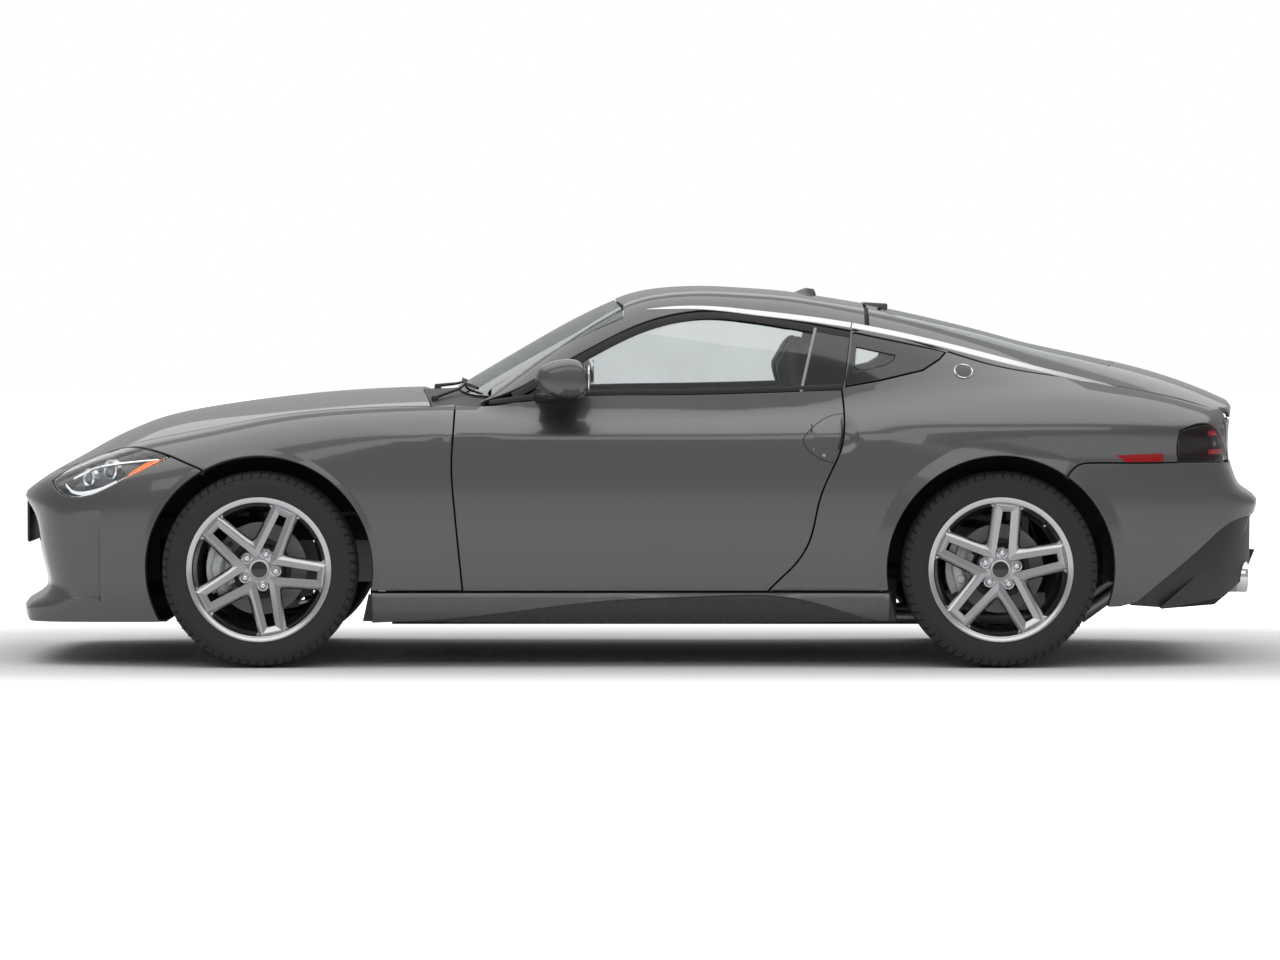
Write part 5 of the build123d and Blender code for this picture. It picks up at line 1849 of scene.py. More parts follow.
    def cowl(self) -> Panel:
        """The black panel at the foot of the windshield."""
        runs = (
            Run(TOP, turned_loop(self.hood_rear)),
            Run(TOP, (self.hood_rear[0], (-640, 742), self.cowl_rear[-1])),
            Run(TOP, turned_loop(self.cowl_rear)),
        )
        return Panel(runs, TOP, both_sides=True, gap=self.edge, depth=8.0)

    def roof(self) -> Panel:
        """The roof with both windshield pillars and the arches above the side windows."""
        foot = self.across(TOP, SIDE, self.cowl_rear[-1])
        rear = self.across(TOP, SIDE, self.lid_side[0])
        runs = (
            Run(TOP, turned_loop(self.screen_top)),
            Run(SIDE, turned_loop(self.pillar)),
            Run(SIDE, (self.pillar[0], foot, self.rail[0]), False),
            Run(SIDE, self.rail[:10]),
            Run(SIDE, (self.rail[9], rear), False),
            Run(TOP, (self.lid_side[0], (790, 300), (791, 0))),
        )
        return Panel(runs, ROOF_ROLL, both_sides=True, gap=self.edge)

    def windshield(self) -> Panel:
        """The windshield."""
        top = self.across(SIDE, TOP, self.pillar[-1])
        sides = [self.across(SIDE, TOP, p) for p in self.pillar]
        runs = (
            Run(TOP, self.cowl_rear),
            Run(TOP, [self.cowl_rear[-1]] + sides),
            Run(TOP, (top, *self.screen_top[1:])),
        )
        return Panel(runs, TOP, both_sides=True, thickness=5.0, depth=3.0, gap=1.0, roll=1.2)

    def hatch(self) -> Panel:
        """The hatch with its tail lip, round the rear window."""
        side = [self.across(TOP, TAIL_END, p) for p in self.lid_side]
        runs = (
            Run(TOP, ((791, 0), (790, 300), self.lid_side[0])),
            Run(TAIL_END, side + [(600, 350), (560, 303)]),
            Run(TAIL_END, ((560, 303), (480, 294), (300, 288), (0, 286))),
        )
        window = (Run(TOP, self.screen_rear), Run(TOP, self.screen_side), Run(TOP, self.screen_low))
        other = [Run(TOP, [(x, -y) for x, y in turned_loop(r.points)]) for r in reversed(window)]
        return Panel(runs, TAIL_END, both_sides=True, gap=self.edge, holes=((*window, *other),))

    def hatch_glass(self) -> Panel:
        """The rear window."""
        window = [Run(TOP, p) for p in (self.screen_rear, self.screen_side, self.screen_low)]
        return Panel(window, TOP, both_sides=True, thickness=5.0, depth=2.0, gap=1.0, roll=1.2)

    def quarter(self) -> Panel:
        """A rear quarter, from the sill to the roof, round the small window."""
        rear = self.across(TOP, SIDE, self.lid_side[0])
        lid_end = self.across(TOP, SIDE, self.lid_side[-1])
        runs = (
            Run(SIDE, (rear, self.rail[9]), False),
            Run(SIDE, (self.rail[9], (722, 1060), self.door_rear[0])),
            Run(SIDE, self.door_rear),
            Run(SIDE, (self.door_rear[-1], (858, 262)), False),
            arc(SIDE, (REAR_AXLE_X, AXLE_Z), self.arch_r, 190.5, 55.0),
            Run(SIDE, self.bumper_seam),
            Run(SIDE, self.tail_lamp),
            Run(SIDE, (self.tail_lamp[-1], (1960, 838), lid_end)),
            Run(TOP, turned_loop(self.lid_side)),
        )
        window = Run(SIDE, self.quarter_hole, False)
        x0, z0, wide, tall, _ = self.form.scoop
        bend = arc(SIDE, (0, 0), 1, -84, 84).points
        scoop = [
            Run(SIDE, [(x0 + wide * share * x, z0 + tall * share * z) for x, z in bend])
            for share in (1.06, 0.97, 0.86, 0.70, 0.50, 0.28)
        ]
        return Panel(
            runs, FENDER_ROLL, gap=self.edge, holes=((window,),),
            features=(self.crease(700, 1000), *self.flare(REAR_AXLE_X, self.form.rear_lip_r, 185, 40), *scoop),
        )

    @staticmethod
    def flare(axle: float, lip_r: float, start: float, stop: float) -> list[Run]:
        """The two lines between which a wheel arch's flare rises."""
        return [arc(SIDE, (axle, AXLE_Z), lip_r + step, start, stop) for step in (-10, -3, 4)]

    def tail_lamp_cover(self) -> Panel:
        """The red cover of a tail lamp."""
        runs = (
            Run(SIDE, self.tail_lamp),
            Run(SIDE, (self.tail_lamp[-1], (1960, 838), (2060, 846))),
            Run(REAR_WRAP, ((330, 850), (318, 780), (332, 712))),
            Run(SIDE, ((2060, 709), (1960, 706), self.tail_lamp[0])),
        )
        return Panel(runs, REAR_WRAP, gap=self.edge, thickness=6.0, grid=12.0, depth=1.0)

    def rear_bumper(self) -> Panel:
        """The rear bumper."""
        top = self.across(SIDE, REAR_WRAP, self.tail_lamp[0])
        runs = (
            Run(REAR_WRAP, ((0, 706), (300, 706), top)),
            Run(SIDE, turned_loop(self.bumper_seam)),
            arc(SIDE, (REAR_AXLE_X, AXLE_Z), self.arch_r, 55.0, -20.0),
            Run(SIDE, ((1606, 205), (1655, 206), self.diffuser[0]), False),
            Run(SIDE, self.diffuser),
            Run(REAR_WRAP, (self.across(SIDE, REAR_WRAP, self.diffuser[-1]), (200, 526), (0, 528))),
        )
        flare = self.flare(REAR_AXLE_X, self.form.rear_lip_r, 40, -17)
        return Panel(runs, REAR_WRAP, both_sides=True, gap=self.edge, thickness=14.0, features=flare)

    def valance(self) -> Panel:
        """The black part under the rear bumper."""
        high, low = (2150, 536), (2150, 488)
        runs = (
            Run(REAR_WRAP, ((0, 546), (200, 544), self.across(SIDE, REAR_WRAP, high))),
            Run(SIDE, (high, (2060, 514), (1960, 440), (1820, 324), (1700, 234))),
            Run(SIDE, ((1700, 234), (1690, 212), (1800, 203)), False),
            Run(SIDE, ((1800, 203), (1960, 332), low)),
            Run(REAR_WRAP, (self.across(SIDE, REAR_WRAP, low), (200, 484), (0, 483))),
        )
        return Panel(runs, REAR_WRAP, both_sides=True, gap=0.5, thickness=10.0, depth=9.0)

    def sill(self) -> Panel:
        """A sill cover, cut away along its lower edge."""
        (x0, low), (x1, end) = self.sill_edge[0], self.sill_edge[-1]
        ends = ((x0, low), (x0 + 1, self.sill_top), (x1, self.sill_top), (x1, end))
        runs = (Run(SIDE, ends, False), Run(SIDE, turned_loop(self.sill_edge)))
        return Panel(runs, SIDE, gap=self.edge)

    def sill_foot(self) -> Panel:
        """The black skirt under and behind a sill cover."""
        runs = (
            Run(SIDE, ((-958, 156), (-936, 256), (859, 256), (888, 156)), False),
            Run(SIDE, ((888, 156), (0, self.sill_low), (-958, 156))),
        )
        return Panel(runs, SIDE, gap=1.0, depth=6.0, thickness=24.0)

    def door_glass(self) -> Panel:
        """The frameless window of a door."""
        runs = (
            Run(SIDE, ((-400, 922), (-300, 1010), (-150, 1092), (0, 1164), (120, 1199), (250, 1213), (400, 1201),
                       (607, 1166))),
            Run(SIDE, ((607, 1166), (554, 938)), False),
            Run(SIDE, ((554, 938), (100, 928), (-335, 913), (-400, 922))),
        )
        return Panel(runs, SIDE, thickness=5.0, depth=7.0, gap=1.0, roll=1.2)

    def quarter_glass(self) -> Panel:
        """The small window behind a door."""
        return patch(self.quarter_pane, 0.4, 1.0, 5.0, 5.0, 14.0)

    def quarter_frame(self) -> Panel:
        """The gloss black field round the small window."""
        hole = (Run(SIDE, self.quarter_pane, False),)
        return Panel(
            (Run(SIDE, self.quarter_hole, False),), SIDE, thickness=9.0, depth=1.0, gap=1.0, roll=2.0, grid=14.0,
            holes=(hole,),
        )

    def applique(self) -> Panel:
        """The black field behind the window of a door."""
        corners = ((613, 1170), (732, 1150), (704, 962), (562, 946), (613, 1170))
        return patch(corners, 1.0, 2.0, 12.0, 1.0, 16.0)

    def build(self) -> None:
        """Makes every panel, finishes it and hands it to its body."""
        paint, window = (Palette.paint,), (Palette.window,)
        both = (
            ("hood_panel", self.hood(), "hood_lid", "body_paint", paint, ("hood",)),
            ("front_bumper_cover", self.front_bumper(), "car_body", "body_paint", paint, ("front_bumper",)),
            ("cowl_panel", self.cowl(), "car_body", "black_trim", (Palette.black_trim,), ("cowl",)),
            ("roof_panel", self.roof(), "car_body", "body_paint", paint, ("roof",)),
            ("windshield_glass", self.windshield(), "car_body", "window_glass", (Palette.screen,), ("windshield",)),
            ("hatch_panel", self.hatch(), "hatch_lid", "body_paint", paint, ("hatch",)),
            ("rear_window_glass", self.hatch_glass(), "hatch_lid", "window_glass", (Palette.screen,), ("hatch_glass",)),
            ("rear_bumper_cover", self.rear_bumper(), "car_body", "body_paint", paint, ("rear_bumper",)),
            ("rear_valance", self.valance(), "car_body", "black_trim", (Palette.black_trim,), ()),
        )
        for name, panel, body, slot, finishes, nodes in both:
            put(panel.skin(self.form).object(name), body, finishes, nodes)
        paired = (
            ("front_fender_panels", self.fender(), "body_paint", paint, ("front_fenders",)),
            ("rear_quarter_panels", self.quarter(), "body_paint", paint, ("rear_quarters",)),
            ("sill_covers", self.sill(), "body_paint", paint, ()),
            ("sill_feet", self.sill_foot(), "black_trim", (Palette.black_trim,), ("sills",)),
            ("quarter_window_frames", self.quarter_frame(), "gloss_black", (Palette.gloss_black,), ()),
            ("quarter_window_glass", self.quarter_glass(), "window_glass", window, ("quarter_glass",)),
            ("headlamp_covers", self.headlamp(), "lamp_front", (Palette.lens,), ("headlamps",)),
            ("tail_lamp_covers", self.tail_lamp_cover(), "lamp_rear", (Palette.smoked,), ("tail_lamps",)),
        )
        for name, panel, slot, finishes, nodes in paired:
            skin = panel.skin(self.form)
            put(skin.joined(skin.mirrored()).object(name), "car_body", finishes, nodes)
        door, glass = self.door().skin(self.form), self.door_glass().skin(self.form)
        inner = Panel(self.door().outline, SIDE, gap=4.0, thickness=44.0, depth=12.6, roll=3.0).skin(self.form)
        card = Panel(self.door().outline, SIDE, gap=20.0, thickness=42.0, depth=57.0, roll=16.0).skin(self.form)
        applique = self.applique().skin(self.form)
        for side, flip in SIDES:
            mine = (lambda s: s.mirrored()) if flip > 0 else (lambda s: s)
            put(mine(door).object(f"door_panel_{side}"), f"door_body_{side}", paint, (f"door_{side}",))
            put(mine(glass).object(f"door_window_{side}"), f"door_body_{side}", window,
                (f"door_glass_{side}",))
            for piece, label, slot, finish in (
                (inner, "door_frame", "body_paint", Palette.paint), (card, "door_card", "cabin_plastic", Palette.cabin),
                (applique, "door_applique", "gloss_black", Palette.gloss_black),
            ):
                put(mine(piece).object(f"{label}_{side}"), f"door_body_{side}", (finish,))


# ---------------------------------------------------------------- seams, seals, trims and small parts


def strip(half: float, top: float, low: float, crown: float = 0.0) -> tuple[Pair, ...]:
    """The section of a flat strip: half its width, the depths of its faces and its crown.

    Args:
        half: half its width.
        top: the depth of its outer face's edges.
        low: the depth of its inner face.
        crown: how far its middle stands above those edges.

    Returns:
        The section's corners.
    """
    if not crown:
        return ((-half, top), (half, top), (half, low), (-half, low))
    return (
        (-half, top), (-0.55 * half, top - crown), (0.55 * half, top - crown), (half, top), (half, low), (-half, low),
    )


@dataclass(frozen=True)
class Ribbon:
    """A strip laid along a run on the form, its section given across the run and down into the car."""

    run: Run
    section: Sequence[Pair]
    widths: Sequence[float] = (1.0, 1.0)

    def add_to(self, shape: Shape, form: BodyForm, mark: int = 0) -> None:
        """Adds the strip to a shape.

        Args:
            shape: the shape.
            form: the body's field.
            mark: the material number.
        """
        points = self.run.chart.lift(form, self.run.sampled(RIBBON_STEP))
        normals = form.normals(points)
        side = np.cross(normals, np.gradient(points, axis=0))
        side /= np.maximum(np.linalg.norm(side, axis=1, keepdims=True), 1e-9)
        share = np.linspace(0, 1, len(points))
        scale = np.interp(share, np.linspace(0, 1, len(self.widths)), self.widths)[:, None]
        rows = [points + side * scale * across - normals * depth for across, depth in self.section]
        shape.loft(list(np.stack(rows, 1)), mark)


@dataclass
class Fittings:
    """Seams, seals, trims, lamps and the other small parts of the body, built at plus Y."""

    shell: BodyShell
    blade: Sequence[tuple[float, float, float]] = (
        (24, 1232, 3), (110, 1238, 15), (250, 1237, 20), (396, 1222, 25), (560, 1203, 27), (733, 1178, 29),
    )
    blade_rear: Sequence[tuple[float, float, float]] = (
        (738, 1177, 29), (900, 1145, 31), (1065, 1107, 34), (1328, 1040, 36), (1498, 999, 36), (1580, 981, 22),
        (1650, 964, 2),
    )
    badge: Pair = (1121.0, 1018.5)
    badge_r: float = 33.0
    marker: Sequence[Pair] = ((1632, 733), (1804, 738), (1802, 709), (1668, 708), (1632, 733))
    paddle: Sequence[Pair] = (
        (692, 868), (661, 855), (627, 832), (603, 806), (597, 787), (604, 770), (622, 758), (655, 751), (680, 752),
        (692, 868),
    )
    grip: Sequence[Pair] = (
        (678, 749), (688, 751), (696, 790), (698, 830), (696, 870), (691, 850), (690, 800), (678, 749),
    )
    handle_line: Sequence[Pair] = (
        (701, 874), (668, 870), (640, 860), (606, 838), (574, 808), (561, 784), (570, 760), (596, 735), (630, 715),
        (670, 705),
    )
    amber: Sequence[Pair] = (
        (-1790, 634), (-1752, 676), (-1702, 706), (-1630, 722), (-1636, 713), (-1672, 690), (-1722, 662), (-1765, 636),
        (-1790, 634),
    )
    brow: Sequence[Pair] = ((-1964, 654), (-1903, 685), (-1811, 707), (-1730, 716), (-1660, 722))
    day_light: Sequence[Pair] = ((-1990, 634), (-1968, 611), (-1920, 602), (-1860, 617), (-1805, 644))
    plate_half: float = 155.0

    def stud(
        self, shape: Shape, chart: Chart, place: Pair, profile: Sequence[Pair], mark: int = 0, depth: float = 0.0,
    ) -> None:
        """Adds a turned part that stands square to the form at a place.

        Args:
            shape: the shape.
            chart: the map that places it.
            place: its place there.
            profile: its (radius, height along the axis) pairs.
            mark: the material number.
            depth: how far under the surface, in millimetres.
        """
        flat = np.array([place], float)
        point = chart.lift(self.shell.form, flat, depth)
        shape.lathe(profile, point[0], self.shell.form.normals(point)[0], 40, mark)

    def ribbons(self, name: str, rows: Sequence[Ribbon], body: str, slot: str, finish: Finish) -> None:
        """Makes strips on both sides of the car, as one piece, or one for each door."""
        self.pair(name, self.laid(rows), body, slot, (finish,))

    def laid(self, rows: Sequence[Ribbon]) -> Shape:
        """The strips as one shape.

        Args:
            rows: the strips.

        Returns:
            The shape.
        """
        shape = Shape()
        for row in rows:
            row.add_to(shape, self.shell.form)
        return shape

    @staticmethod
    def pair(name: str, shape: Shape, body: str, slot: str, finishes: Sequence[Finish], bevel: float = 0.0) -> None:
        """Makes a shape and its image: one piece on the body, or one piece on each door.

        Args:
            name: the object's name.
            shape: the shape at plus Y.
            body: the body they ride on, or door_body for one on each door.
            slot: handed to on_doors, which does not use it.
            finishes: their finishes, by material number.
            bevel: the width of the rounded edges, in millimetres.
        """
        if body != "door_body":
            image = shape.mirrored()
            put(shape.mapped(lambda p: p).merged(image).object(name, bevel=bevel), body, finishes)
            return
        on_doors(shape, name, slot, finishes, bevel=bevel)

    def panel(self, name: str, panel: Panel, body: str, slot: str, finish: Finish) -> None:
        """Makes a small panel on both sides of the car, or one on each door.

        Args:
            name: the object's name.
            panel: the panel at plus Y.
            body: the body they ride on, or door_body for one on each door.
            slot: handed to on_doors, which does not use it.
            finish: its finish.
        """
        skin = panel.skin(self.shell.form)
        if body != "door_body":
            both = skin if panel.both_sides else skin.joined(skin.mirrored())
            put(both.object(name), body, (finish,))
            return
        on_doors(skin, name, slot, (finish,))

    def seams(self) -> None:
        """The dark flanges under the gaps between panels, and the jambs round the doors."""
        shell = self.shell
        rear = shell.across(TOP, SIDE, shell.lid_side[0])
        runs = [Run(TOP, p) for p in (
            shell.hood_front, shell.hood_corner, shell.hood_side, shell.hood_rear, shell.lid_side, shell.screen_top,
            shell.cowl_rear, ((791, 0), (790, 300), shell.lid_side[0]),
        )]
        runs += [Run(SIDE, p) for p in (
            shell.lamp_low, shell.lamp_top(), shell.pillar, (shell.lamp_low[-1], (-1560, 705), (-1499, 680)),
            shell.bumper_seam, shell.tail_lamp, (shell.tail_lamp[-1], (1960, 838)),
            ((-925, 262), (862, 262)), ((-611, 262), (-925, 262)),
            (rear, shell.rail[9], (722, 1060), shell.door_rear[0]),
        )]
        self.ribbons(
            "seam_flanges", [Ribbon(run, strip(13, 12.6, 15.6)) for run in runs], "car_body", "liner_plastic",
            Palette.liner,
        )
        jamb = ((-9, 13), (-6, 13), (-6, 108), (14, 108), (14, 112), (-9, 112))
        rows = [Ribbon(Run(SIDE, p, q), jamb) for p, q in (
            (shell.door_front, True), (shell.door_rear, True), ((shell.door_rear[-1], shell.door_front[0]), False),
        )]
        self.ribbons("door_jambs", rows, "car_body", "liner_plastic", Palette.liner)

    def seals(self) -> None:
        """The rubber round the side windows and the belt mouldings."""
        shell = self.shell
        header = Run(SIDE, [(x, z - 15) for x, z in shell.rail[1:10]])
        self.ribbons(
            "window_seals", [Ribbon(header, strip(15, 2.0, 6.0, 1.5))], "car_body", "black_trim", Palette.rubber,
        )
        belt = Run(SIDE, [(x, z + 9) for x, z in shell.belt[1:]])
        self.ribbons(
            "belt_mouldings", [Ribbon(belt, strip(11, 0.0, 8.0, 3.0))], "door_body", "black_trim", Palette.rubber,
        )
        edge = Run(SIDE, ((610, 1168), (557, 948)), False)
        self.ribbons(
            "window_edges", [Ribbon(edge, strip(5, -1.0, 5.0, 1.5))], "door_body", "black_trim", Palette.cabin_grey,
        )

    def trims(self) -> None:
        """The bright blade above the windows, the badge discs and the side markers."""
        section = ((-0.5, 1.0), (-0.42, -1.8), (0.42, -1.8), (0.5, 1.0), (0.5, 4.0), (-0.5, 4.0))
        rows = []
        for blade in (self.blade, self.blade_rear):
            at = np.cumsum([0.0] + [math.dist(a[:2], b[:2]) for a, b in zip(blade, blade[1:])])
            widths = np.interp(np.linspace(0, at[-1], 40), at, [row[2] for row in blade])
            rows.append(Ribbon(Run(SIDE, [row[:2] for row in blade]), section, widths))
        self.ribbons("roof_blades", rows, "car_body", "wheel_alloy", Palette.satin)
        r = self.badge_r
        shape = Shape()
        self.stud(
            shape, SIDE, self.badge, ((r - 4, 3.0), (r - 2, 4.2), (r, 3.0), (r, -3.0), (r - 4, -3.0), (r - 4, 3.0)), 1,
        )
        self.stud(shape, SIDE, self.badge, ((0, 3.0), (r - 6, 2.4), (r - 4, 1.6), (r - 4, -2.0)), 0)
        self.pair("plain_badges", shape, "car_body", "gloss_black", (Palette.gloss_black, Palette.chrome))
        marker = patch(self.marker, 0.5, 1.5, 7.0, -1.2, 12.0)
        self.panel("side_markers", marker, "car_body", "lamp_rear", Palette.red_reflector)

    def handles(self) -> None:
        """The flush door handles."""
        paddle = patch(self.paddle, 0.4, 1.6, 4.0, -1.6, 10.0)
        self.panel("handle_paddle", paddle, "door_body", "body_paint", Palette.paint)
        grip = patch(self.grip, 0.2, 0.4, 3.0, -0.5, 8.0)
        self.panel("handle_grip", grip, "door_body", "black_trim", Palette.rubber)
        line = Ribbon(Run(SIDE, self.handle_line), strip(1.6, -0.3, 1.0))
        self.ribbons("handle_outline", (line,), "door_body", "black_trim", Palette.rubber)
        shape = Shape()
        for place, r in (((632, 732), 6.0), ((597, 753), 3.0)):
            self.stud(shape, SIDE, place, ((0, 0.9), (r - 1, 0.8), (r, -0.5)))
        self.pair("handle_lock", shape, "door_body", "black_trim", (Palette.satin,))

    def glass_tools(self) -> None:
        """The wipers, the aerial fin and the high brake lamp."""
        form = self.shell.form
        shape = Shape()
        blades = (
            (((-634, -30), (-628, -200), (-606, -370), (-566, -540)), (-716, -560), (-614, -330)),
            (((-566, 560), (-606, 400), (-630, 230), (-638, 60)), (-726, 20), (-628, 250)),
        )
        for path, pivot, hold in blades:
            points = TOP.lift(form, Run(TOP, path).sampled(24.0), -9.0)
            shape.tube(points, 4.0, 0, 8)
            shape.tube(points + (0, 0, 5), 2.6, 0, 8)
            arm = TOP.lift(form, Run(TOP, (pivot, hold), False).sampled(40.0), -12.0)
            arm[:, 2] -= np.linspace(10, 0, len(arm))
            shape.tube(arm, np.linspace(7, 4, len(arm)), 0, 10)
            self.stud(shape, TOP, pivot, ((0, 9), (9, 8), (12, 4), (13, -10)))
        put(shape.object("wipers", 40), "car_body", (Palette.black_trim,))
        shape = Shape()
        rings = []
        for share in np.linspace(0, 1, 7):
            length, width = 42 * (1 - 0.66 * share**1.4), 17 * (1 - 0.82 * share**0.8)
            middle = 588 + 20 * share
            ring = []
            for t in np.linspace(0, 2 * math.pi, 20, endpoint=False):
                x = middle + length * math.cos(t) * abs(math.cos(t)) ** 0.1
                ring.append((x, width * math.sin(t), float(form.roof(x)) - 5 + 27 * share))
            rings.append(np.array(ring))
        put(shape.loft(rings).object("aerial_fin", 50), "car_body", (Palette.paint,))
        box = Shape().block((797, -150, 1232), (881, 150, 1262))
        box = box.mapped(lambda p: p - np.stack(
            (p[:, 0] * 0, p[:, 0] * 0, (p[:, 0] - 797) * 0.06 + (p[:, 1] / 150) ** 2 * 3), 1,
        ))
        put(box.object("brake_lamp_box", 40, 4, 3), "hatch_lid", (Palette.paint,))
        bar = Shape().block((878, -128, 1240), (882.5, 128, 1250))
        put(bar.object("brake_lamp_lens", 40, 1.5), "hatch_lid", (Palette.red_lens,))

    def front_lamps(self) -> None:
        """The insides of the headlamps."""
        shell, form = self.shell, self.shell.form
        outline = shell.headlamp().outline
        self.panel("headlamp_housings", Panel(outline, FENDER_ROLL, gap=0.5, thickness=3.0, depth=46.0, grid=14.0),
                   "car_body", "lamp_front", Palette.lamp_dark)
        wall = ((-2.0, 8.0), (1.0, 8.0), (1.0, 48.0), (-2.0, 48.0))
        self.ribbons(
            "headlamp_walls", [Ribbon(run, wall) for run in outline], "car_body", "lamp_front", Palette.gloss_black,
        )
        # the amber reflectors glow as painted light
        amber = patch(self.amber, 0.5, 2.6, 6.0, 9.0, 10.0)
        self.panel("amber_reflectors", amber, "car_body", "lamp_front", Palette.amber)
        self.ribbons("headlamp_brows", (Ribbon(Run(SIDE, self.brow), strip(4, 11, 17, 1.5), (0.3, 1.4, 0.8)),),
                     "car_body", "lamp_front", Palette.chrome)
        self.ribbons("day_lights", (Ribbon(Run(SIDE, self.day_light), strip(7, 11, 20, 2.0), (0.4, 1.2, 0.7)),),
                     "car_body", "lamp_front", Palette.day_glow)
        shape = Shape()
        for place, r, deep in (((-1829, 675), 27.0, 34.0), ((-1905, 648), 22.0, 36.0)):
            at = SIDE.lift(form, np.array([place], float), deep)[0]
            way = unit((-0.70, 0.70, 0.08))
            shape.lathe(((r - 4, -2), (r - 2, 5), (r + 4, 9), (r + 10, 6), (r + 12, -14)), at, way, 40, 0)
            shape.lathe(((0, 15), (r * 0.4, 13), (r * 0.75, 8), (r - 4, 0)), at, way, 40, 1)
        self.pair("headlamp_projectors", shape, "car_body", "lamp_front", (Palette.lamp_bowl, Palette.lens_ball))

    def rear_lamps(self) -> None:
        """The insides of the tail lamps, the panel between them and the plate under it."""
        outline = self.shell.tail_lamp_cover().outline
        self.panel("tail_lamp_housings", Panel(outline, REAR_WRAP, gap=0.5, thickness=3.0, depth=38.0, grid=14.0),
                   "car_body", "lamp_rear", Palette.lamp_dark)
        wall = ((-1.0, 8.0), (2.0, 8.0), (2.0, 40.0), (-1.0, 40.0))
        self.ribbons(
            "tail_lamp_walls", [Ribbon(run, wall) for run in outline], "car_body", "lamp_rear", Palette.gloss_black,
        )
        rows = [Ribbon(Run(REAR_WRAP, ((350, z), (480, z), (640, z))), strip(8, 14, 22, 2)) for z in (806, 742)]
        self.ribbons("tail_light_bars", rows, "car_body", "lamp_rear", Palette.red_lens)
        middle = Ribbon(Run(REAR_WRAP, ((360, 774), (480, 774), (620, 774))), strip(12, 20, 26, 2))
        self.ribbons("tail_lamp_bowls", (middle,), "car_body", "lamp_rear", Palette.lamp_bowl)
        panel = Panel(
            (Run(REAR_WRAP, ((0, 846), (160, 848), (330, 850))), Run(REAR_WRAP, ((330, 850), (318, 780), (332, 712))),
             Run(REAR_WRAP, ((332, 712), (160, 709), (0, 709)))),
            REAR_WRAP, both_sides=True, depth=5.0, thickness=10.0,
        )
        self.panel("tail_panel", panel, "car_body", "gloss_black", Palette.gloss_black)
        half = self.plate_half
        corners = ((-half, 590), (half, 590), (half, 694), (-half, 694), (-half, 590))
        plate = Panel(
            (Run(REAR_WRAP, corners, False),), REAR_WRAP, gap=0.0, roll=1.5, thickness=5.0, depth=-3.0, grid=30.0,
        )
        put(plate.skin(self.shell.form).object("rear_blank_plate"), "car_body", (Palette.plate,))

    def nose_parts(self) -> None:
        """The grille mesh, the front plate and the tray under the nose."""
        form = self.shell.form
        rows = [
            Ribbon(Run(FRONT_WRAP, ((-436, z), (0, z), (436, z))), strip(3.0, 30, 48, 1.5)) for z in range(268, 540, 22)
        ]
        for row, z in enumerate(range(268, 520, 22)):
            for a in range(-420 + 15 * (row % 2), 425, 30):
                rows.append(Ribbon(Run(FRONT_WRAP, ((a, z), (a, z + 22)), False), strip(1.6, 33, 46)))
        shape = self.laid(rows)
        put(shape.object("grille_mesh", 40), "car_body", (Palette.gloss_black,), ("grille",))
        hole = self.shell.front_bumper().holes[0]
        back = Panel(hole, FRONT_WRAP, gap=-22.0, thickness=4.0, depth=74.0, grid=40.0)
        put(back.skin(form).object("grille_shadow"), "car_body", (Palette.liner,))
        wall = ((-3.0, 12.0), (2.0, 12.0), (2.0, 80.0), (-3.0, 80.0))
        self.ribbons("grille_walls", [Ribbon(run, wall) for run in hole], "car_body", "liner_plastic", Palette.liner)
        half = self.plate_half
        shape = Shape().block((-2182, -half, 404), (-2172, half, 558)).block((-2172, -70, 500), (-2128, 70, 552))
        put(shape.object("plate_bracket", 40, 3), "car_body", (Palette.black_trim,))
        shape = Shape().block((-2185, -half + 5, 410), (-2181, half - 5, 552))
        put(shape.object("front_blank_plate", 40, 1.5), "car_body", (Palette.plate,))
        z, rear = 152.0, -1640.0
        ring = FRONT_WRAP.lift(form, np.stack((np.linspace(-700, 700, 61), np.full(61, z)), 1), 7.0)
        ring = np.vstack((ring, [(rear, ring[-1][1], z), (rear, ring[0][1], z)]))
        tray = Shape().loft([ring, ring + (0, 0, 7)])
        put(tray.object("front_undertray", 30), "car_body", (Palette.liner,))

    def mirror(self) -> None:
        """The door mirrors."""
        profile = Run(SIDE, (
            (-364, 996), (-352, 1030), (-306, 1056), (-245, 1066), (-196, 1052), (-180, 1010), (-178, 955), (-200, 930),
            (-246, 923), (-312, 934), (-350, 962), (-364, 996),
        )).sampled(24.0)[:-1]
        middle = np.array((-262.0, 994.0))
        rings = []
        for y, scale in (
            (800, 0.34), (806, 0.62), (828, 0.84), (870, 0.96), (920, 1.0), (966, 0.96), (990, 0.82), (1001, 0.55),
        ):
            flat = middle + (profile - middle) * scale
            flat[:, 0] += (1 - scale) * 62
            rings.append(section_at(flat, y))
        shape = Shape().loft(rings)
        points = np.vstack(shape.points)
        shape.marks = [1 if points[list(f)][:, 2].mean() < 951 else 0 for f in shape.faces]
        finishes = (Palette.paint, Palette.gloss_black)
        on_doors(shape, "mirror_shell", "body_paint", finishes, "mirror", smooth=50, smoother=1)
        foot = []
        for y, low, high, x0, x1 in (
            (748, 905, 950, -372, -214), (800, 918, 944, -350, -216), (860, 925, 946, -330, -222),
        ):
            foot.append(np.array([(x0, y, low), (x1, y, low), (x1, y, high), (x0, y, high - 6)], float))
        self.pair("mirror_foot", Shape().loft(foot), "door_body", "black_trim", (Palette.black_trim,), 5)
        turns = np.linspace(0, 2 * math.pi, 36, endpoint=False)
        ring = np.array([(
            -178.0, 902 + 84 * math.copysign(abs(math.cos(t)) ** 0.6, math.cos(t)),
            996 + 48 * math.copysign(abs(math.sin(t)) ** 0.6, math.sin(t)),
        ) for t in turns])
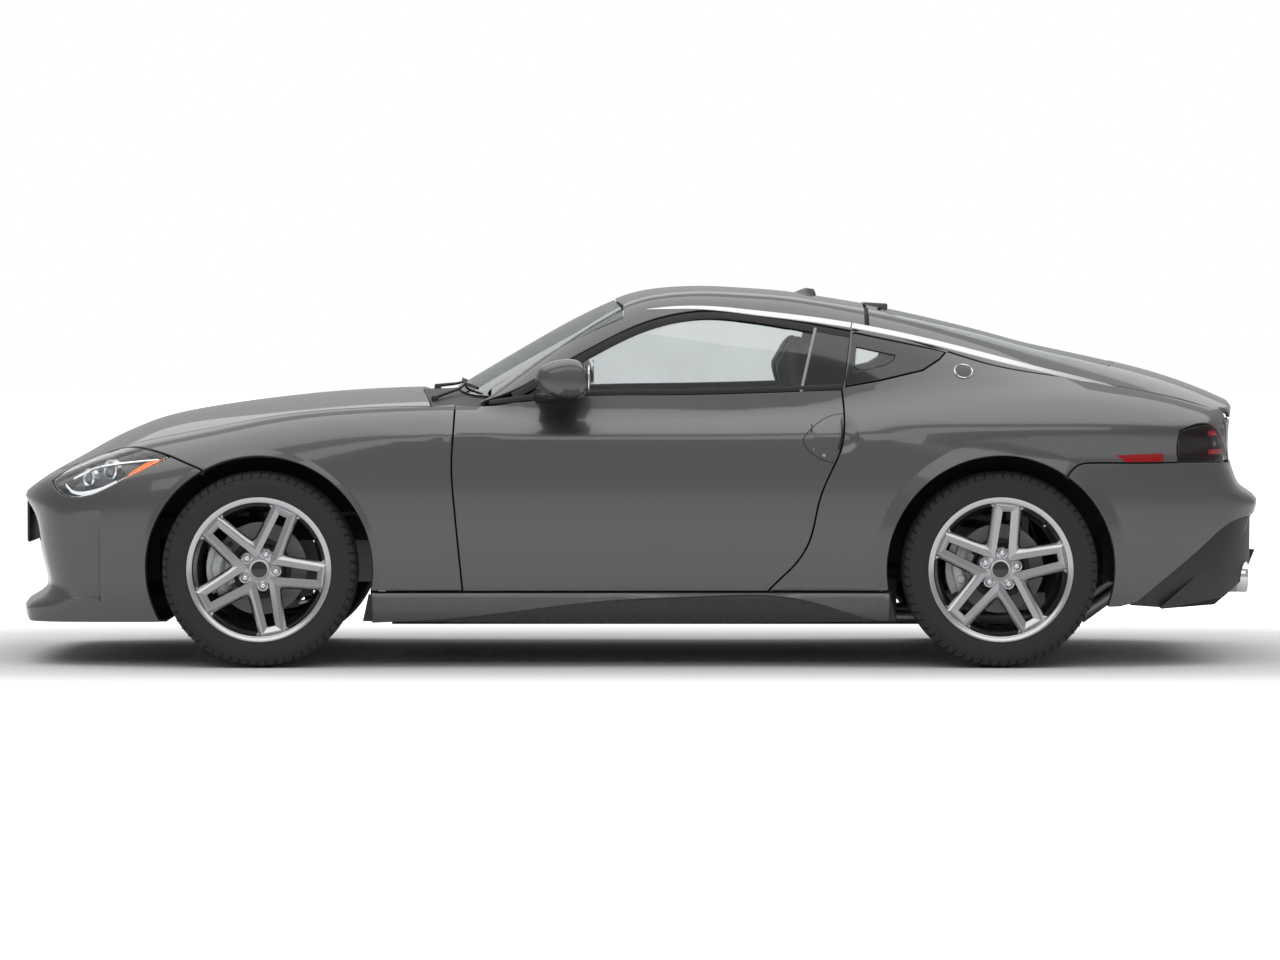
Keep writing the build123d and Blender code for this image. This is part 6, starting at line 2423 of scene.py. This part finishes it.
        self.pair(
            "mirror_glass", Shape().loft([ring, ring + (5, 0, 0)]), "door_body", "window_glass", (Palette.chrome,), 1.0,
        )

    def liner_feet(self) -> None:
        """The lower ends of the wheel liners, ahead of the rear wheels."""
        shape = Shape().block((842, 690, 158), (890, 702, 300)).block((842, 702, 158), (848, 800, 256))
        self.pair("liner_feet", shape, "car_body", "liner_plastic", (Palette.liner,), 2)

    def pipes(self) -> None:
        """The bright ends of the exhaust."""
        profile = ((48, -70), (54, -62), (56, 0), (54, 6), (51, 4), (50, -60), (46, -66))
        shape = Shape().lathe(profile, (2116, 540.0, 300), (1, 0, 0), 56, 0, True)
        self.pair("exhaust_tips", shape, "car_body", "exhaust_steel", (Palette.chrome,))

    def build(self) -> None:
        """Makes all of them."""
        for step in (
            self.seams, self.seals, self.trims, self.handles, self.glass_tools, self.front_lamps, self.rear_lamps,
            self.nose_parts, self.mirror, self.liner_feet, self.pipes,
        ):
            step()


# ---------------------------------------------------------------- the cabin and the engine bay


Station = tuple[float, float, float, float, float, float]


@dataclass
class Cabin:
    """The seats, the dashboard, the trim and what shows under the hood."""

    shell: BodyShell
    seat_y: float = 370.0
    voxel: float = 13.0
    swell: float = 24.0
    pressure: float = 4.0
    last_frame: int = 20
    cushion: Sequence[Station] = (
        (12, 352, 70, 205, 50, 6), (22, 390, 60, 228, 80, 20), (70, 412, 85, 236, 98, 34), (190, 408, 92, 238, 104, 44),
        (330, 396, 93, 238, 102, 50), (450, 390, 92, 232, 96, 46), (502, 386, 70, 215, 80, 26),
    )
    backrest: Sequence[Station] = (
        (486, 402, 200, 205, 80, 16), (494, 452, 170, 226, 104, 38), (508, 560, 170, 236, 112, 54),
        (520, 680, 171, 236, 108, 56),
        (532, 800, 172, 224, 100, 44), (538, 895, 176, 190, 90, 24), (530, 948, 182, 140, 74, 8),
        (508, 1000, 180, 128, 80, 3),
        (494, 1070, 180, 124, 88, 0), (500, 1120, 186, 116, 76, 0), (524, 1150, 225, 92, 36, 0),
    )
    wheel_at: Pair = (-10.0, 765.0)
    wheel_r: float = 178.0
    wheel_tilt: float = 24.0
    dash: Sequence[Pair] = (
        (-627, 620), (-627, 846), (-560, 870), (-440, 886), (-330, 889), (-262, 874), (-236, 846), (-240, 812),
        (-268, 742),
        (-318, 650), (-398, 620),
    )

    def pad(self, stations: Sequence[Station]) -> Shape:
        """A seat's cushion or backrest: rounded sections with raised sides, from place, height and facing.

        Args:
            stations: rows of x, z, facing in degrees, half width, thickness and bolster.

        Returns:
            The pad.
        """
        outline = (
            (0.0, 0.0, 0.0), (0.22, 0.0, 0.02), (0.46, 0.0, 0.12), (0.66, 0.0, 0.66), (0.82, 0.0, 1.0),
            (0.95, -0.10, 0.55),
            (1.0, -0.40, 0.0), (0.95, -0.82, 0.0), (0.72, -1.0, 0.0), (0.3, -1.0, 0.0),
        )
        whole = list(outline) + [(-u, t, b) for u, t, b in reversed(outline[1:])]
        rings = []
        for x, z, facing, half, thick, bolster in stations:
            way = (math.cos(math.radians(facing)), math.sin(math.radians(facing)))
            rows = [(u * half, t * thick + b * bolster) for u, t, b in whole]
            rings.append(np.array([(x + way[0] * v, self.seat_y + u, z + way[1] * v) for u, v in rows]))
        return Shape().loft(rings)

    def stuffed(self, item: Item) -> Item:
        """Swells a pad by a cloth simulation, with a limit on how far a point moves.

        Args:
            item: the pad.

        Returns:
            The same object.
        """
        remesh = item.modifiers.new("even", "REMESH")
        remesh.mode, remesh.voxel_size = "VOXEL", self.voxel * MM
        bake(item)
        rest = np.empty(len(item.data.vertices) * 3)
        item.data.vertices.foreach_get("co", rest)
        cloth = item.modifiers.new("cloth", "CLOTH")
        cloth.settings.use_pressure = True
        cloth.settings.uniform_pressure_force = self.pressure
        cloth.settings.effector_weights.gravity = 0.0
        cloth.point_cache.frame_start, cloth.point_cache.frame_end = 1, self.last_frame
        scene = bpy.context.scene
        for number in range(1, self.last_frame + 1):
            scene.frame_set(number)
        bake(item)
        now = np.empty_like(rest)
        item.data.vertices.foreach_get("co", now)
        move = (now - rest).reshape(-1, 3)
        far = np.linalg.norm(move, axis=1, keepdims=True)
        move *= np.minimum(1, self.swell * MM / np.maximum(far, 1e-9))
        item.data.vertices.foreach_set("co", (rest.reshape(-1, 3) + move).ravel())
        finer = item.modifiers.new("finer", "SUBSURF")
        finer.levels = finer.render_levels = 1
        bake(item)
        item.data.shade_smooth()
        scene.frame_set(1)
        return item

    def seats(self) -> None:
        """Both seats: swollen pads, piping, side covers and rails."""
        for label, stations in (("cushion", self.cushion), ("backrest", self.backrest)):
            first = self.stuffed(self.pad(stations).object("pad", 180, smoother=2))
            for side, flip in SIDES:
                item = RoadWheel.copy(first, f"seat_{label}_{side}", flip > 0)
                put(item, "car_body", (Palette.leather,), ("seats",))
            remove(first)
        shape = Shape()
        for stations in (self.cushion[1:-1], self.backrest[1:6]):
            for u in (-0.58, 0.58):
                path = []
                for x, z, facing, half, _, bolster in stations:
                    lift = 0.45 * bolster + 4
                    way = (math.cos(math.radians(facing)), math.sin(math.radians(facing)))
                    path.append((x + way[0] * lift, self.seat_y + u * half, z + way[1] * lift))
                path = np.array(path)
                at = np.linspace(0, len(path) - 1, 40)
                shape.tube(np.stack([np.interp(at, range(len(path)), path[:, k]) for k in range(3)], 1), 2.6, 0, 8)
        Fittings.pair("seat_piping", shape, "car_body", "seat_leather", (Palette.stitch,))
        shape = Shape().block((120, self.seat_y - 205, 262), (560, self.seat_y + 205, 318))
        for y in (-180, 160):
            shape.block((130, self.seat_y + y, 199), (560, self.seat_y + y + 24, 264))
        Fittings.pair("seat_bases", shape, "car_body", "cabin_plastic", (Palette.cabin,), 8)

    def dashboard(self) -> None:
        """The dashboard, its hood and dials, the console and the levers."""
        rings = []
        for y in (-676, -640, -520, -370, -180, 0, 180, 370, 520, 640, 676):
            ends = 0.93 if abs(y) > 660 else 1.0
            flat = np.array(self.dash, float)
            middle = flat.mean(0)
            flat = middle + (flat - middle) * ends
            flat[:, 0] += 26 * (y / 680) ** 2 * (flat[:, 0] > -560)
            rings.append(section_at(flat, y))
        put(
            Shape().loft(rings).object("dash_pad", 50, smoother=1), "car_body", (Palette.cabin,),
            ("dashboard",),
        )
        shape = Shape()
        rings = []
        for x, size in ((-372, 0.90), (-300, 1.0), (-238, 1.0), (-222, 0.97)):
            turns = np.radians(np.linspace(-8, 188, 33))
            out = [(x, -self.seat_y + 172 * size * math.cos(t), 862 + 84 * size * math.sin(t)) for t in turns]
            inner = [(x, -self.seat_y + 158 * size * math.cos(t), 862 + 72 * size * math.sin(t)) for t in turns[::-1]]
            rings.append(np.array(out + inner))
        shape.loft(rings)
        put(shape.object("dial_hood", 40, 2), "car_body", (Palette.cabin,))
        shape = Shape()
        dials = [((-268, -self.seat_y + y, 878), 50.0) for y in (-72, 72)]
        dials += [((-306, y, 905), 30.0) for y in (-80, 0, 80)]
        for place, r in dials:
            shape.lathe(((0, 3), (r - 5, 3), (r - 4, 2), (r - 4, -6)), place, (1, 0, 0.25), 40, 0)
            shape.lathe(((r - 4, -30), (r - 4, 8), (r, 10), (r + 3, 4), (r + 4, -34)), place, (1, 0, 0.25), 40, 1)
        put(shape.object("dials", 40), "car_body", (Palette.dial, Palette.cabin_grey))
        shape = Shape().block((-420, -104, 520), (-228, 104, 826)).block((-520, -104, 404), (556, 104, 512))
        put(shape.object("console_body", 40, 18, 4), "car_body", (Palette.cabin,))
        shape = Shape().block((-232, -98, 716), (-222, 98, 820)).block((-228, -98, 560), (-221, 98, 600))
        shape.block((-200, -60, 510), (140, 60, 516))
        put(shape.object("console_screens", 40, 3), "car_body", (Palette.gloss_black,))
        shape = Shape().block((170, -88, 508), (540, 88, 548))
        put(shape.object("console_lid", 40, 16, 4), "car_body", (Palette.leather,))
        shape = Shape().lathe(
            ((0, 92), (16, 90), (24, 78), (23, 66), (13, 52), (11, 0)), (-40, 0, 514), (0.1, 0, 1), 32, 0,
        )
        shape.lathe(((11, 40), (40, 4), (48, 0)), (-40, 0, 514), (0, 0, 1), 32, 0)
        for y in (-62, 0, 62):
            shape.lathe(((0, 14), (17, 13), (20, 10), (20, -2)), (-222, y, 650), (1, 0, 0), 32, 1)
        put(shape.object("console_knobs", 40), "car_body", (Palette.leather, Palette.cabin_grey))
        shape = Shape()
        for y in (-590, 590, -140, 140):
            shape.lathe(((0, 4), (34, 4), (36, 8), (42, 8), (44, 2), (44, -14)), (-246, y, 800), (1, 0, -0.25), 40, 0)
            for turn in range(4):
                shape.block((-246, y - 34, 776 + 13 * turn), (-240, y + 34, 779 + 13 * turn))
        put(shape.object("dash_vents", 40), "car_body", (Palette.cabin_grey,))

    def steering_wheel(self) -> None:
        """The steering wheel on its column, its middle bare."""
        x, z = self.wheel_at
        slope = math.tan(math.radians(self.wheel_tilt))
        centre, axis = np.array((x, -self.seat_y, z)), unit((1, 0, slope))
        side, up, along = frame_of(axis)
        turns = np.linspace(0, 2 * math.pi, 20, endpoint=False)
        grip = [(self.wheel_r + 15 * math.cos(t), 17 * math.sin(t)) for t in turns]
        shape = Shape().lathe(grip, centre, axis, 96, 0, True)
        for turn in (0, 180, 270):
            t = math.radians(turn)
            out, wide = side * math.cos(t) + up * math.sin(t), side * -math.sin(t) + up * math.cos(t)
            rings = []
            for r, half, deep in ((44, 30, 26), (90, 20, 18), (140, 15, 13), (172, 18, 11)):
                rings.append(np.array([
                    centre + out * r + wide * a * half + along * (b * deep / 2 - 16 + r * 0.08)
                    for a, b in ((-1, -0.4), (-0.6, -1), (0.6, -1), (1, -0.4), (1, 0.4), (0.6, 1), (-0.6, 1), (-1, 0.4))
                ]))
            shape.loft(rings, 1)
        shape.lathe(((0, 16), (30, 15), (52, 8), (64, -6), (66, -26), (50, -40)), centre, axis, 48, 0)
        shape.lathe(((16, 17), (17.5, 18), (19, 17), (19, 14)), centre, axis, 32, 1)
        tail = centre - axis * 430
        shape.tube(np.linspace(tail, centre - axis * 30, 8), np.linspace(46, 34, 8), 2, 24)
        put(shape.object("steering_wheel_rim", 45), "car_body",
            (Palette.leather, Palette.cabin_grey, Palette.cabin), ("steering_wheel",))

    def linings(self) -> None:
        """The headliner, the carpet, the inner linings of the wings and the door cards' armrests."""
        form, shell = self.shell.form, self.shell
        liner = Panel(shell.roof().outline, ROOF_ROLL, both_sides=True, gap=14.0, thickness=7.0, depth=22.0, grid=32.0)
        put(liner.skin(form).object("headliner"), "car_body", (Palette.headliner,))
        for name, source in (("rear_wing_linings", shell.quarter()), ("front_wing_linings", shell.fender())):
            skin = Panel(
                source.outline, FENDER_ROLL, gap=10.0, thickness=6.0, depth=17.0, grid=30.0, holes=source.holes,
            ).skin(form)
            put(skin.joined(skin.mirrored()).object(name), "car_body", (Palette.liner,))
        low = [(-688, 191), (-126, 191), (-126, 401), (126, 401), (126, 191), (688, 191)]
        high = [(688, 199), (134, 199), (134, 409), (-134, 409), (-134, 199), (-688, 199)]
        rings = [np.array([(x, y, z) for y, z in low + high], float) for x in (-634, -200, 300, 818)]
        put(Shape().loft(rings).object("carpet", 40, 3), "car_body", (Palette.carpet,))
        shape = Shape()
        rings = []
        for x, z, half in (
            (-330, 600, 12), (-300, 604, 30), (0, 628, 36), (260, 636, 36), (330, 634, 26), (350, 632, 12),
        ):
            y = float(shell.form.width(np.array([float(x)]), np.array([float(z)]))[0][0]) - 98
            rings.append(np.array([(x, y + 8, z - half), (x, y + 8, z + half), (x, y - 34, z + half * 0.8),
                                   (x, y - 52, z + 4), (x, y - 40, z - half * 0.7)]))
        shape.loft(rings)
        Fittings.pair("armrest", shape, "door_body", "seat_leather", (Palette.leather,), 5)

    def engine_bay(self) -> None:
        """The dressing of the engine."""
        shape = Shape()
        for side in (1, -1):
            shape.block((-1490, side * 36 if side > 0 else -236, 770), (-1010, 236 if side > 0 else -36, 806))
        for k in range(6):
            shape.block((-1478 + 80 * k, -24, 770), (-1432 + 80 * k, 24, 818))
        put(shape.object("engine_covers", 40, 12, 4), "car_body", (Palette.black_trim,))
        shape = Shape()
        for k in range(3):
            x = -1430 + 150 * k
            for side in (1, -1):
                t = np.linspace(0, 1, 14)
                path = np.stack((x + 30 * t, side * (20 + 250 * t), 800 + 34 * np.sin(math.pi * t) - 60 * t), 1)
                shape.tube(path, 22, 0, 16)
        for y in (-520, 520):
            shape.lathe(((0, 22), (20, 21), (24, 12), (66, 8), (72, 0), (72, -30)), (-1300, y, 762), (0, 0, 1), 40, 0)
        put(shape.object("intake_runners", 40), "car_body", (Palette.cast,))
        shape = Shape().block((-1000, 330, 560), (-800, 520, 760)).block((-1880, -420, 560), (-1660, -180, 730))
        shape.block((-1880, 180, 560), (-1660, 420, 730))
        put(shape.object("bay_boxes", 40, 14, 3), "car_body", (Palette.liner,))

    def build(self) -> None:
        """Makes all of it."""
        for step in (self.seats, self.dashboard, self.steering_wheel, self.linings, self.engine_bay):
            step()


# ---------------------------------------------------------------- the stage


@dataclass
class Studio:
    """The floor, the soft lights and the camera."""

    shadow_box: tuple[float, float, float] = (2.1, 0.9, 1.0)
    mirrored_white: float = 0.12
    floor_half: float = 60.0
    surround_strength: float = 0.32
    camera_distance: float = 20.42
    camera_height: float = 1.251
    camera_tilt: float = 1.77
    lens: float = 160.0

    def build(self) -> None:
        """Makes the stage."""
        self.floor()
        self.world()
        self.lamp("top_light", (0.0, 0.0, 7.0), (0, 0, 0), (16.0, 9.0), 560)
        self.lamp("side_light", (-0.5, -9.0, 5.6), (math.radians(58), 0, 0), (12.0, 3.6), 150)
        self.lamp("far_light", (0.5, 9.0, 5.6), (math.radians(-58), 0, 0), (12.0, 3.6), 80)
        self.camera()

    def floor(self) -> None:
        """A plain pale floor that shows the object's shadow."""
        mesh = bpy.data.meshes.new("floor")
        half = self.floor_half
        mesh.from_pydata([(-half, -half, 0), (half, -half, 0), (half, half, 0), (-half, half, 0)], [], [(0, 1, 2, 3)])
        item = bpy.data.objects.new("floor", mesh)
        bpy.context.scene.collection.objects.link(item)
        material = bpy.data.materials.new("pale_floor")
        material.use_nodes = True
        shader = material.node_tree.nodes["Principled BSDF"]
        shader.inputs["Base Color"].default_value = (0.88, 0.88, 0.88, 1.0)
        shader.inputs["Roughness"].default_value = 0.9
        self.whiten(material.node_tree, shader)
        mesh.materials.append(material)

    def whiten(self, tree: Tree, shader: Node) -> None:
        """Lets the floor fade to white away from the car, where only the camera sees it.

        Args:
            tree: the floor material's tree.
            shader: its Principled BSDF.
        """
        place = tree.nodes.new("ShaderNodeTexCoord").outputs["Object"]
        steps = []
        for operation, value in (
            ("ABSOLUTE", None), ("SUBTRACT", self.shadow_box), ("MAXIMUM", (0.0, 0.0, 0.0)), ("LENGTH", None),
        ):
            node = tree.nodes.new("ShaderNodeVectorMath")
            node.operation = operation
            if value:
                node.inputs[1].default_value = value
            tree.links.new(steps[-1].outputs[0] if steps else place, node.inputs[0])
            steps.append(node)
        fade = tree.nodes.new("ShaderNodeMapRange")
        fade.interpolation_type = "SMOOTHSTEP"
        for socket, value in zip(fade.inputs[1:5], (0.1, 2.0, 0.0, 1.0)):
            socket.default_value = value
        tree.links.new(steps[-1].outputs["Value"], fade.inputs[0])
        share = sums(tree, "MULTIPLY", fade.outputs[0], self.seen(tree))
        shader.inputs["Emission Color"].default_value = (1, 1, 1, 1)
        tree.links.new(share, shader.inputs["Emission Strength"])

    def seen(self, tree: Tree) -> Socket:
        """How white the background is to each kind of ray: all of it to the eye and through glass.

        Args:
            tree: the node tree.

        Returns:
            The share's socket.
        """
        rays = tree.nodes.new("ShaderNodeLightPath")
        direct = sums(tree, "MAXIMUM", rays.outputs["Is Camera Ray"], rays.outputs["Is Transmission Ray"])
        return sums(tree, "MAXIMUM", direct, sums(tree, "MULTIPLY", rays.outputs["Is Glossy Ray"], self.mirrored_white))

    def world(self) -> None:
        """A plain pale surround."""
        world = bpy.data.worlds.new("studio")
        world.use_nodes = True
        tree = world.node_tree
        soft = tree.nodes["Background"]
        soft.inputs["Color"].default_value = (0.95, 0.97, 1.0, 1)
        soft.inputs["Strength"].default_value = self.surround_strength
        white = tree.nodes.new("ShaderNodeBackground")
        white.inputs["Color"].default_value = (1, 1, 1, 1)
        seen = self.seen(tree)
        mix = tree.nodes.new("ShaderNodeMixShader")
        tree.links.new(seen, mix.inputs[0])
        tree.links.new(soft.outputs[0], mix.inputs[1])
        tree.links.new(white.outputs[0], mix.inputs[2])
        tree.links.new(mix.outputs[0], tree.nodes["World Output"].inputs["Surface"])
        bpy.context.scene.world = world

    def lamp(self, name: str, place: Sequence[float], turn: Sequence[float], size: Pair, power: float) -> None:
        """A soft rectangular lamp.

        Args:
            name: the lamp's name.
            place: where it hangs, in metres.
            turn: its turns about the three axes, in radians.
            size: its sides, in metres.
            power: its power, in watts.
        """
        data = bpy.data.lights.new(name, "AREA")
        data.shape = "RECTANGLE"
        data.size, data.size_y = size
        data.energy = power
        item = bpy.data.objects.new(name, data)
        item.location = place
        item.rotation_euler = turn
        bpy.context.scene.collection.objects.link(item)

    def camera(self) -> None:
        """The camera, square to the car's left side."""
        data = bpy.data.cameras.new("camera")
        data.lens = self.lens
        data.sensor_width = 36.0
        data.clip_end = 200.0
        item = bpy.data.objects.new("camera", data)
        item.location = (0.0, -self.camera_distance, self.camera_height)
        item.rotation_euler = (math.radians(90 - self.camera_tilt), 0, 0)
        bpy.context.scene.collection.objects.link(item)
        bpy.context.scene.camera = item


def dress_nodes() -> None:
    """Gives each CAD node that stays in view its own finish."""
    wheels = {"tyre": Palette.tyre, "rim": Palette.alloy_face, "brake_disc": Palette.iron}
    for name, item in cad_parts.items():
        finish = NODE_FINISHES.get(name)
        for start, wheel_finish in wheels.items():
            if name.startswith(start):
                finish = wheel_finish
        finish = finish or Palette.black_trim
        for slot in item.material_slots:
            slot.material = finish.material()


def main() -> None:
    """Builds the car's looks, piece by piece."""
    logging.basicConfig(level=logging.INFO, format="%(name)s %(message)s")
    bpy.context.scene.view_settings.view_transform = "Standard"
    dress_nodes()
    shell = BodyShell(BodyForm())
    shell.build()
    Fittings(shell).build()
    Cabin(shell).build()
    RoadWheel("front", FRONT_AXLE_X, FRONT_WHEEL_Y, 66.0, 160.0).build()
    RoadWheel("rear", REAR_AXLE_X, REAR_WHEEL_Y, 84.0, 154.0).build()
    Studio().build()


if __name__ == "__main__":
    main()
